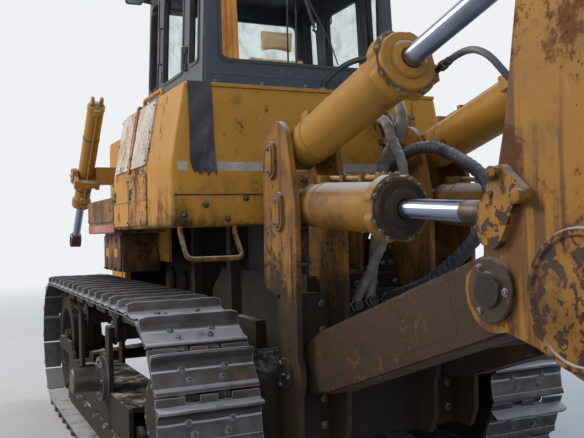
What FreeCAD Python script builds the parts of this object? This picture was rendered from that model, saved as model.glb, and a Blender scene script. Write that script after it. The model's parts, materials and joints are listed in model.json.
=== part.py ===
import FreeCAD, Part
import math
import os

import Sketcher

from FreeCAD import Placement, Rotation, Vector

# A crawler bulldozer without its blade, with a raised ripper behind it.
# Lengths are millimetres, angles degrees. X points forward, Y to the left, Z up.
# Every size is written once, in this table, and X is counted from the sprocket's axle.
SIZES = [
    # name, value, what it is
    ("origin_ahead", 408, "the frame's origin ahead of the sprocket's axle"),
    # undercarriage
    ("gauge_half", 1130, "middle of a track from the machine's middle"),
    ("wheel_base", 3650, "sprocket to idler"),
    ("shoes_on_run", 14, "shoes along one straight run"),
    ("shoes_on_turn", 13, "shoes once round a wheel"),
    ("shoe_width", 610, "across the track"),
    ("shoe_thick", 20, "plate of a shoe"),
    ("shoe_gap", 9, "half the slot between two shoes"),
    ("shoe_lift", 62, "pin to the inside of a shoe"),
    ("grouser_tall", 79, "height of the bar on a shoe"),
    ("grouser_foot", 46, "thickness of the bar at its foot"),
    ("grouser_tip", 22, "thickness of the bar at its tip"),
    ("grouser_back", 62, "bar's middle from its shoe's leading pin"),
    ("rail_drop", 70, "pin to the face that the rollers run on"),
    ("rail_near", 68, "inner side of a chain rail from the track's middle"),
    ("rail_thick", 52, "across one chain rail"),
    ("sprocket_width", 92, "across the sprocket's teeth"),
    ("sprocket_tip", 556, "radius over the teeth"),
    ("sprocket_root", 508, "radius between the teeth"),
    ("hub_radius", 210, "cap over the final drive"),
    ("roller_radius", 122, "tread of a bottom roller"),
    ("roller_flange", 20, "flange over the tread"),
    ("roller_half", 150, "half the length of a roller"),
    ("roller_first", 640, "first bottom roller"),
    ("roller_step", 395, "bottom roller to the next"),
    ("roller_count", 7, "bottom rollers on a side"),
    ("carrier_radius", 92, "tread of a top roller"),
    ("carrier_first", 1240, "first top roller"),
    ("carrier_step", 1230, "top roller to the next"),
    ("shaft_radius", 42, "shafts of the rollers"),
    ("run_gap", 0.3, "between curved faces that touch"),
    ("frame_rear", 540, "rear end of a track frame"),
    ("frame_front", 3150, "front end of a track frame"),
    ("frame_wall_gap", 165, "inner side of a track frame's wall from the middle"),
    ("frame_wall", 32, "wall of a track frame"),
    ("frame_low", 330, "underside of a track frame"),
    ("frame_top", 620, "top of a track frame"),
    ("frame_lid", 40, "top plate of a track frame"),
    ("lid_gap", 30, "sprocket's teeth to the top plate"),
    ("yoke_low", 640, "underside of the idler's arm"),
    ("yoke_high", 762, "top of the idler's arm"),
    ("idler_shaft", 62, "radius of the idler's shaft"),
    ("idler_flange", 28, "centre flange over the idler's tread"),
    ("trunnion_ahead", 1350, "push arm's trunnion"),
    ("trunnion_high", 700, "push arm's trunnion"),
    ("trunnion_radius", 96, "push arm's trunnion"),
    ("trunnion_reach", 1580, "outer end of the trunnion from the machine's middle"),
    ("bar_ahead", 2760, "equalizer bar"),
    ("bar_deep", 220, "equalizer bar, along the machine"),
    ("bar_tall", 120, "equalizer bar at its middle"),
    ("bar_end_tall", 70, "equalizer bar at its ends"),
    ("bar_half", 1180, "half the equalizer bar's length"),
    ("bar_ledge", 20, "equalizer bar's flat middle beyond the frame's rails"),
    # hull
    ("case_rear", -350, "rear face of the main case"),
    ("case_front", 1450, "front end of the main case"),
    ("case_half", 394, "half the main case's width"),
    ("case_low", 480, "underside of the main case"),
    ("case_top", 1520, "top of the main case"),
    ("drive_radius", 335, "final drive case"),
    ("drive_small", 255, "final drive case beside the sprocket"),
    ("drive_step", 760, "where the final drive case narrows"),
    ("rail_half", 460, "outer side of the main frame's rails"),
    ("rail_wall", 64, "main frame's rail"),
    ("rail_low", 740, "underside of the main frame"),
    ("rail_top", 1180, "top of the main frame"),
    ("guard_nose", 50, "guard's front beyond the main frame's end"),
    ("belly_low", 560, "underside of the engine's guard"),
    ("belly_thick", 22, "plate of the engine's guard"),
    ("engine_rear", 1930, "engine"),
    ("engine_front", 3150, "engine"),
    ("engine_half", 330, "half the engine's width"),
    ("engine_low", 900, "underside of the engine"),
    ("engine_top", 2480, "top of the engine"),
    ("core_ahead", 3560, "radiator core"),
    ("core_deep", 160, "radiator core"),
    # nose
    ("hood_rear", 1900, "rear end of the hood"),
    ("hood_half", 640, "half the hood's width"),
    ("hood_top", 2800, "top of the hood"),
    ("hood_low", 1560, "lower edge of the hood's sides"),
    ("hood_wall", 26, "sheet of the hood"),
    ("hood_bevel", 90, "hood's long corner"),
    ("guard_rear", 3300, "rear face of the radiator guard"),
    ("guard_front", 3950, "front face of the radiator guard"),
    ("guard_half", 720, "half the guard's width"),
    ("guard_low", 700, "underside of the guard"),
    ("guard_top", 2820, "top of the guard"),
    ("guard_wall", 60, "wall of the guard"),
    ("grille_step", 92, "grille bar to the next"),
    ("grille_bar", 34, "grille bar"),
    ("grille_inset", 14, "grille bars behind the guard's face"),
    ("grille_low", 1000, "lower edge of the grille's window"),
    ("grille_margin", 110, "guard's frame round the grille"),
    ("stack_ahead", 2560, "exhaust stack"),
    ("stack_aside", -230, "exhaust stack"),
    ("stack_radius", 68, "exhaust pipe"),
    ("stack_top", 3640, "top of the exhaust pipe"),
    ("muffler_radius", 150, "silencer"),
    ("cleaner_ahead", 2920, "air cleaner's bowl"),
    ("cleaner_aside", 260, "air cleaner's bowl"),
    # side boxes and tank
    ("side_half", 1100, "outer side of the boxes"),
    ("lean_half", 1000, "outer side of the boxes at their top"),
    ("tank_rear", 170, "rear face of the tank"),
    ("tank_front", 790, "front face of the tank"),
    ("tank_low", 1850, "underside of the tank"),
    ("tank_bend", 2285, "where the sides begin to lean"),
    ("tank_top", 2822, "top of the tank"),
    ("box_front", 1960, "front end of the tall side boxes"),
    ("box_slope", 80, "how far a tall box's front leans back"),
    ("box_inner", 812, "inner side of the side boxes"),
    ("step_front", 3180, "front end of the low side boxes"),
    ("step_low", 1822, "underside of the low side boxes"),
    ("step_top", 2135, "top of the low side boxes"),
    ("step_inner", 640.3, "inner side of the low side boxes"),
    ("seam", 0.3, "between pieces bolted side by side"),
    ("locker_rear", 2180, "boxes that hang under the low side boxes"),
    ("locker_front", 2960, "boxes that hang under the low side boxes"),
    ("locker_low", 1470, "boxes that hang under the low side boxes"),
    ("locker_half", 985, "outer side of the hanging boxes"),
    # cab
    ("cab_rear", 400, "rear of the cab"),
    ("cab_front", 1900, "front of the cab"),
    ("cab_half", 800, "half the cab's width at its sill"),
    ("cab_sill", 2834, "underside of the cab's frame"),
    ("cab_eave", 3880, "top of the cab's frame"),
    ("cab_lean", 45, "how far each side leans in at the top"),
    ("cab_wall", 46, "thickness of the cab's walls"),
    ("sill_tall", 190, "sill below the rear window"),
    ("post_rear", 90, "corner posts"),
    ("door_rear", 800, "rear edge of a door"),
    ("door_front", 1490, "front edge of a door"),
    ("door_sill", 110, "doorway above the frame's underside"),
    ("door_head", 60, "doorway below the frame's top"),
    ("door_gap", 6, "gap round a door"),
    ("door_frame", 64, "door's frame round its glass"),
    ("hinge_proud", 22, "hinge pin beyond the cab's side"),
    ("hinge_radius", 17, "door hinge's knuckles"),
    ("hinge_pin", 8, "door hinge's pin, radius"),
    ("hinge_long", 60, "one knuckle of a door hinge"),
    ("hinge_play", 1, "between two knuckles"),
    ("ear_long", 40, "ear behind the hinge pin's axis"),
    ("ear_root", 12, "ear let into the cab's side"),
    ("ear_inset", 3, "ear's faces inside its knuckle's"),
    ("head_tall", 110, "header over the windows"),
    ("glass_thick", 8, "window glass"),
    ("roof_thick", 90, "roof"),
    ("roof_over", 70, "roof beyond the frame"),
    ("floor_low", 2060, "underside of the cab's floor"),
    ("floor_thick", 40, "cab's floor"),
    ("cowl_ahead", 1840, "wall before the pedals"),
    ("cowl_thick", 60, "wall before the pedals"),
    ("seat_ahead", 1185, "middle of the seat"),
    ("seat_high", 2570, "top of the seat's cushion"),
    ("seat_half", 270, "half the seat's width"),
    ("seat_thick", 130, "seat's cushion"),
    ("back_top", 3230, "top of the seat's back"),
    ("back_thick", 120, "seat's back"),
    ("head_rest_top", 3420, "top of the headrest"),
    # ripper
    ("plate_far", 620, "outer plates of the ripper's bracket"),
    ("plate_near", 308, "inner plates of the ripper's bracket"),
    ("plate_thick", 35, "plates of the ripper's bracket"),
    ("plate_rear", -700, "rear edge of the bracket's plates"),
    ("plate_fore", -262, "front edge of the bracket's plates above the case"),
    ("plate_low", 520, "underside of the bracket's plates"),
    ("base_thick", 60, "bracket's base plate"),
    ("tilt_pin_x", -410, "upper pin"),
    ("tilt_pin_z", 2280, "upper pin"),
    ("lift_pin_x", -500, "lower pin"),
    ("lift_pin_z", 1965, "lower pin"),
    ("link_pin_x", -540, "link's front pin"),
    ("link_pin_z", 967, "link's front pin"),
    ("beam_pin_x", -2380, "link's rear pin"),
    ("beam_pin_z", 1575, "link's rear pin"),
    ("lift_eye_x", -2430, "lift rod's eye"),
    ("lift_eye_z", 1850, "lift rod's eye"),
    ("tilt_eye_x", -2800, "tilt rod's eye"),
    ("tilt_eye_z", 2900, "tilt rod's eye"),
    ("arm_middle", 464, "middle of the cylinders and the link's arms"),
    ("arm_width", 190, "across a link's arm"),
    ("arm_tall", 330, "height of a link's arm"),
    ("arm_boss", 150, "boss at a link arm's rear end"),
    ("arm_front_boss", 122, "boss at a link arm's front end"),
    ("tie_radius", 95, "tube between the link's arms"),
    ("pin_radius", 52, "ripper's hinge pins"),
    ("pin_fit", 0.05, "radial clearance of the hinge pins"),
    ("cap_thick", 22, "caps on the pins"),
    ("cap_radius", 92, "caps on the pins"),
    ("keeper_half", 62, "half the width of the upper pins' keepers"),
    ("keeper_down", 95, "keeper's lower end below its pin"),
    ("keeper_up", 15, "keeper's upper end above its pin"),
    ("cheek_far", 610, "outer plates of the ripper's beam"),
    ("cheek_near", 318, "inner plates of the ripper's beam"),
    ("cheek_thick", 36, "plates of the ripper's beam"),
    ("cheek_low", 1310, "underside of those plates"),
    ("cheek_rear", -3105, "rear edge of those plates at the cross beam"),
    ("cheek_web", 17, "web along their rear edge, at its top"),
    ("lug_thick", 30, "plate over the lift rod's pin"),
    ("lug_radius", 105, "the beam's plates about the lift rod's pin"),
    ("lug_pin", 27, "short pins beside that plate"),
    ("beam_front", -2745, "front face of the cross beam"),
    ("beam_rear", -3065, "rear face of the cross beam"),
    ("beam_low", 1425, "underside of the cross beam"),
    ("beam_top", 1735, "top of the cross beam"),
    ("beam_half", 705, "half the cross beam's length"),
    ("disc_radius", 224, "round plates on the cross beam's ends"),
    ("disc_thick", 45, "round plates on the cross beam's ends"),
    ("shank_rear", -3560, "rear edge of the shank"),
    ("shank_deep", 330, "shank, along the machine"),
    ("shank_thick", 100, "shank, across the machine"),
    ("shank_top", 2330, "top of the shank"),
    ("shank_toe", 900, "where the shank bends forward"),
    ("point_low", 330, "lowest point of the ripper's tooth"),
    ("point_fore", -2960, "front of the ripper's tooth"),
    ("socket_wall", 55, "walls of the shank's socket"),
    ("socket_low", 1250, "underside of the socket"),
    ("socket_top", 1940, "top of the socket"),
    # cylinders
    ("lift_barrel", 131, "lift cylinder's barrel, radius"),
    ("lift_head", 172, "lift cylinder's head, radius"),
    ("lift_barrel_end", 1060, "lift barrel's open end from its pin"),
    ("lift_rod", 48, "lift cylinder's rod, radius"),
    ("tilt_barrel", 131, "tilt cylinder's barrel, radius"),
    ("tilt_head", 176, "tilt cylinder's head, radius"),
    ("tilt_barrel_end", 1270, "tilt barrel's open end from its pin"),
    ("tilt_rod", 50, "tilt cylinder's rod, radius"),
    ("eye_radius", 96, "cylinders' eyes"),
    ("eye_width", 170, "cylinders' eyes, across"),
    ("barrel_start", 150, "where a barrel begins behind its eye"),
    ("head_long", 90, "length of a cylinder's head"),
    ("rod_fit", 0.06, "radial clearance of a rod in its barrel"),
    ("rod_hidden", 460, "length of a rod inside its barrel"),
    ("port_long", 90, "block at a barrel's port, along it"),
    ("port_half", 50, "block at a barrel's port, half its width"),
    ("port_proud", 40, "block at a barrel's port, out of the barrel"),
    ("pipe_radius", 14, "steel pipe from port to port"),
    ("hose_radius", 17, "hoses between a pair of barrels"),
    ("hose_nut", 25, "nuts on the hoses' ends"),
    ("hose_y", 250, "where the hoses leave the barrels"),
    # blade lift
    ("hoist_x", 3770, "blade cylinder's trunnion"),
    ("hoist_y", 1025, "blade cylinder's trunnion"),
    ("hoist_z", 2450, "blade cylinder's trunnion"),
    ("hoist_lean", 40, "blade cylinder's lean from upright, forward"),
    ("hoist_out", 2.2, "blade cylinder's lean from upright, outward"),
    ("hoist_barrel", 84, "blade cylinder's barrel, radius"),
    ("hoist_above", 905, "barrel above the trunnion"),
    ("hoist_below", 390, "barrel below the trunnion"),
    ("hoist_rod", 41, "blade cylinder's rod, radius"),
    ("hoist_eye_down", 905, "rod's eye below the trunnion"),
    ("hoist_eye", 78, "rod's eye, radius"),
    ("hoist_eye_wide", 110, "rod's eye, across"),
    ("hoist_bore", 38, "bore of the rod's eye, radius"),
    ("yoke_arm", 42, "arms of the cylinder's yoke"),
    ("yoke_clear", 6, "barrel to the yoke"),
    ("yoke_back", 58, "block behind the barrel that joins the yoke's arms"),
    ("stub_radius", 44, "cylinder's trunnion pins"),
    # small pieces
    ("bar_round", 17, "radius of the handrails and steps"),
    ("flap_thick", 14, "rubber flap"),
    ("flap_inner", 800, "rubber flap's inner edge"),
    ("flap_wide", 185, "rubber flap"),
    ("flap_low", 2180, "rubber flap's lower end"),
    ("flap_drop", 10, "flap's upper edge below the tank's top"),
    ("lamp_radius", 78, "work lamps"),
]


class Size:
    """A length that remembers the sheet's formula for it, so that a feature can be bound to it."""

    def __init__(self, value, formula):
        self.value = value
        self.formula = formula

    def __add__(self, other):
        other = as_size(other)
        return Size(self.value + other.value, f"({self.formula} + {other.formula})")

    def __sub__(self, other):
        other = as_size(other)
        return Size(self.value - other.value, f"({self.formula} - {other.formula})")

    def __mul__(self, other):
        other = as_size(other)
        return Size(self.value * other.value, f"({self.formula} * {other.formula})")

    def __truediv__(self, other):
        other = as_size(other)
        return Size(self.value / other.value, f"({self.formula} / {other.formula})")

    def __neg__(self):
        return Size(-self.value, f"(0 - {self.formula})")

    def __radd__(self, other):
        return as_size(other) + self

    def __rsub__(self, other):
        return as_size(other) - self

    def __rmul__(self, other):
        return as_size(other) * self


def as_size(number):
    return number if isinstance(number, Size) else Size(float(number), f"{float(number):.6f}")


doc = FreeCAD.newDocument("bulldozer")
sheet = doc.addObject("Spreadsheet::Sheet", "Sizes")


class Sheet:
    """The named sizes, as attributes."""


size = Sheet()
for line, (name, value, meaning) in enumerate(SIZES, start=1):
    sheet.set(f"A{line}", name)
    sheet.set(f"B{line}", str(value))
    sheet.set(f"C{line}", meaning)
    sheet.setAlias(f"B{line}", name)
    setattr(size, name, Size(float(value), f"Sizes.{name}"))
doc.recompute()

# features: each takes sizes and binds what it makes to them

spots = {}


def bind(feature, **formulas):
    """Set properties now and bind them to the sheet."""
    for prop, amount in formulas.items():
        amount = as_size(amount)
        setattr(feature, prop, amount.value)
        feature.setExpression(prop, amount.formula)


def place(feature, x=0, y=0, z=0, turn=None):
    """Put a feature at a bound point, turned by a Rotation."""
    spot = [as_size(amount) for amount in (x, y, z)]
    spots[feature.Name] = spot
    feature.Placement = Placement(Vector(*(s.value for s in spot)), turn or Rotation())
    for letter, amount in zip("xyz", spot):
        feature.setExpression(f"Placement.Base.{letter}", amount.formula)
    return feature


def box(x0, x1, y0, y1, z0, z1):
    """A block between three pairs of planes."""
    block = doc.addObject("Part::Box", "Block")
    bind(block, Length=as_size(x1) - x0, Width=as_size(y1) - y0, Height=as_size(z1) - z0)
    return place(block, x0, y0, z0)


TURNS = {
    "x": Rotation(Vector(0, 1, 0), 90),
    "y": Rotation(Vector(1, 0, 0), -90),
    "z": Rotation(),
}


def rod(axis, x, y, z, radius, length, turn=None):
    """A round bar that runs from a point along an axis, or along a turned Z."""
    bar = doc.addObject("Part::Cylinder", "Bar")
    bind(bar, Radius=radius, Height=length)
    return place(bar, x, y, z, turn or TURNS[axis])


def plane_of(body, role):
    return next(part for part in body.Origin.OriginFeatures if part.Role == role)


def outline_sketch(body, role, points):
    """A closed polygon whose corners are bound to the sheet."""
    sketch = body.newObject("Sketcher::SketchObject", "Outline")
    sketch.AttachmentSupport = [(plane_of(body, role), "")]
    sketch.MapMode = "FlatFace"
    corners = [(as_size(u), as_size(v)) for u, v in points]
    vectors = [Vector(u.value, v.value, 0) for u, v in corners]
    count = len(vectors)
    sides = [Part.LineSegment(vectors[i], vectors[(i + 1) % count]) for i in range(count)]
    sketch.addGeometry(sides, False)
    rules = [Sketcher.Constraint("Coincident", i, 2, (i + 1) % count, 1) for i in range(count)]
    for i, (u, v) in enumerate(corners):
        rules.append(Sketcher.Constraint("DistanceX", -1, 1, i, 1, u.value))
        rules.append(Sketcher.Constraint("DistanceY", -1, 1, i, 1, v.value))
    sketch.addConstraint(rules)
    for i, (u, v) in enumerate(corners):
        sketch.setExpression(f"Constraints[{count + 2 * i}]", u.formula)
        sketch.setExpression(f"Constraints[{count + 2 * i + 1}]", v.formula)
    return sketch


def prism(role, points, start, end):
    """A polygon in one of the origin planes, carried square to it from start to end."""
    body = doc.addObject("PartDesign::Body", "Shape")
    sketch = outline_sketch(body, role, points)
    pad = body.newObject("PartDesign::Pad", "Pad")
    pad.Profile = sketch
    bind(pad, Length=as_size(end) - start)
    if role == "XZ_Plane":
        return place(body, y=end)
    if role == "YZ_Plane":
        return place(body, x=start)
    return place(body, z=start)


def turned(points, x=0, y=0, z=0, turn=None):
    """A profile of (along, radius) points turned about its own X axis, then placed."""
    body = doc.addObject("PartDesign::Body", "Shape")
    sketch = outline_sketch(body, "XY_Plane", points)
    spin = body.newObject("PartDesign::Revolution", "Turned")
    spin.Profile = sketch
    spin.ReferenceAxis = (sketch, ["H_Axis"])
    spin.Angle = 360
    return place(body, x, y, z, turn)


ALONG_Y = Rotation(Vector(0, 0, 1), 90)


def fuse(*shapes):
    union = doc.addObject("Part::MultiFuse", "Joined")
    union.Shapes = list(shapes)
    return union


def cut(base, *tools):
    result = doc.addObject("Part::Cut", "Trimmed")
    result.Base = base
    result.Tool = tools[0] if len(tools) == 1 else fuse(*tools)
    return result


def group(*shapes):
    """Solids that share a node without touching."""
    bundle = doc.addObject("Part::Compound", "Set")
    bundle.Links = list(shapes)
    return bundle


def mirrored(shape):
    """The same piece on the machine's other side."""
    twin = doc.addObject("Part::Mirroring", "Mirrored")
    twin.Source = shape
    twin.Normal = Vector(0, 1, 0)
    return twin


def shaped(shape):
    """A piece whose outline comes from a formula."""
    piece = doc.addObject("Part::Feature", "Formed")
    piece.Shape = shape
    return piece


nodes = {}


def keep(name, feature):
    feature.Label = name
    nodes[name] = feature


def node(name, feature):
    """Name a finished sub-part and move it from the sprocket's axle to the frame's origin."""
    x, y, z = spots.get(feature.Name, [as_size(0)] * 3)
    place(feature, x - size.origin_ahead, y, z, feature.Placement.Rotation)
    keep(name, feature)


def pair(name, left):
    """A left-hand piece and its mirror image, which follows its place."""
    node(f"{name}_left", left)
    keep(f"{name}_right", mirrored(left))


s = size

frame_nose = s.guard_front - s.guard_nose

# undercarriage: the chain's pitch and the axle's height follow from the wheels and shoes

pitch = s.wheel_base / s.shoes_on_run
pin_circle = pitch * s.shoes_on_turn / (2 * math.pi)
rail_face = pin_circle - s.rail_drop
axle = pin_circle + s.shoe_lift + s.shoe_thick + s.grouser_tall


def chain_frames():
    """For each shoe, its middle, its direction and its outward direction, seen from the left."""
    half_run = s.wheel_base.value
    turn = pin_circle.value * math.pi

    def pin(way):
        way = way % (2 * half_run + 2 * turn)
        if way < half_run:
            return Vector(way, 0, -pin_circle.value)
        way -= half_run
        if way < turn:
            angle = way / pin_circle.value
            return Vector(half_run + pin_circle.value * math.sin(angle), 0,
                          -pin_circle.value * math.cos(angle))
        way -= turn
        if way < half_run:
            return Vector(half_run - way, 0, pin_circle.value)
        angle = (way - half_run) / pin_circle.value
        return Vector(-pin_circle.value * math.sin(angle), 0, pin_circle.value * math.cos(angle))

    frames = []
    for shoe in range(int(2 * s.shoes_on_run.value + s.shoes_on_turn.value)):
        start = pin(shoe * pitch.value)
        end = pin((shoe + 1) * pitch.value)
        along = (end - start).normalize()
        outward = Vector(along.z, 0, -along.x)
        frames.append(((start + end) * 0.5, along, outward))
    return frames


def loop_wire(frames, profile):
    """A closed wire that repeats a profile of (along, outward) points at every shoe."""
    points = [mid + along * u + outward * v for mid, along, outward in frames for u, v in profile]
    points = [Vector(p.x, 0, p.z + axle.value) for p in points]
    return Part.makePolygon(points + points[:1])


def stadium(radius):
    """A wire of two runs and two half circles round both wheels."""
    far = s.wheel_base.value
    mid = axle.value
    top, low = mid + radius, mid - radius
    return Part.Wire([
        Part.LineSegment(Vector(0, 0, low), Vector(far, 0, low)).toShape(),
        Part.Arc(Vector(far, 0, low), Vector(far + radius, 0, mid), Vector(far, 0, top)).toShape(),
        Part.LineSegment(Vector(far, 0, top), Vector(0, 0, top)).toShape(),
        Part.Arc(Vector(0, 0, top), Vector(-radius, 0, mid), Vector(0, 0, low)).toShape(),
    ])


def ring_solid(outer, inner, start, end):
    """The space between two wires, from one Y to another."""
    depth = Vector(0, end - start, 0)
    ring = Part.Face(outer).extrude(depth).cut(Part.Face(inner).extrude(depth))
    ring.translate(Vector(0, start, 0))
    return ring


def track():
    half = pitch.value / 2
    edge = half - s.shoe_gap.value
    base = s.shoe_lift.value
    face = base + s.shoe_thick.value
    tip = face + s.grouser_tall.value
    bar = s.grouser_back.value - half
    foot, crest = s.grouser_foot.value / 2, s.grouser_tip.value / 2
    slot = base + s.shoe_thick.value * 0.45
    shoe_profile = [
        (-edge, slot), (-edge, face), (bar - foot, face), (bar - crest, tip), (bar + crest, tip),
        (bar + foot, face), (edge, face), (edge, slot),
    ]
    frames = chain_frames()
    inner = loop_wire(frames, [(-edge, base), (edge, base)])
    bite = 4
    lapped = loop_wire(frames, [(-edge, base + bite), (edge, base + bite)])
    middle = s.gauge_half.value
    width = s.shoe_width.value
    shoes = ring_solid(loop_wire(frames, shoe_profile), inner, middle - width / 2, middle + width / 2)
    near, thick = s.rail_near.value, s.rail_thick.value
    tread = stadium(rail_face.value)
    for start in (middle + near, middle - near - thick):
        shoes = shoes.fuse(ring_solid(lapped, tread, start, start + thick))
    return shoes.removeSplitter()


pair("track", shaped(track()))


def sprocket():
    """A toothed disc: a tooth every half pitch, its flanks straight."""
    teeth = int(2 * s.shoes_on_turn.value)
    share = 2 * math.pi / teeth
    marks = [(-0.42, s.sprocket_root), (-0.20, s.sprocket_tip), (0.20, s.sprocket_tip),
             (0.42, s.sprocket_root)]
    points = []
    for tooth in range(teeth):
        for part, radius in marks:
            angle = (tooth + part) * share
            points.append(Vector(radius.value * math.sin(angle), 0,
                                 axle.value + radius.value * math.cos(angle)))
    disc = Part.Face(Part.makePolygon(points + points[:1])).extrude(Vector(0, s.sprocket_width.value, 0))
    disc.translate(Vector(0, s.gauge_half.value - s.sprocket_width.value / 2, 0))
    return disc


def roller(x, z, radius):
    """A double-flanged roller on its shaft, seated between the frame's walls."""
    half, flange = s.roller_half, s.roller_flange
    rim = s.rail_near + s.rail_thick + 6
    neck = s.rail_near - 8
    profile = [
        (-s.frame_wall_gap, 0), (s.frame_wall_gap, 0), (s.frame_wall_gap, s.shaft_radius),
        (half, s.shaft_radius), (half, radius), (half - 4, radius + flange), (rim, radius + flange),
        (rim, radius), (neck, radius), (neck, radius - 16), (-neck, radius - 16), (-neck, radius),
        (-rim, radius), (-rim, radius + flange), (4 - half, radius + flange), (-half, radius),
        (-half, s.shaft_radius), (-s.frame_wall_gap, s.shaft_radius),
    ]
    return turned(profile, x, s.gauge_half, z, ALONG_Y)


def idler():
    radius = rail_face - s.run_gap
    half = s.roller_half
    neck = s.rail_near - 8
    web, inner = 40, radius * 0.68
    profile = [
        (-s.frame_wall_gap, 0), (s.frame_wall_gap, 0), (s.frame_wall_gap, s.idler_shaft),
        (half, s.idler_shaft), (half, s.idler_shaft * 2), (web, s.idler_shaft * 2), (web, inner),
        (half - 12, inner + 30), (half - 12, radius), (neck, radius), (neck - 12, radius + s.idler_flange),
        (12 - neck, radius + s.idler_flange), (-neck, radius), (12 - half, radius), (12 - half, inner + 30),
        (-web, inner), (-web, s.idler_shaft * 2), (-half, s.idler_shaft * 2), (-half, s.idler_shaft),
        (-s.frame_wall_gap, s.idler_shaft),
    ]
    return turned(profile, s.wheel_base, s.gauge_half, axle, ALONG_Y)


def running_gear():
    low_z = axle - rail_face + s.roller_radius + s.run_gap
    top_z = axle + rail_face - s.carrier_radius - s.run_gap
    pieces = [idler()]
    for number in range(int(s.roller_count.value)):
        pieces.append(roller(s.roller_first + number * s.roller_step, low_z, s.roller_radius))
    for number in range(2):
        pieces.append(roller(s.carrier_first + number * s.carrier_step, top_z, s.carrier_radius))
    hub_start = s.gauge_half + s.sprocket_width / 2
    hub = rod("y", 0, hub_start, axle, s.hub_radius, 130)
    wheel = fuse(shaped(sprocket()), hub)
    return group(wheel, *pieces)


pair("running_gear", running_gear())


def track_frame():
    middle, gap, wall = s.gauge_half, s.frame_wall_gap, s.frame_wall
    near, far = middle - gap - wall, middle + gap + wall
    nose = s.wheel_base + 90
    side = [
        (s.frame_rear, s.frame_low + 90), (s.frame_rear + 90, s.frame_low), (s.frame_front - 90, s.frame_low),
        (s.frame_front, s.frame_low + 90), (s.frame_front + 20, s.yoke_low), (nose, s.yoke_low),
        (nose, s.yoke_high), (s.frame_front - 140, s.yoke_high), (s.frame_front - 260, s.frame_top),
        (s.frame_rear, s.frame_top),
    ]
    walls = [prism("XZ_Plane", side, near, near + wall), prism("XZ_Plane", side, far - wall, far)]
    lid = box(s.sprocket_tip + s.lid_gap, s.frame_front - 260, near + wall, far - wall,
              s.frame_top - s.frame_lid, s.frame_top)
    top_z = axle + rail_face - s.carrier_radius - s.run_gap
    posts = []
    for number in range(2):
        x = s.carrier_first + number * s.carrier_step
        for start in (near, far - wall):
            posts.append(box(x - 70, x + 70, start, start + wall, s.frame_top - 60, top_z + 70))
    flange = turned(
        [(0, 0), (0, s.trunnion_radius + 75), (45, s.trunnion_radius + 75), (45, s.trunnion_radius),
         (s.trunnion_reach - far, s.trunnion_radius), (s.trunnion_reach - far, 0)],
        s.trunnion_ahead, far, s.trunnion_high, ALONG_Y)
    bracket = box(
        s.trunnion_ahead - 190, s.trunnion_ahead + 190, far - wall, far, s.frame_top - 80,
        s.trunnion_high + 190)
    return fuse(*walls, lid, *posts, bracket, flange)


pair("track_frame", track_frame())


def equalizer_bar():
    seat, end = s.frame_top, s.bar_end_tall
    tall, half = s.bar_tall, s.bar_half
    flat = s.rail_half + s.bar_ledge
    outline = [(-half, seat), (half, seat), (half, seat + end), (flat, seat + tall), (-flat, seat + tall),
               (-half, seat + end)]
    return prism("YZ_Plane", outline, s.bar_ahead - s.bar_deep / 2, s.bar_ahead + s.bar_deep / 2)


node("equalizer_bar", equalizer_bar())

# hull


def main_case():
    """The gear case between the tracks, with a final drive on each side."""
    outline = [
        (s.case_rear, s.case_low + 40), (s.case_rear + 120, s.case_low), (s.case_front, s.case_low),
        (s.case_front, s.case_top - 180), (s.case_front - 250, s.case_top), (s.case_rear, s.case_top),
    ]
    core = prism("XZ_Plane", outline, -s.case_half, s.case_half)
    inside = s.gauge_half - s.sprocket_width / 2
    profile = [
        (0, 0), (0, s.drive_radius), (s.drive_step, s.drive_radius), (s.drive_step + 90, s.drive_small),
        (inside, s.drive_small), (inside, 0),
    ]
    left = turned(profile, 0, 0, axle, ALONG_Y)
    right = turned(profile, 0, 0, axle, Rotation(Vector(0, 0, 1), -90))
    saddles = [box(s.tank_rear + 80, s.tank_front - 80, y, as_size(y) + 60, s.case_top, s.tank_low)
               for y in (-360, 300)]
    return fuse(core, left, right, *saddles)


node("main_case", main_case())


def main_frame():
    """Two deep rails, the guard under the engine and a pivot stub to each track frame."""
    rail_start = s.case_front + 5
    pieces = []
    for near in (s.rail_half - s.rail_wall, -s.rail_half):
        pieces.append(box(s.drive_radius + 20, frame_nose, near, near + s.rail_wall, s.rail_low, s.rail_top))
    guard = prism("XZ_Plane", [
        (rail_start, s.belly_low), (s.guard_rear, s.belly_low), (frame_nose, s.rail_low),
        (frame_nose, s.rail_low + s.belly_thick), (s.guard_rear, s.belly_low + s.belly_thick),
        (rail_start, s.belly_low + s.belly_thick)], -s.rail_half, s.rail_half)
    slot = box(s.bar_ahead - s.bar_deep / 2 - 30, s.bar_ahead + s.bar_deep / 2 + 30,
               -s.rail_half - 1, s.rail_half + 1, s.belly_low - 1, s.rail_low + 1)
    for x in (s.engine_rear + 150, s.engine_front - 250):
        pieces.append(box(x, x + 110, s.rail_wall - s.rail_half, s.rail_half - s.rail_wall,
                          s.engine_low - 90, s.engine_low))
    skirts = []
    for near in (s.rail_half - 20, -s.rail_half):
        skirts.append(box(rail_start, s.guard_rear, near, near + 20, s.belly_low, s.rail_low))
    return fuse(*pieces, cut(fuse(guard, *skirts), slot))


node("main_frame", main_frame())

node("engine_block", group(
    box(s.engine_rear, s.engine_front, -s.engine_half, s.engine_half, s.engine_low, s.engine_top),
    box(s.core_ahead, s.core_ahead + s.core_deep, s.guard_wall - s.guard_half, s.guard_half - s.guard_wall,
        s.rail_top, s.guard_top - s.guard_wall)))


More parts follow.
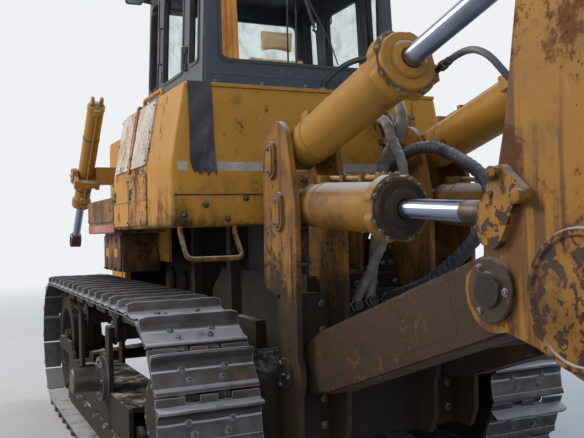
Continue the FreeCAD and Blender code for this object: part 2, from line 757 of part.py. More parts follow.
def hood():
    """A bent sheet over the engine, open below and in front."""
    half, top, bevel = s.hood_half, s.hood_top, s.hood_bevel
    outer = [(-half, s.hood_low), (half, s.hood_low), (half, top - bevel), (half - bevel, top),
             (bevel - half, top), (-half, top - bevel)]
    wall = s.hood_wall
    inner = [(wall - half, s.hood_low - 1), (half - wall, s.hood_low - 1),
             (half - wall, top - bevel - wall * 0.5),
             (half - bevel - wall * 0.5, top - wall), (bevel + wall * 0.5 - half, top - wall),
             (wall - half, top - bevel - wall * 0.5)]
    shell = prism("YZ_Plane", outer, s.hood_rear, s.guard_rear)
    room = prism("YZ_Plane", inner, s.hood_rear - 1, s.guard_rear + 1)
    return cut(shell, room)


node("hood", hood())


def radiator_guard():
    """A welded box round the radiator, with upright bars in its front window."""
    half, wall = s.guard_half, s.guard_wall
    outer = prism("XZ_Plane", [
        (s.guard_rear, s.rail_top), (s.guard_rear, s.guard_top), (s.guard_front - 60, s.guard_top),
        (s.guard_front, s.guard_top - 70), (s.guard_front, s.guard_low), (frame_nose + 1, s.guard_low),
        (frame_nose + 1, s.rail_top)], -half, half)
    room = box(s.guard_rear - 1, s.guard_front - wall, wall - half, half - wall, s.rail_top - 1,
               s.guard_top - wall)
    margin = s.grille_margin
    window = box(s.guard_front - wall - 1, s.guard_front + 1, margin - half, half - margin,
                 s.grille_low + 120, s.guard_top - margin)
    shell = cut(outer, room, window)
    bars = []
    span = 2 * (half.value - margin.value)
    count = int(span // s.grille_step.value)
    first = -(count - 1) / 2
    for number in range(count):
        y = (first + number) * s.grille_step
        bars.append(box(s.guard_front - wall + s.grille_inset, s.guard_front - s.grille_inset,
                        y - s.grille_bar / 2, y + s.grille_bar / 2,
                        s.grille_low + 120, s.guard_top - margin))
    return fuse(shell, *bars)


node("radiator_guard", radiator_guard())


def stacks():
    """The exhaust with its silencer and the air cleaner's bowl, both standing on the hood."""
    base = s.hood_top
    pipe = turned([
        (0, 0), (0, s.stack_radius), (70, s.stack_radius), (110, s.muffler_radius), (430, s.muffler_radius),
        (480, s.stack_radius), (s.stack_top - base, s.stack_radius), (s.stack_top - base, s.stack_radius - 6),
        (520, s.stack_radius - 6), (520, 0)], s.stack_ahead, s.stack_aside, base,
        Rotation(Vector(0, 1, 0), -90))
    bowl = turned([
        (0, 0), (0, 70), (120, 70), (160, 150), (330, 150), (380, 120), (380, 0)],
        s.cleaner_ahead, s.cleaner_aside, base, Rotation(Vector(0, 1, 0), -90))
    return group(pipe, bowl)


node("hood_stacks", stacks())

# boxes beside the cab and the tank behind it


def side_outline(inner, low, top):
    """Rear view of a side box: upright below the bend, leaning in above it."""
    return [(inner, low), (s.side_half, low), (s.side_half, s.tank_bend), (s.lean_half, top), (inner, top)]


def fuel_tank():
    half, lean = s.side_half, s.lean_half
    outline = [(-half, s.tank_low), (half, s.tank_low), (half, s.tank_bend), (lean, s.tank_top),
               (-lean, s.tank_top), (-half, s.tank_bend)]
    return prism("YZ_Plane", outline, s.tank_rear, s.tank_front)


node("fuel_tank", fuel_tank())


def side_box():
    body = prism("YZ_Plane", side_outline(s.box_inner, s.tank_low, s.tank_top), s.tank_front + s.seam,
                 s.box_front)
    slant = prism("XZ_Plane", [
        (s.box_front, s.tank_bend), (s.box_front + 1, s.tank_top + 1),
        (s.box_front - s.box_slope, s.tank_top + 1)],
        s.box_inner - 1, s.side_half + 1)
    return cut(body, slant)


pair("side_box", side_box())


def step_box():
    deck = box(s.box_front + s.seam, s.step_front, s.step_inner, s.side_half, s.step_low, s.step_top)
    locker = prism("XZ_Plane", [
        (s.locker_rear, s.locker_low), (s.locker_front, s.locker_low), (s.locker_front, s.step_low),
        (s.locker_rear + 40, s.step_low)], s.step_inner, s.locker_half)
    return fuse(deck, locker)


pair("step_box", step_box())

# cab


def door_hinges():
    """For each of a door's two hinges: the frame's ears with their pin, and the leaf's knuckle."""
    low, high = s.cab_sill + s.door_sill, s.cab_eave - s.door_head
    slope = s.cab_lean / (s.cab_eave - s.cab_sill)
    lean = Rotation(Vector(1, 0, 0), math.degrees(math.atan(slope.value)))
    x = s.door_rear - s.door_gap / 2
    ears, knuckles = [], []
    for share in (0.18, 0.82):
        z = low + (high - low) * share

        def out(rise):
            return s.cab_half - (z + rise - s.cab_sill) * slope + s.hinge_proud

        def round_bar(rise, radius, length):
            return rod("z", x, out(rise), z + rise, radius, length, lean)

        long = s.hinge_long
        for rise in (-long * 1.5, long * 0.5 + s.hinge_play):
            ear = box(x - s.ear_long, x - s.ear_inset, out(rise) - s.hinge_proud - s.ear_root,
                      out(rise) - s.ear_inset,
                      z + rise + s.ear_inset, z + rise + long - s.hinge_play - s.ear_inset)
            ears.append(fuse(ear, round_bar(rise, s.hinge_radius, long - s.hinge_play)))
        ears.append(round_bar(-long * 1.4, s.hinge_pin, long * 2.8))
        plate = box(x + s.door_gap / 2, x + s.ear_long + s.door_gap,
                    out(-long / 2) - s.hinge_proud - s.ear_root,
                    out(-long / 2),
                    z - long / 2 + s.hinge_play, z + long / 2)
        knuckle = fuse(plate, round_bar(s.hinge_play - long / 2, s.hinge_radius, long - s.hinge_play))
        knuckles.append(cut(knuckle, round_bar(-long, s.hinge_pin + s.pin_fit, long * 2)))
    return ears, knuckles


def cab_frame():
    """Four walls with their windows and doorways cut; the sides lean in towards the roof."""
    half, wall, lean = s.cab_half, s.cab_wall, s.cab_lean
    low, high = s.cab_sill, s.cab_eave
    outer = prism("YZ_Plane", [(-half, low), (half, low), (half - lean, high), (lean - half, high)],
                  s.cab_rear, s.cab_front)
    inner = prism("YZ_Plane", [
        (wall - half, low - 1), (half - wall, low - 1), (half - lean - wall, high + 1),
        (lean + wall - half, high + 1)],
        s.cab_rear + wall, s.cab_front - wall)
    post, head = s.post_rear, s.head_tall
    rear = box(s.cab_rear - 1, s.cab_rear + wall + 1, post + lean - half, half - lean - post,
               low + s.sill_tall, high - head)
    front = box(s.cab_front - wall - 1, s.cab_front + 1, post + lean - half, half - lean - post,
                low + 60, high - head)
    door = box(s.door_rear - s.door_gap, s.door_front + s.door_gap, -half - 1, half + 1,
               low + s.door_sill, high - s.door_head)
    quarter = box(s.cab_rear + post, s.door_rear - post, -half - 1, half + 1, low + s.sill_tall, high - head)
    vent = box(s.door_front + post, s.cab_front - post, -half - 1, half + 1, low + s.sill_tall, high - head)
    shell = cut(outer, inner, rear, front, door, quarter, vent)
    ears = door_hinges()[0]
    return fuse(shell, *ears, *[mirrored(ear) for ear in ears])


node("cab_frame", cab_frame())

node("cab_roof", box(
    s.cab_rear - s.roof_over, s.cab_front + s.roof_over, s.cab_lean - s.cab_half - s.roof_over,
    s.cab_half - s.cab_lean + s.roof_over, s.cab_eave, s.cab_eave + s.roof_thick))


def side_pane(x0, x1, z0, z1, thick):
    """A pane that leans with the cab's left side, in the middle of its wall."""
    low, high = s.cab_sill, s.cab_eave
    slope = s.cab_lean / (high - low)

    def out(z):
        return s.cab_half - (z - low) * slope - s.cab_wall / 2 + thick / 2

    outline = [(out(z0) - thick, z0), (out(z0), z0), (out(z1), z1), (out(z1) - thick, z1)]
    return prism("YZ_Plane", outline, x0, x1)


def cab_glass():
    post, head, lean, half = s.post_rear, s.head_tall, s.cab_lean, s.cab_half
    low, high, pane, wall = s.cab_sill, s.cab_eave, s.glass_thick, s.cab_wall
    panes = []
    for x, z0 in ((s.cab_rear + wall / 2, low + s.sill_tall), (s.cab_front - wall / 2, low + 60)):
        panes.append(box(x - pane / 2, x + pane / 2, post + lean - half, half - lean - post, z0, high - head))
    for x0, x1 in ((s.cab_rear + post, s.door_rear - post), (s.door_front + post, s.cab_front - post)):
        left = side_pane(x0, x1, low + s.sill_tall, high - head, pane)
        panes += [left, mirrored(left)]
    return group(*panes)


node("cab_glass", cab_glass())


def door():
    low, high = s.cab_sill + s.door_sill + s.door_gap, s.cab_eave - s.door_head - s.door_gap
    rim = s.door_frame
    leaf = side_pane(s.door_rear, s.door_front, low, high, s.cab_wall)
    hole = box(s.door_rear + rim, s.door_front - rim, 0, s.cab_half + 1, low + rim, high - rim)
    knuckles = door_hinges()[1]
    return fuse(cut(leaf, hole), *knuckles)


pair("door", door())
pair("door_glass", side_pane(
    s.door_rear + s.door_frame, s.door_front - s.door_frame,
    s.cab_sill + s.door_sill + s.door_gap + s.door_frame,
    s.cab_eave - s.door_head - s.door_gap - s.door_frame, s.glass_thick))


def cab_floor():
    """The pan that the seat stands on, its front wall and the ledges that carry the cab."""
    inner = s.box_inner - s.seam
    pan = box(s.tank_front + s.seam, s.cowl_ahead + s.cowl_thick, -inner, inner, s.floor_low,
              s.floor_low + s.floor_thick)
    cowl = box(s.cowl_ahead, s.cowl_ahead + s.cowl_thick, -inner, inner, s.floor_low, s.cab_sill)
    legs = []
    for x in (s.tank_front + 40, s.cowl_ahead - 100):
        for y in (-s.rail_half, s.rail_half - s.rail_wall):
            legs.append(box(x, x + 90, y, y + s.rail_wall, s.rail_top, s.floor_low))
    return fuse(pan, cowl, *legs)


node("cab_floor", cab_floor())


def seat():
    x, half = s.seat_ahead, s.seat_half
    back = x - half
    cushion = box(back + s.back_thick, x + half, -half, half, s.seat_high - s.seat_thick, s.seat_high)
    rest = prism("XZ_Plane", [
        (back + s.back_thick, s.seat_high - s.seat_thick), (back + s.back_thick, s.seat_high),
        (back + 40, s.back_top), (back - 50, s.back_top), (back, s.seat_high - s.seat_thick)], -half, half)
    head = prism("XZ_Plane", [
        (back + 30, s.back_top), (back + 15, s.head_rest_top), (back - 75, s.head_rest_top),
        (back - 50, s.back_top)],
        -150, 150)
    return fuse(cushion, rest, head)


node("seat", seat())


def controls():
    """The seat's stand, a console each side and the levers."""
    floor = s.floor_low + s.floor_thick
    stand = box(s.seat_ahead - 200, s.seat_ahead + 200, -200, 200, floor, s.seat_high - s.seat_thick)
    pieces = [stand]
    for side in (-1, 1):
        y = side * (s.seat_half + 120)
        console = box(s.seat_ahead - 150, s.seat_ahead + 380, y - 80, y + 80, floor, s.seat_high + 90)
        lever = rod("z", s.seat_ahead + 260, y, s.seat_high + 90, 14, 260)
        pieces.append(fuse(console, lever))
    dash = prism("XZ_Plane", [
        (s.cowl_ahead - 220, s.seat_high + 60), (s.cowl_ahead, s.seat_high - 100),
        (s.cowl_ahead, s.cab_sill + 40),
        (s.cowl_ahead - 120, s.cab_sill + 40)], -420, 420)
    pieces.append(dash)
    return group(*pieces)


node("controls", controls())

# ripper


def lobed_plate(outline, lobes, start, end):
    """A plate with a round lobe about each pin."""
    pieces = [prism("XZ_Plane", outline, start, end)]
    for x, z, radius in lobes:
        pieces.append(rod("y", x, start, z, radius, as_size(end) - start))
    return fuse(*pieces)


def ripper_bracket():
    """Four upright plates on the case's rear cover, with the pins of the link and the cylinders."""
    base = s.case_rear - s.base_thick
    outline = [
        (base, s.plate_low), (s.plate_rear + 60, s.plate_low), (s.plate_rear, s.plate_low + 120),
        (s.plate_rear - 15, s.lift_pin_z), (s.plate_rear + 60, s.tilt_pin_z),
        (s.tilt_pin_x + 150, s.tilt_pin_z),
        (s.plate_fore, s.lift_pin_z), (s.plate_fore + 20, s.case_top + 40), (s.case_rear, s.case_top + 1),
        (base, s.case_top)]
    lobes = [(s.tilt_pin_x - 40, s.tilt_pin_z, 190), (s.link_pin_x - 30, s.link_pin_z, 175)]
    thick = s.plate_thick
    plates = []
    for middle in (s.plate_far, s.plate_near):
        plates.append(lobed_plate(outline, lobes, middle - thick / 2, middle + thick / 2))
        plates.append(lobed_plate(outline, lobes, -middle - thick / 2, -middle + thick / 2))
    face = box(base, s.case_rear, -s.plate_far - thick / 2, s.plate_far + thick / 2, s.plate_low, s.case_top)
    near, far = s.plate_near - thick / 2, s.plate_far + thick / 2
    pins = []
    for x, z in ((s.tilt_pin_x, s.tilt_pin_z), (s.lift_pin_x, s.lift_pin_z), (s.link_pin_x, s.link_pin_z)):
        for side in (-1, 1):
            start = near if side > 0 else -far
            pins.append(rod("y", x, start, z, s.pin_radius, far - near))
            cap = far if side > 0 else -far - s.cap_thick
            if z is s.link_pin_z:
                pins.append(rod("y", x, cap, z, s.cap_radius, s.cap_thick))
            else:
                low, high = z - s.keeper_down, z + s.keeper_up
                pins.append(rod("y", x, cap, low, s.keeper_half, s.cap_thick))
                pins.append(rod("y", x, cap, high, s.keeper_half, s.cap_thick))
                pins.append(box(x - s.keeper_half, x + s.keeper_half, cap, cap + s.cap_thick, low, high))
    return fuse(face, *plates, *pins)


node("ripper_bracket", ripper_bracket())


def ripper_link():
    """Two box arms joined by a tube, bored for a pin at each end."""
    half = s.arm_width / 2
    run = math.hypot(s.beam_pin_x.value - s.link_pin_x.value, s.beam_pin_z.value - s.link_pin_z.value)
    down_x = (s.beam_pin_z.value - s.link_pin_z.value) / run
    down_z = (s.beam_pin_x.value - s.link_pin_x.value) / run
    tall = s.arm_tall / 2

    def edge(x, z, side, height):
        return x + height * down_x * side, z - height * down_z * side

    corners = [
        edge(s.link_pin_x, s.link_pin_z, 1, s.arm_front_boss),
        edge(s.link_pin_x - 330, s.link_pin_z + 110, 1, tall + 10),
        edge(s.beam_pin_x, s.beam_pin_z, 1, s.arm_boss), edge(s.beam_pin_x, s.beam_pin_z, -1, s.arm_boss),
        edge(s.link_pin_x - 330, s.link_pin_z + 110, -1, tall + 10),
        edge(s.link_pin_x, s.link_pin_z, -1, s.arm_front_boss)]
    arms = []
    for middle in (s.arm_middle, -s.arm_middle):
        arm = lobed_plate(corners, [
            (s.link_pin_x, s.link_pin_z, s.arm_front_boss), (s.beam_pin_x, s.beam_pin_z, s.arm_boss)],
            middle - half, middle + half)
        bores = []
        for x, z in ((s.link_pin_x, s.link_pin_z), (s.beam_pin_x, s.beam_pin_z)):
            bores.append(rod("y", x, middle - half - 1, z, s.pin_radius + s.pin_fit, s.arm_width + 2))
        arms.append(cut(arm, *bores))
    tie = rod("y", (s.link_pin_x + s.beam_pin_x) / 2, half - s.arm_middle, (s.link_pin_z + s.beam_pin_z) / 2,
              s.tie_radius, 2 * s.arm_middle - s.arm_width)
    return fuse(*arms, tie)


node("ripper_link", ripper_link())


def ripper_pins():
    """The two pins of the link's rear end, with their caps."""
    near = s.cheek_near - s.cheek_thick / 2 - 2
    far = s.cheek_far + s.cheek_thick / 2 + 1
    pins = []
    for side in (-1, 1):
        start = near if side > 0 else -far
        pin = rod("y", s.beam_pin_x, start, s.beam_pin_z, s.pin_radius, far - near)
        cap = far if side > 0 else -far - s.cap_thick
        pins.append(fuse(pin, rod("y", s.beam_pin_x, cap, s.beam_pin_z, s.cap_radius + 30, s.cap_thick)))
    return group(*pins)


node("ripper_pins", ripper_pins())


def ripper_beam():
    """Four cheek plates on a cross beam, round end plates, lugs over the lift pins and the shank's socket."""
    outline = [
        (s.beam_pin_x - 60, s.beam_pin_z - 155), (s.beam_pin_x - 220, s.beam_pin_z - 185),
        (s.beam_front - 55, s.cheek_low), (s.cheek_rear, s.cheek_low), (s.cheek_rear, s.beam_top + 40),
        (s.cheek_rear + 95, s.beam_top + 420), (s.tilt_eye_x - 160, s.tilt_eye_z - 60),
        (s.tilt_eye_x - 120, s.tilt_eye_z + 60), (s.tilt_eye_x + 120, s.tilt_eye_z + 60),
        (s.tilt_eye_x + 255, s.tilt_eye_z - 280), (s.lift_eye_x - 40, s.lift_eye_z + 340),
        (s.lift_eye_x + 5, s.lift_eye_z + 170), (s.lift_eye_x + 95, s.lift_eye_z - 150),
        (s.beam_pin_x + 130, s.beam_pin_z + 50)]
    lobes = [
        (s.beam_pin_x, s.beam_pin_z, 160), (s.lift_eye_x, s.lift_eye_z, s.lug_radius),
        (s.tilt_eye_x, s.tilt_eye_z, 150)]
    lug_outline = [
        (s.lift_eye_x + across, s.lift_eye_z + up) for across, up in (
            (95, -135), (102, 0), (80, 55), (51, 75), (18, 140), (18, 175), (-54, 180), (-82, 151),
            (-170, 80), (-170, 45), (-107, 40), (-59, -51), (-50, -135))]
    thick = s.cheek_thick
    cheeks = []
    for middle in (s.cheek_far, s.cheek_near, -s.cheek_far, -s.cheek_near):
        plate = lobed_plate(outline, lobes, middle - thick / 2, middle + thick / 2)
        bore = rod("y", s.beam_pin_x, middle - thick / 2 - 1, s.beam_pin_z, s.pin_radius + s.pin_fit,
                   thick + 2)
        cheeks.append(cut(plate, bore))
    outer = s.cheek_far + thick / 2
    lugs = []
    for low in (outer, -outer - s.lug_thick):
        lugs.append(prism("XZ_Plane", lug_outline, low, low + s.lug_thick))
    for low in (outer, -outer - 2 * s.lug_thick):
        for across, up in ((-18, 150), (-140, 62)):
            lugs.append(rod("y", s.lift_eye_x + across, low, s.lift_eye_z + up, s.lug_pin, 2 * s.lug_thick))
    beam = box(s.beam_rear, s.beam_front, -s.beam_half, s.beam_half, s.beam_low, s.beam_top)
    beam_mid = (s.beam_low + s.beam_top) / 2
    disc_x = (s.beam_front + s.beam_rear) / 2
    discs = [rod("y", disc_x, s.beam_half, beam_mid, s.disc_radius, s.disc_thick),
             rod("y", disc_x, -s.beam_half - s.disc_thick, beam_mid, s.disc_radius, s.disc_thick)]
    webs = []
    web_outline = [
        (s.cheek_rear + 6, s.beam_low), (s.cheek_rear + 6, s.beam_top + 42),
        (s.cheek_rear + 101, s.beam_top + 420),
        (s.tilt_eye_x - 166, s.tilt_eye_z - 200), (s.tilt_eye_x - 166 + s.cheek_web, s.tilt_eye_z - 200),
        (s.cheek_rear + 131, s.beam_top + 420), (s.cheek_rear + 46, s.beam_top + 42),
        (s.cheek_rear + 46, s.beam_low)]
    for near in (s.cheek_near, -s.cheek_far):
        webs.append(prism("XZ_Plane", web_outline, near, near + s.cheek_far - s.cheek_near))
    front = s.shank_rear + s.shank_deep
    half = s.shank_thick / 2
    socket = box(s.shank_rear - s.socket_wall, s.beam_rear, -half - s.socket_wall, half + s.socket_wall,
                 s.socket_low, s.socket_top)
    hole = box(s.shank_rear, front, -half, half, s.socket_low - 1, s.socket_top + 1)
    return fuse(*cheeks, beam, *discs, *lugs, *webs, cut(socket, hole))


node("ripper_beam", ripper_beam())


def ripper_shank():
    """A flat shank that bends forward to its tooth."""
    rear, front = s.shank_rear, s.shank_rear + s.shank_deep
    outline = [
        (rear, s.shank_top), (front, s.shank_top), (front, s.shank_toe), (front + 80, s.shank_toe - 240),
        (s.point_fore, s.point_low + 20), (s.point_fore, s.point_low), (front - 60, s.point_low + 90),
        (rear + 60, s.shank_toe - 350), (rear, s.shank_toe)]
    return prism("XZ_Plane", outline, -s.shank_thick / 2, s.shank_thick / 2)


node("ripper_shank", ripper_shank())

# hydraulic cylinders: each lies from its barrel's pin to its rod's eye


def aim(x0, z0, x1, z1):
    """The turn that carries +X onto the line between two points of a side view."""
    angle = math.degrees(math.atan2(z1.value - z0.value, x1.value - x0.value))
    return Rotation(Vector(0, 1, 0), -angle)


def along(x0, z0, x1, z1, way):
    """The point at a distance along that line."""
    length = math.hypot(x1.value - x0.value, z1.value - z0.value)
    return x0 + way * ((x1 - x0) / length), z0 + way * ((z1 - z0) / length)


def barrel(x0, z0, x1, z1, radius, head, end, rod_radius, side):
    y = side * s.arm_middle
    turn = aim(x0, z0, x1, z1)
    body = turned([
        (s.barrel_start - 60, 0), (s.barrel_start - 60, radius * 0.72), (s.barrel_start, radius),
        (end - s.head_long, radius), (end - s.head_long, head), (end, head), (end, 0)], x0, y, z0, turn)
    eye = rod("y", x0, y - s.eye_width / 2, z0, s.eye_radius, s.eye_width)
    bore = rod("y", x0, y - s.eye_width, z0, s.pin_radius + s.pin_fit, 2 * s.eye_width)
    start_x, start_z = along(x0, z0, x1, z1, s.barrel_start + 60)
    well = rod("x", start_x, y, start_z, rod_radius + s.rod_fit, end - s.barrel_start,
               turn.multiply(TURNS["x"]))
    def block(reach, across, up, long, wide, tall):
        """A block set out along the barrel, across it and up from its axis."""
        piece = doc.addObject("Part::Box", "Block")
        bind(piece, Length=long, Width=wide, Height=tall)
        corner = turn.multVec(Vector(as_size(reach).value, as_size(across).value, -as_size(up).value))
        return place(piece, x0 + corner.x, y + corner.y, z0 + corner.z, turn)

    def bar(reach, across, up, width, long):
        spot = turn.multVec(Vector(as_size(reach).value, as_size(across).value, -as_size(up).value))
        return rod("x", x0 + spot.x, y + spot.y, z0 + spot.z, width, long, turn.multiply(TURNS["x"]))

    head_port = end - s.head_long - 10 - s.port_long
    top = radius + s.port_proud
    ports = [block(reach, -s.port_half, top, s.port_long, 2 * s.port_half, s.port_proud + 30)
             for reach in (s.barrel_start + 50, head_port)]
    pipe = bar(s.barrel_start + 100, 0, radius + 20, s.pipe_radius, head_port - s.barrel_start - 80)
    inner = s.arm_middle - s.hose_y
    wide = inner + s.hose_nut + 5 - radius + 25
    hose_block = block(head_port, -inner - s.hose_nut - 5 if side > 0 else radius - 25, s.hose_nut + 15,
                       s.port_long, wide, 2 * s.hose_nut + 30)
    nut = bar(head_port + s.port_long, -side * inner, 0, s.hose_nut, end + 30 - head_port - s.port_long)
    return cut(fuse(body, eye, *ports, pipe, hose_block, nut), bore, well)


def piston_rod(x0, z0, x1, z1, end, rod_radius, side):
    y = side * s.arm_middle
    turn = aim(x0, z0, x1, z1)
    length = math.hypot(x1.value - x0.value, z1.value - z0.value)
    start_x, start_z = along(x0, z0, x1, z1, end - s.rod_hidden)
    shaft = rod("x", start_x, y, start_z, rod_radius, length - end + s.rod_hidden - s.eye_radius * 0.6,
                turn.multiply(TURNS["x"]))
    eye = rod("y", x1, y - s.eye_width / 2, z1, s.eye_radius, s.eye_width)
    return fuse(shaft, eye)


RIPPER_CYLINDERS = [
    # name, barrel's pin, rod's eye, barrel, head, barrel's end, rod
    ("lift", s.lift_pin_x, s.lift_pin_z, s.lift_eye_x, s.lift_eye_z, s.lift_barrel, s.lift_head,
     s.lift_barrel_end, s.lift_rod),
    ("tilt", s.tilt_pin_x, s.tilt_pin_z, s.tilt_eye_x, s.tilt_eye_z, s.tilt_barrel, s.tilt_head,
     s.tilt_barrel_end, s.tilt_rod),
]
for name, x0, z0, x1, z1, radius, head, end, rod_radius in RIPPER_CYLINDERS:
    for side, hand in ((1, "left"), (-1, "right")):
        node(f"{name}_barrel_{hand}", barrel(x0, z0, x1, z1, radius, head, end, rod_radius, side))
        node(f"{name}_rod_{hand}", piston_rod(x0, z0, x1, z1, end, rod_radius, side))


def hose(points, radius):
    """A hose along straight runs, joined by the largest tangent arcs that they leave room for."""
    spots = [Vector(*point) for point in points]
    spots += [Vector(x, -y, z) for x, y, z in reversed(points[:-1])]
    edges, start, bends = [], spots[0], []
    for before, corner, after in zip(spots, spots[1:], spots[2:]):
        reach = 0.45 * min((before - corner).Length, (after - corner).Length)
        back, ahead = (before - corner).normalize(), (after - corner).normalize()
        half = back.getAngle(ahead) / 2
        bend = reach * math.tan(half)
        inward = (back + ahead).normalize()
        first, last = corner + back * reach, corner + ahead * reach
        edges.append(Part.LineSegment(start, first).toShape())
        edges.append(Part.Arc(first, corner + inward * (reach / math.cos(half) - bend), last).toShape())
        start = last
        bends.append(round(bend))
    edges.append(Part.LineSegment(start, spots[-1]).toShape())
    section = Part.Wire(Part.makeCircle(radius, spots[0], spots[1] - spots[0]))
    print("hose bends", bends)
    return Part.Wire(edges).makePipeShell([section], True, False)


# half of each hose's route, from the left barrel's nut to the machine's middle
HOSES = {
    "tilt_hose": [
        (-1668.6, 250, 2606.5), (-1786.5, 250, 2637), (-1935, 248, 2585), (-2025, 215, 2460),
        (-2062, 125, 2365),
        (-2075, 0, 2325)],
    "lift_hose": [
        (-1588.3, 250, 1900.1), (-1700, 250, 1893.4), (-1830, 248, 1835), (-1915, 212, 1730),
        (-1950, 122, 1645),
        (-1962, 0, 1607)],
}
for name, points in HOSES.items():
    node(name, shaped(hose(points, s.hose_radius.value)))

# blade lift cylinders: each hangs by its trunnion in a yoke on the radiator guard's side

hoist_turn = Rotation(Vector(1, 0, 0), s.hoist_out.value).multiply(Rotation(Vector(0, 1, 0),
                                                                            90 - s.hoist_lean.value))
hoist_down = hoist_turn.multVec(Vector(1, 0, 0))
hoist_side = hoist_turn.multVec(Vector(0, 1, 0))


def hoist_point(down, side=0):
    return [
        base + down * step + side * across
        for base, step, across in zip((s.hoist_x, s.hoist_y, s.hoist_z), hoist_down, hoist_side)]


def hoist_barrel():
    radius = s.hoist_barrel
    body = turned([
        (-s.hoist_above, 0), (-s.hoist_above, radius - 12), (12 - s.hoist_above, radius + 6),
        (60 - s.hoist_above, radius + 6), (60 - s.hoist_above, radius), (s.hoist_below - 70, radius),
        (s.hoist_below - 70, radius + 18), (s.hoist_below, radius + 18), (s.hoist_below, 0)],
        *hoist_point(0), hoist_turn)
    stub_half = radius + s.yoke_clear + s.yoke_arm
    stubs = rod("y", *hoist_point(0, -stub_half), s.stub_radius, 2 * stub_half,
                hoist_turn.multiply(TURNS["y"]))
    well = rod("x", *hoist_point(140 - s.hoist_above), s.hoist_rod + s.rod_fit, s.hoist_above + s.hoist_below,
               hoist_turn.multiply(TURNS["x"]))
    return cut(fuse(body, stubs), well)


def hoist_rod():
    start = s.hoist_below - 780
    shaft = rod("x", *hoist_point(start), s.hoist_rod, s.hoist_eye_down - start - s.hoist_eye * 0.6,
                hoist_turn.multiply(TURNS["x"]))
    eye = rod("y", *hoist_point(s.hoist_eye_down, -s.hoist_eye_wide / 2), s.hoist_eye, s.hoist_eye_wide,
              hoist_turn.multiply(TURNS["y"]))
    bore = rod("y", *hoist_point(s.hoist_eye_down, -s.hoist_eye_wide), s.hoist_bore, 2 * s.hoist_eye_wide,
               hoist_turn.multiply(TURNS["y"]))
    return cut(fuse(shaft, eye), bore)


def hoist_yoke():
    """Two arms that hold the cylinder's stubs, joined behind the barrel and bolted to the guard."""
    reach = s.hoist_barrel + s.yoke_clear
    arm = s.yoke_arm
    pieces = []
    for start in (reach, -reach - arm):
        pieces.append(rod("y", *hoist_point(0, start), s.stub_radius + 42, arm,
                          hoist_turn.multiply(TURNS["y"])))
    back = doc.addObject("Part::Box", "Block")
    bind(back, Length=70, Width=2 * (reach + arm), Height=s.yoke_back)
    corner = Vector(-35, -(reach + arm).value, -(reach + 80).value)
    place(back, *[base + offset for base, offset in zip((s.hoist_x, s.hoist_y, s.hoist_z),
                                                        hoist_turn.multVec(corner))],
          turn=hoist_turn)
    sides = []
    for start in (reach, -reach - arm):
        side = doc.addObject("Part::Box", "Block")
        bind(side, Length=100, Width=arm, Height=reach + 80)
        corner = Vector(-50, start.value, -(reach + 80).value)
        place(side, *[base + offset for base, offset in zip((s.hoist_x, s.hoist_y, s.hoist_z),
                                                            hoist_turn.multVec(corner))],
              turn=hoist_turn)
        sides.append(side)
    room = rod("x", *hoist_point(-300), s.hoist_barrel + s.yoke_clear, 600, hoist_turn.multiply(TURNS["x"]))
    mount = box(s.hoist_x - 150, s.hoist_x + 60, s.guard_half, s.hoist_y - reach, s.hoist_z - 90,
                s.hoist_z + 90)
    hole = rod("y", *hoist_point(0, -400), s.stub_radius + s.pin_fit, 800, hoist_turn.multiply(TURNS["y"]))
    return cut(fuse(*pieces, *sides, mount, back), room, hole)


pair("hoist_barrel", hoist_barrel())
pair("hoist_rod", hoist_rod())
pair("hoist_yoke", hoist_yoke())

# small pieces


def tube_run(points, radius):
    """A bent round bar: straight runs with a ball at each corner."""
    pieces = []
    for start, end in zip(points, points[1:]):
        line = Vector(*end) - Vector(*start)
        pieces.append(Part.makeCylinder(radius, line.Length, Vector(*start), line))
    for corner in points[1:-1]:
        pieces.append(Part.makeSphere(radius, Vector(*corner)))
    run = pieces[0]
    for piece in pieces[1:]:
        run = run.fuse(piece)
    return run


def grab_rails():
    """Handrails on the side boxes and the bent step under the tank's rear edge, each side."""
    radius = s.bar_round.value
    top, out = s.tank_top.value, s.lean_half.value - 40
    rails = []
    for side in (1, -1):
        rails.append(tube_run([
            (840, side * out, top), (840, side * out, top + 56), (1360, side * out, top + 56),
            (1360, side * out, top)],
            radius))
        low, rear = s.tank_low.value, s.tank_rear.value - 120
        y0, y1 = side * (s.side_half.value - 60), side * (s.side_half.value - 440)
        rails.append(tube_run([
            (rear + 150, y0, low), (rear + 150, y0, low - 40), (rear, y0, low - 210), (rear, y1, low - 210),
            (rear + 150, y1, low - 40), (rear + 150, y1, low)], radius))
    return group(*[shaped(rail) for rail in rails])


node("grab_rails", grab_rails())


def rubber_flap():
    """A limp strip that hangs from the tank's rear left corner."""
    rear = s.tank_rear - s.flap_thick - s.seam
    return box(rear, rear + s.flap_thick, s.flap_inner, s.flap_inner + s.flap_wide, s.flap_low,
               s.tank_top - s.flap_drop)


node("rubber_flap", rubber_flap())


def work_lamps():
    """Lamps on the guard's top and under the roof's rear edge."""
    lamps = []
    for y in (-460, 460):
        lamps.append(turned([(0, 0), (0, s.lamp_radius * 0.6), (60, s.lamp_radius), (120, s.lamp_radius),
                             (120, 0)],
                            s.guard_front - 260, y, s.guard_top + s.lamp_radius + 20))
        lamps.append(box(s.guard_front - 220, s.guard_front - 170, as_size(y) - 20, as_size(y) + 20,
                         s.guard_top, s.guard_top + 30))
    return group(fuse(lamps[0], lamps[1]), fuse(lamps[2], lamps[3]))


node("work_lamps", work_lamps())

doc.recompute()
broken = [f"{thing.Label}: {thing.State}" for thing in doc.Objects
          if "Invalid" in thing.State or "Error" in thing.State]
if broken:
    raise RuntimeError("features failed: " + "; ".join(broken))
for name, feature in nodes.items():
    if feature.Shape.isNull() or not feature.Shape.isValid() or not feature.Shape.Solids:
        raise RuntimeError(f"{name} has no valid solid")

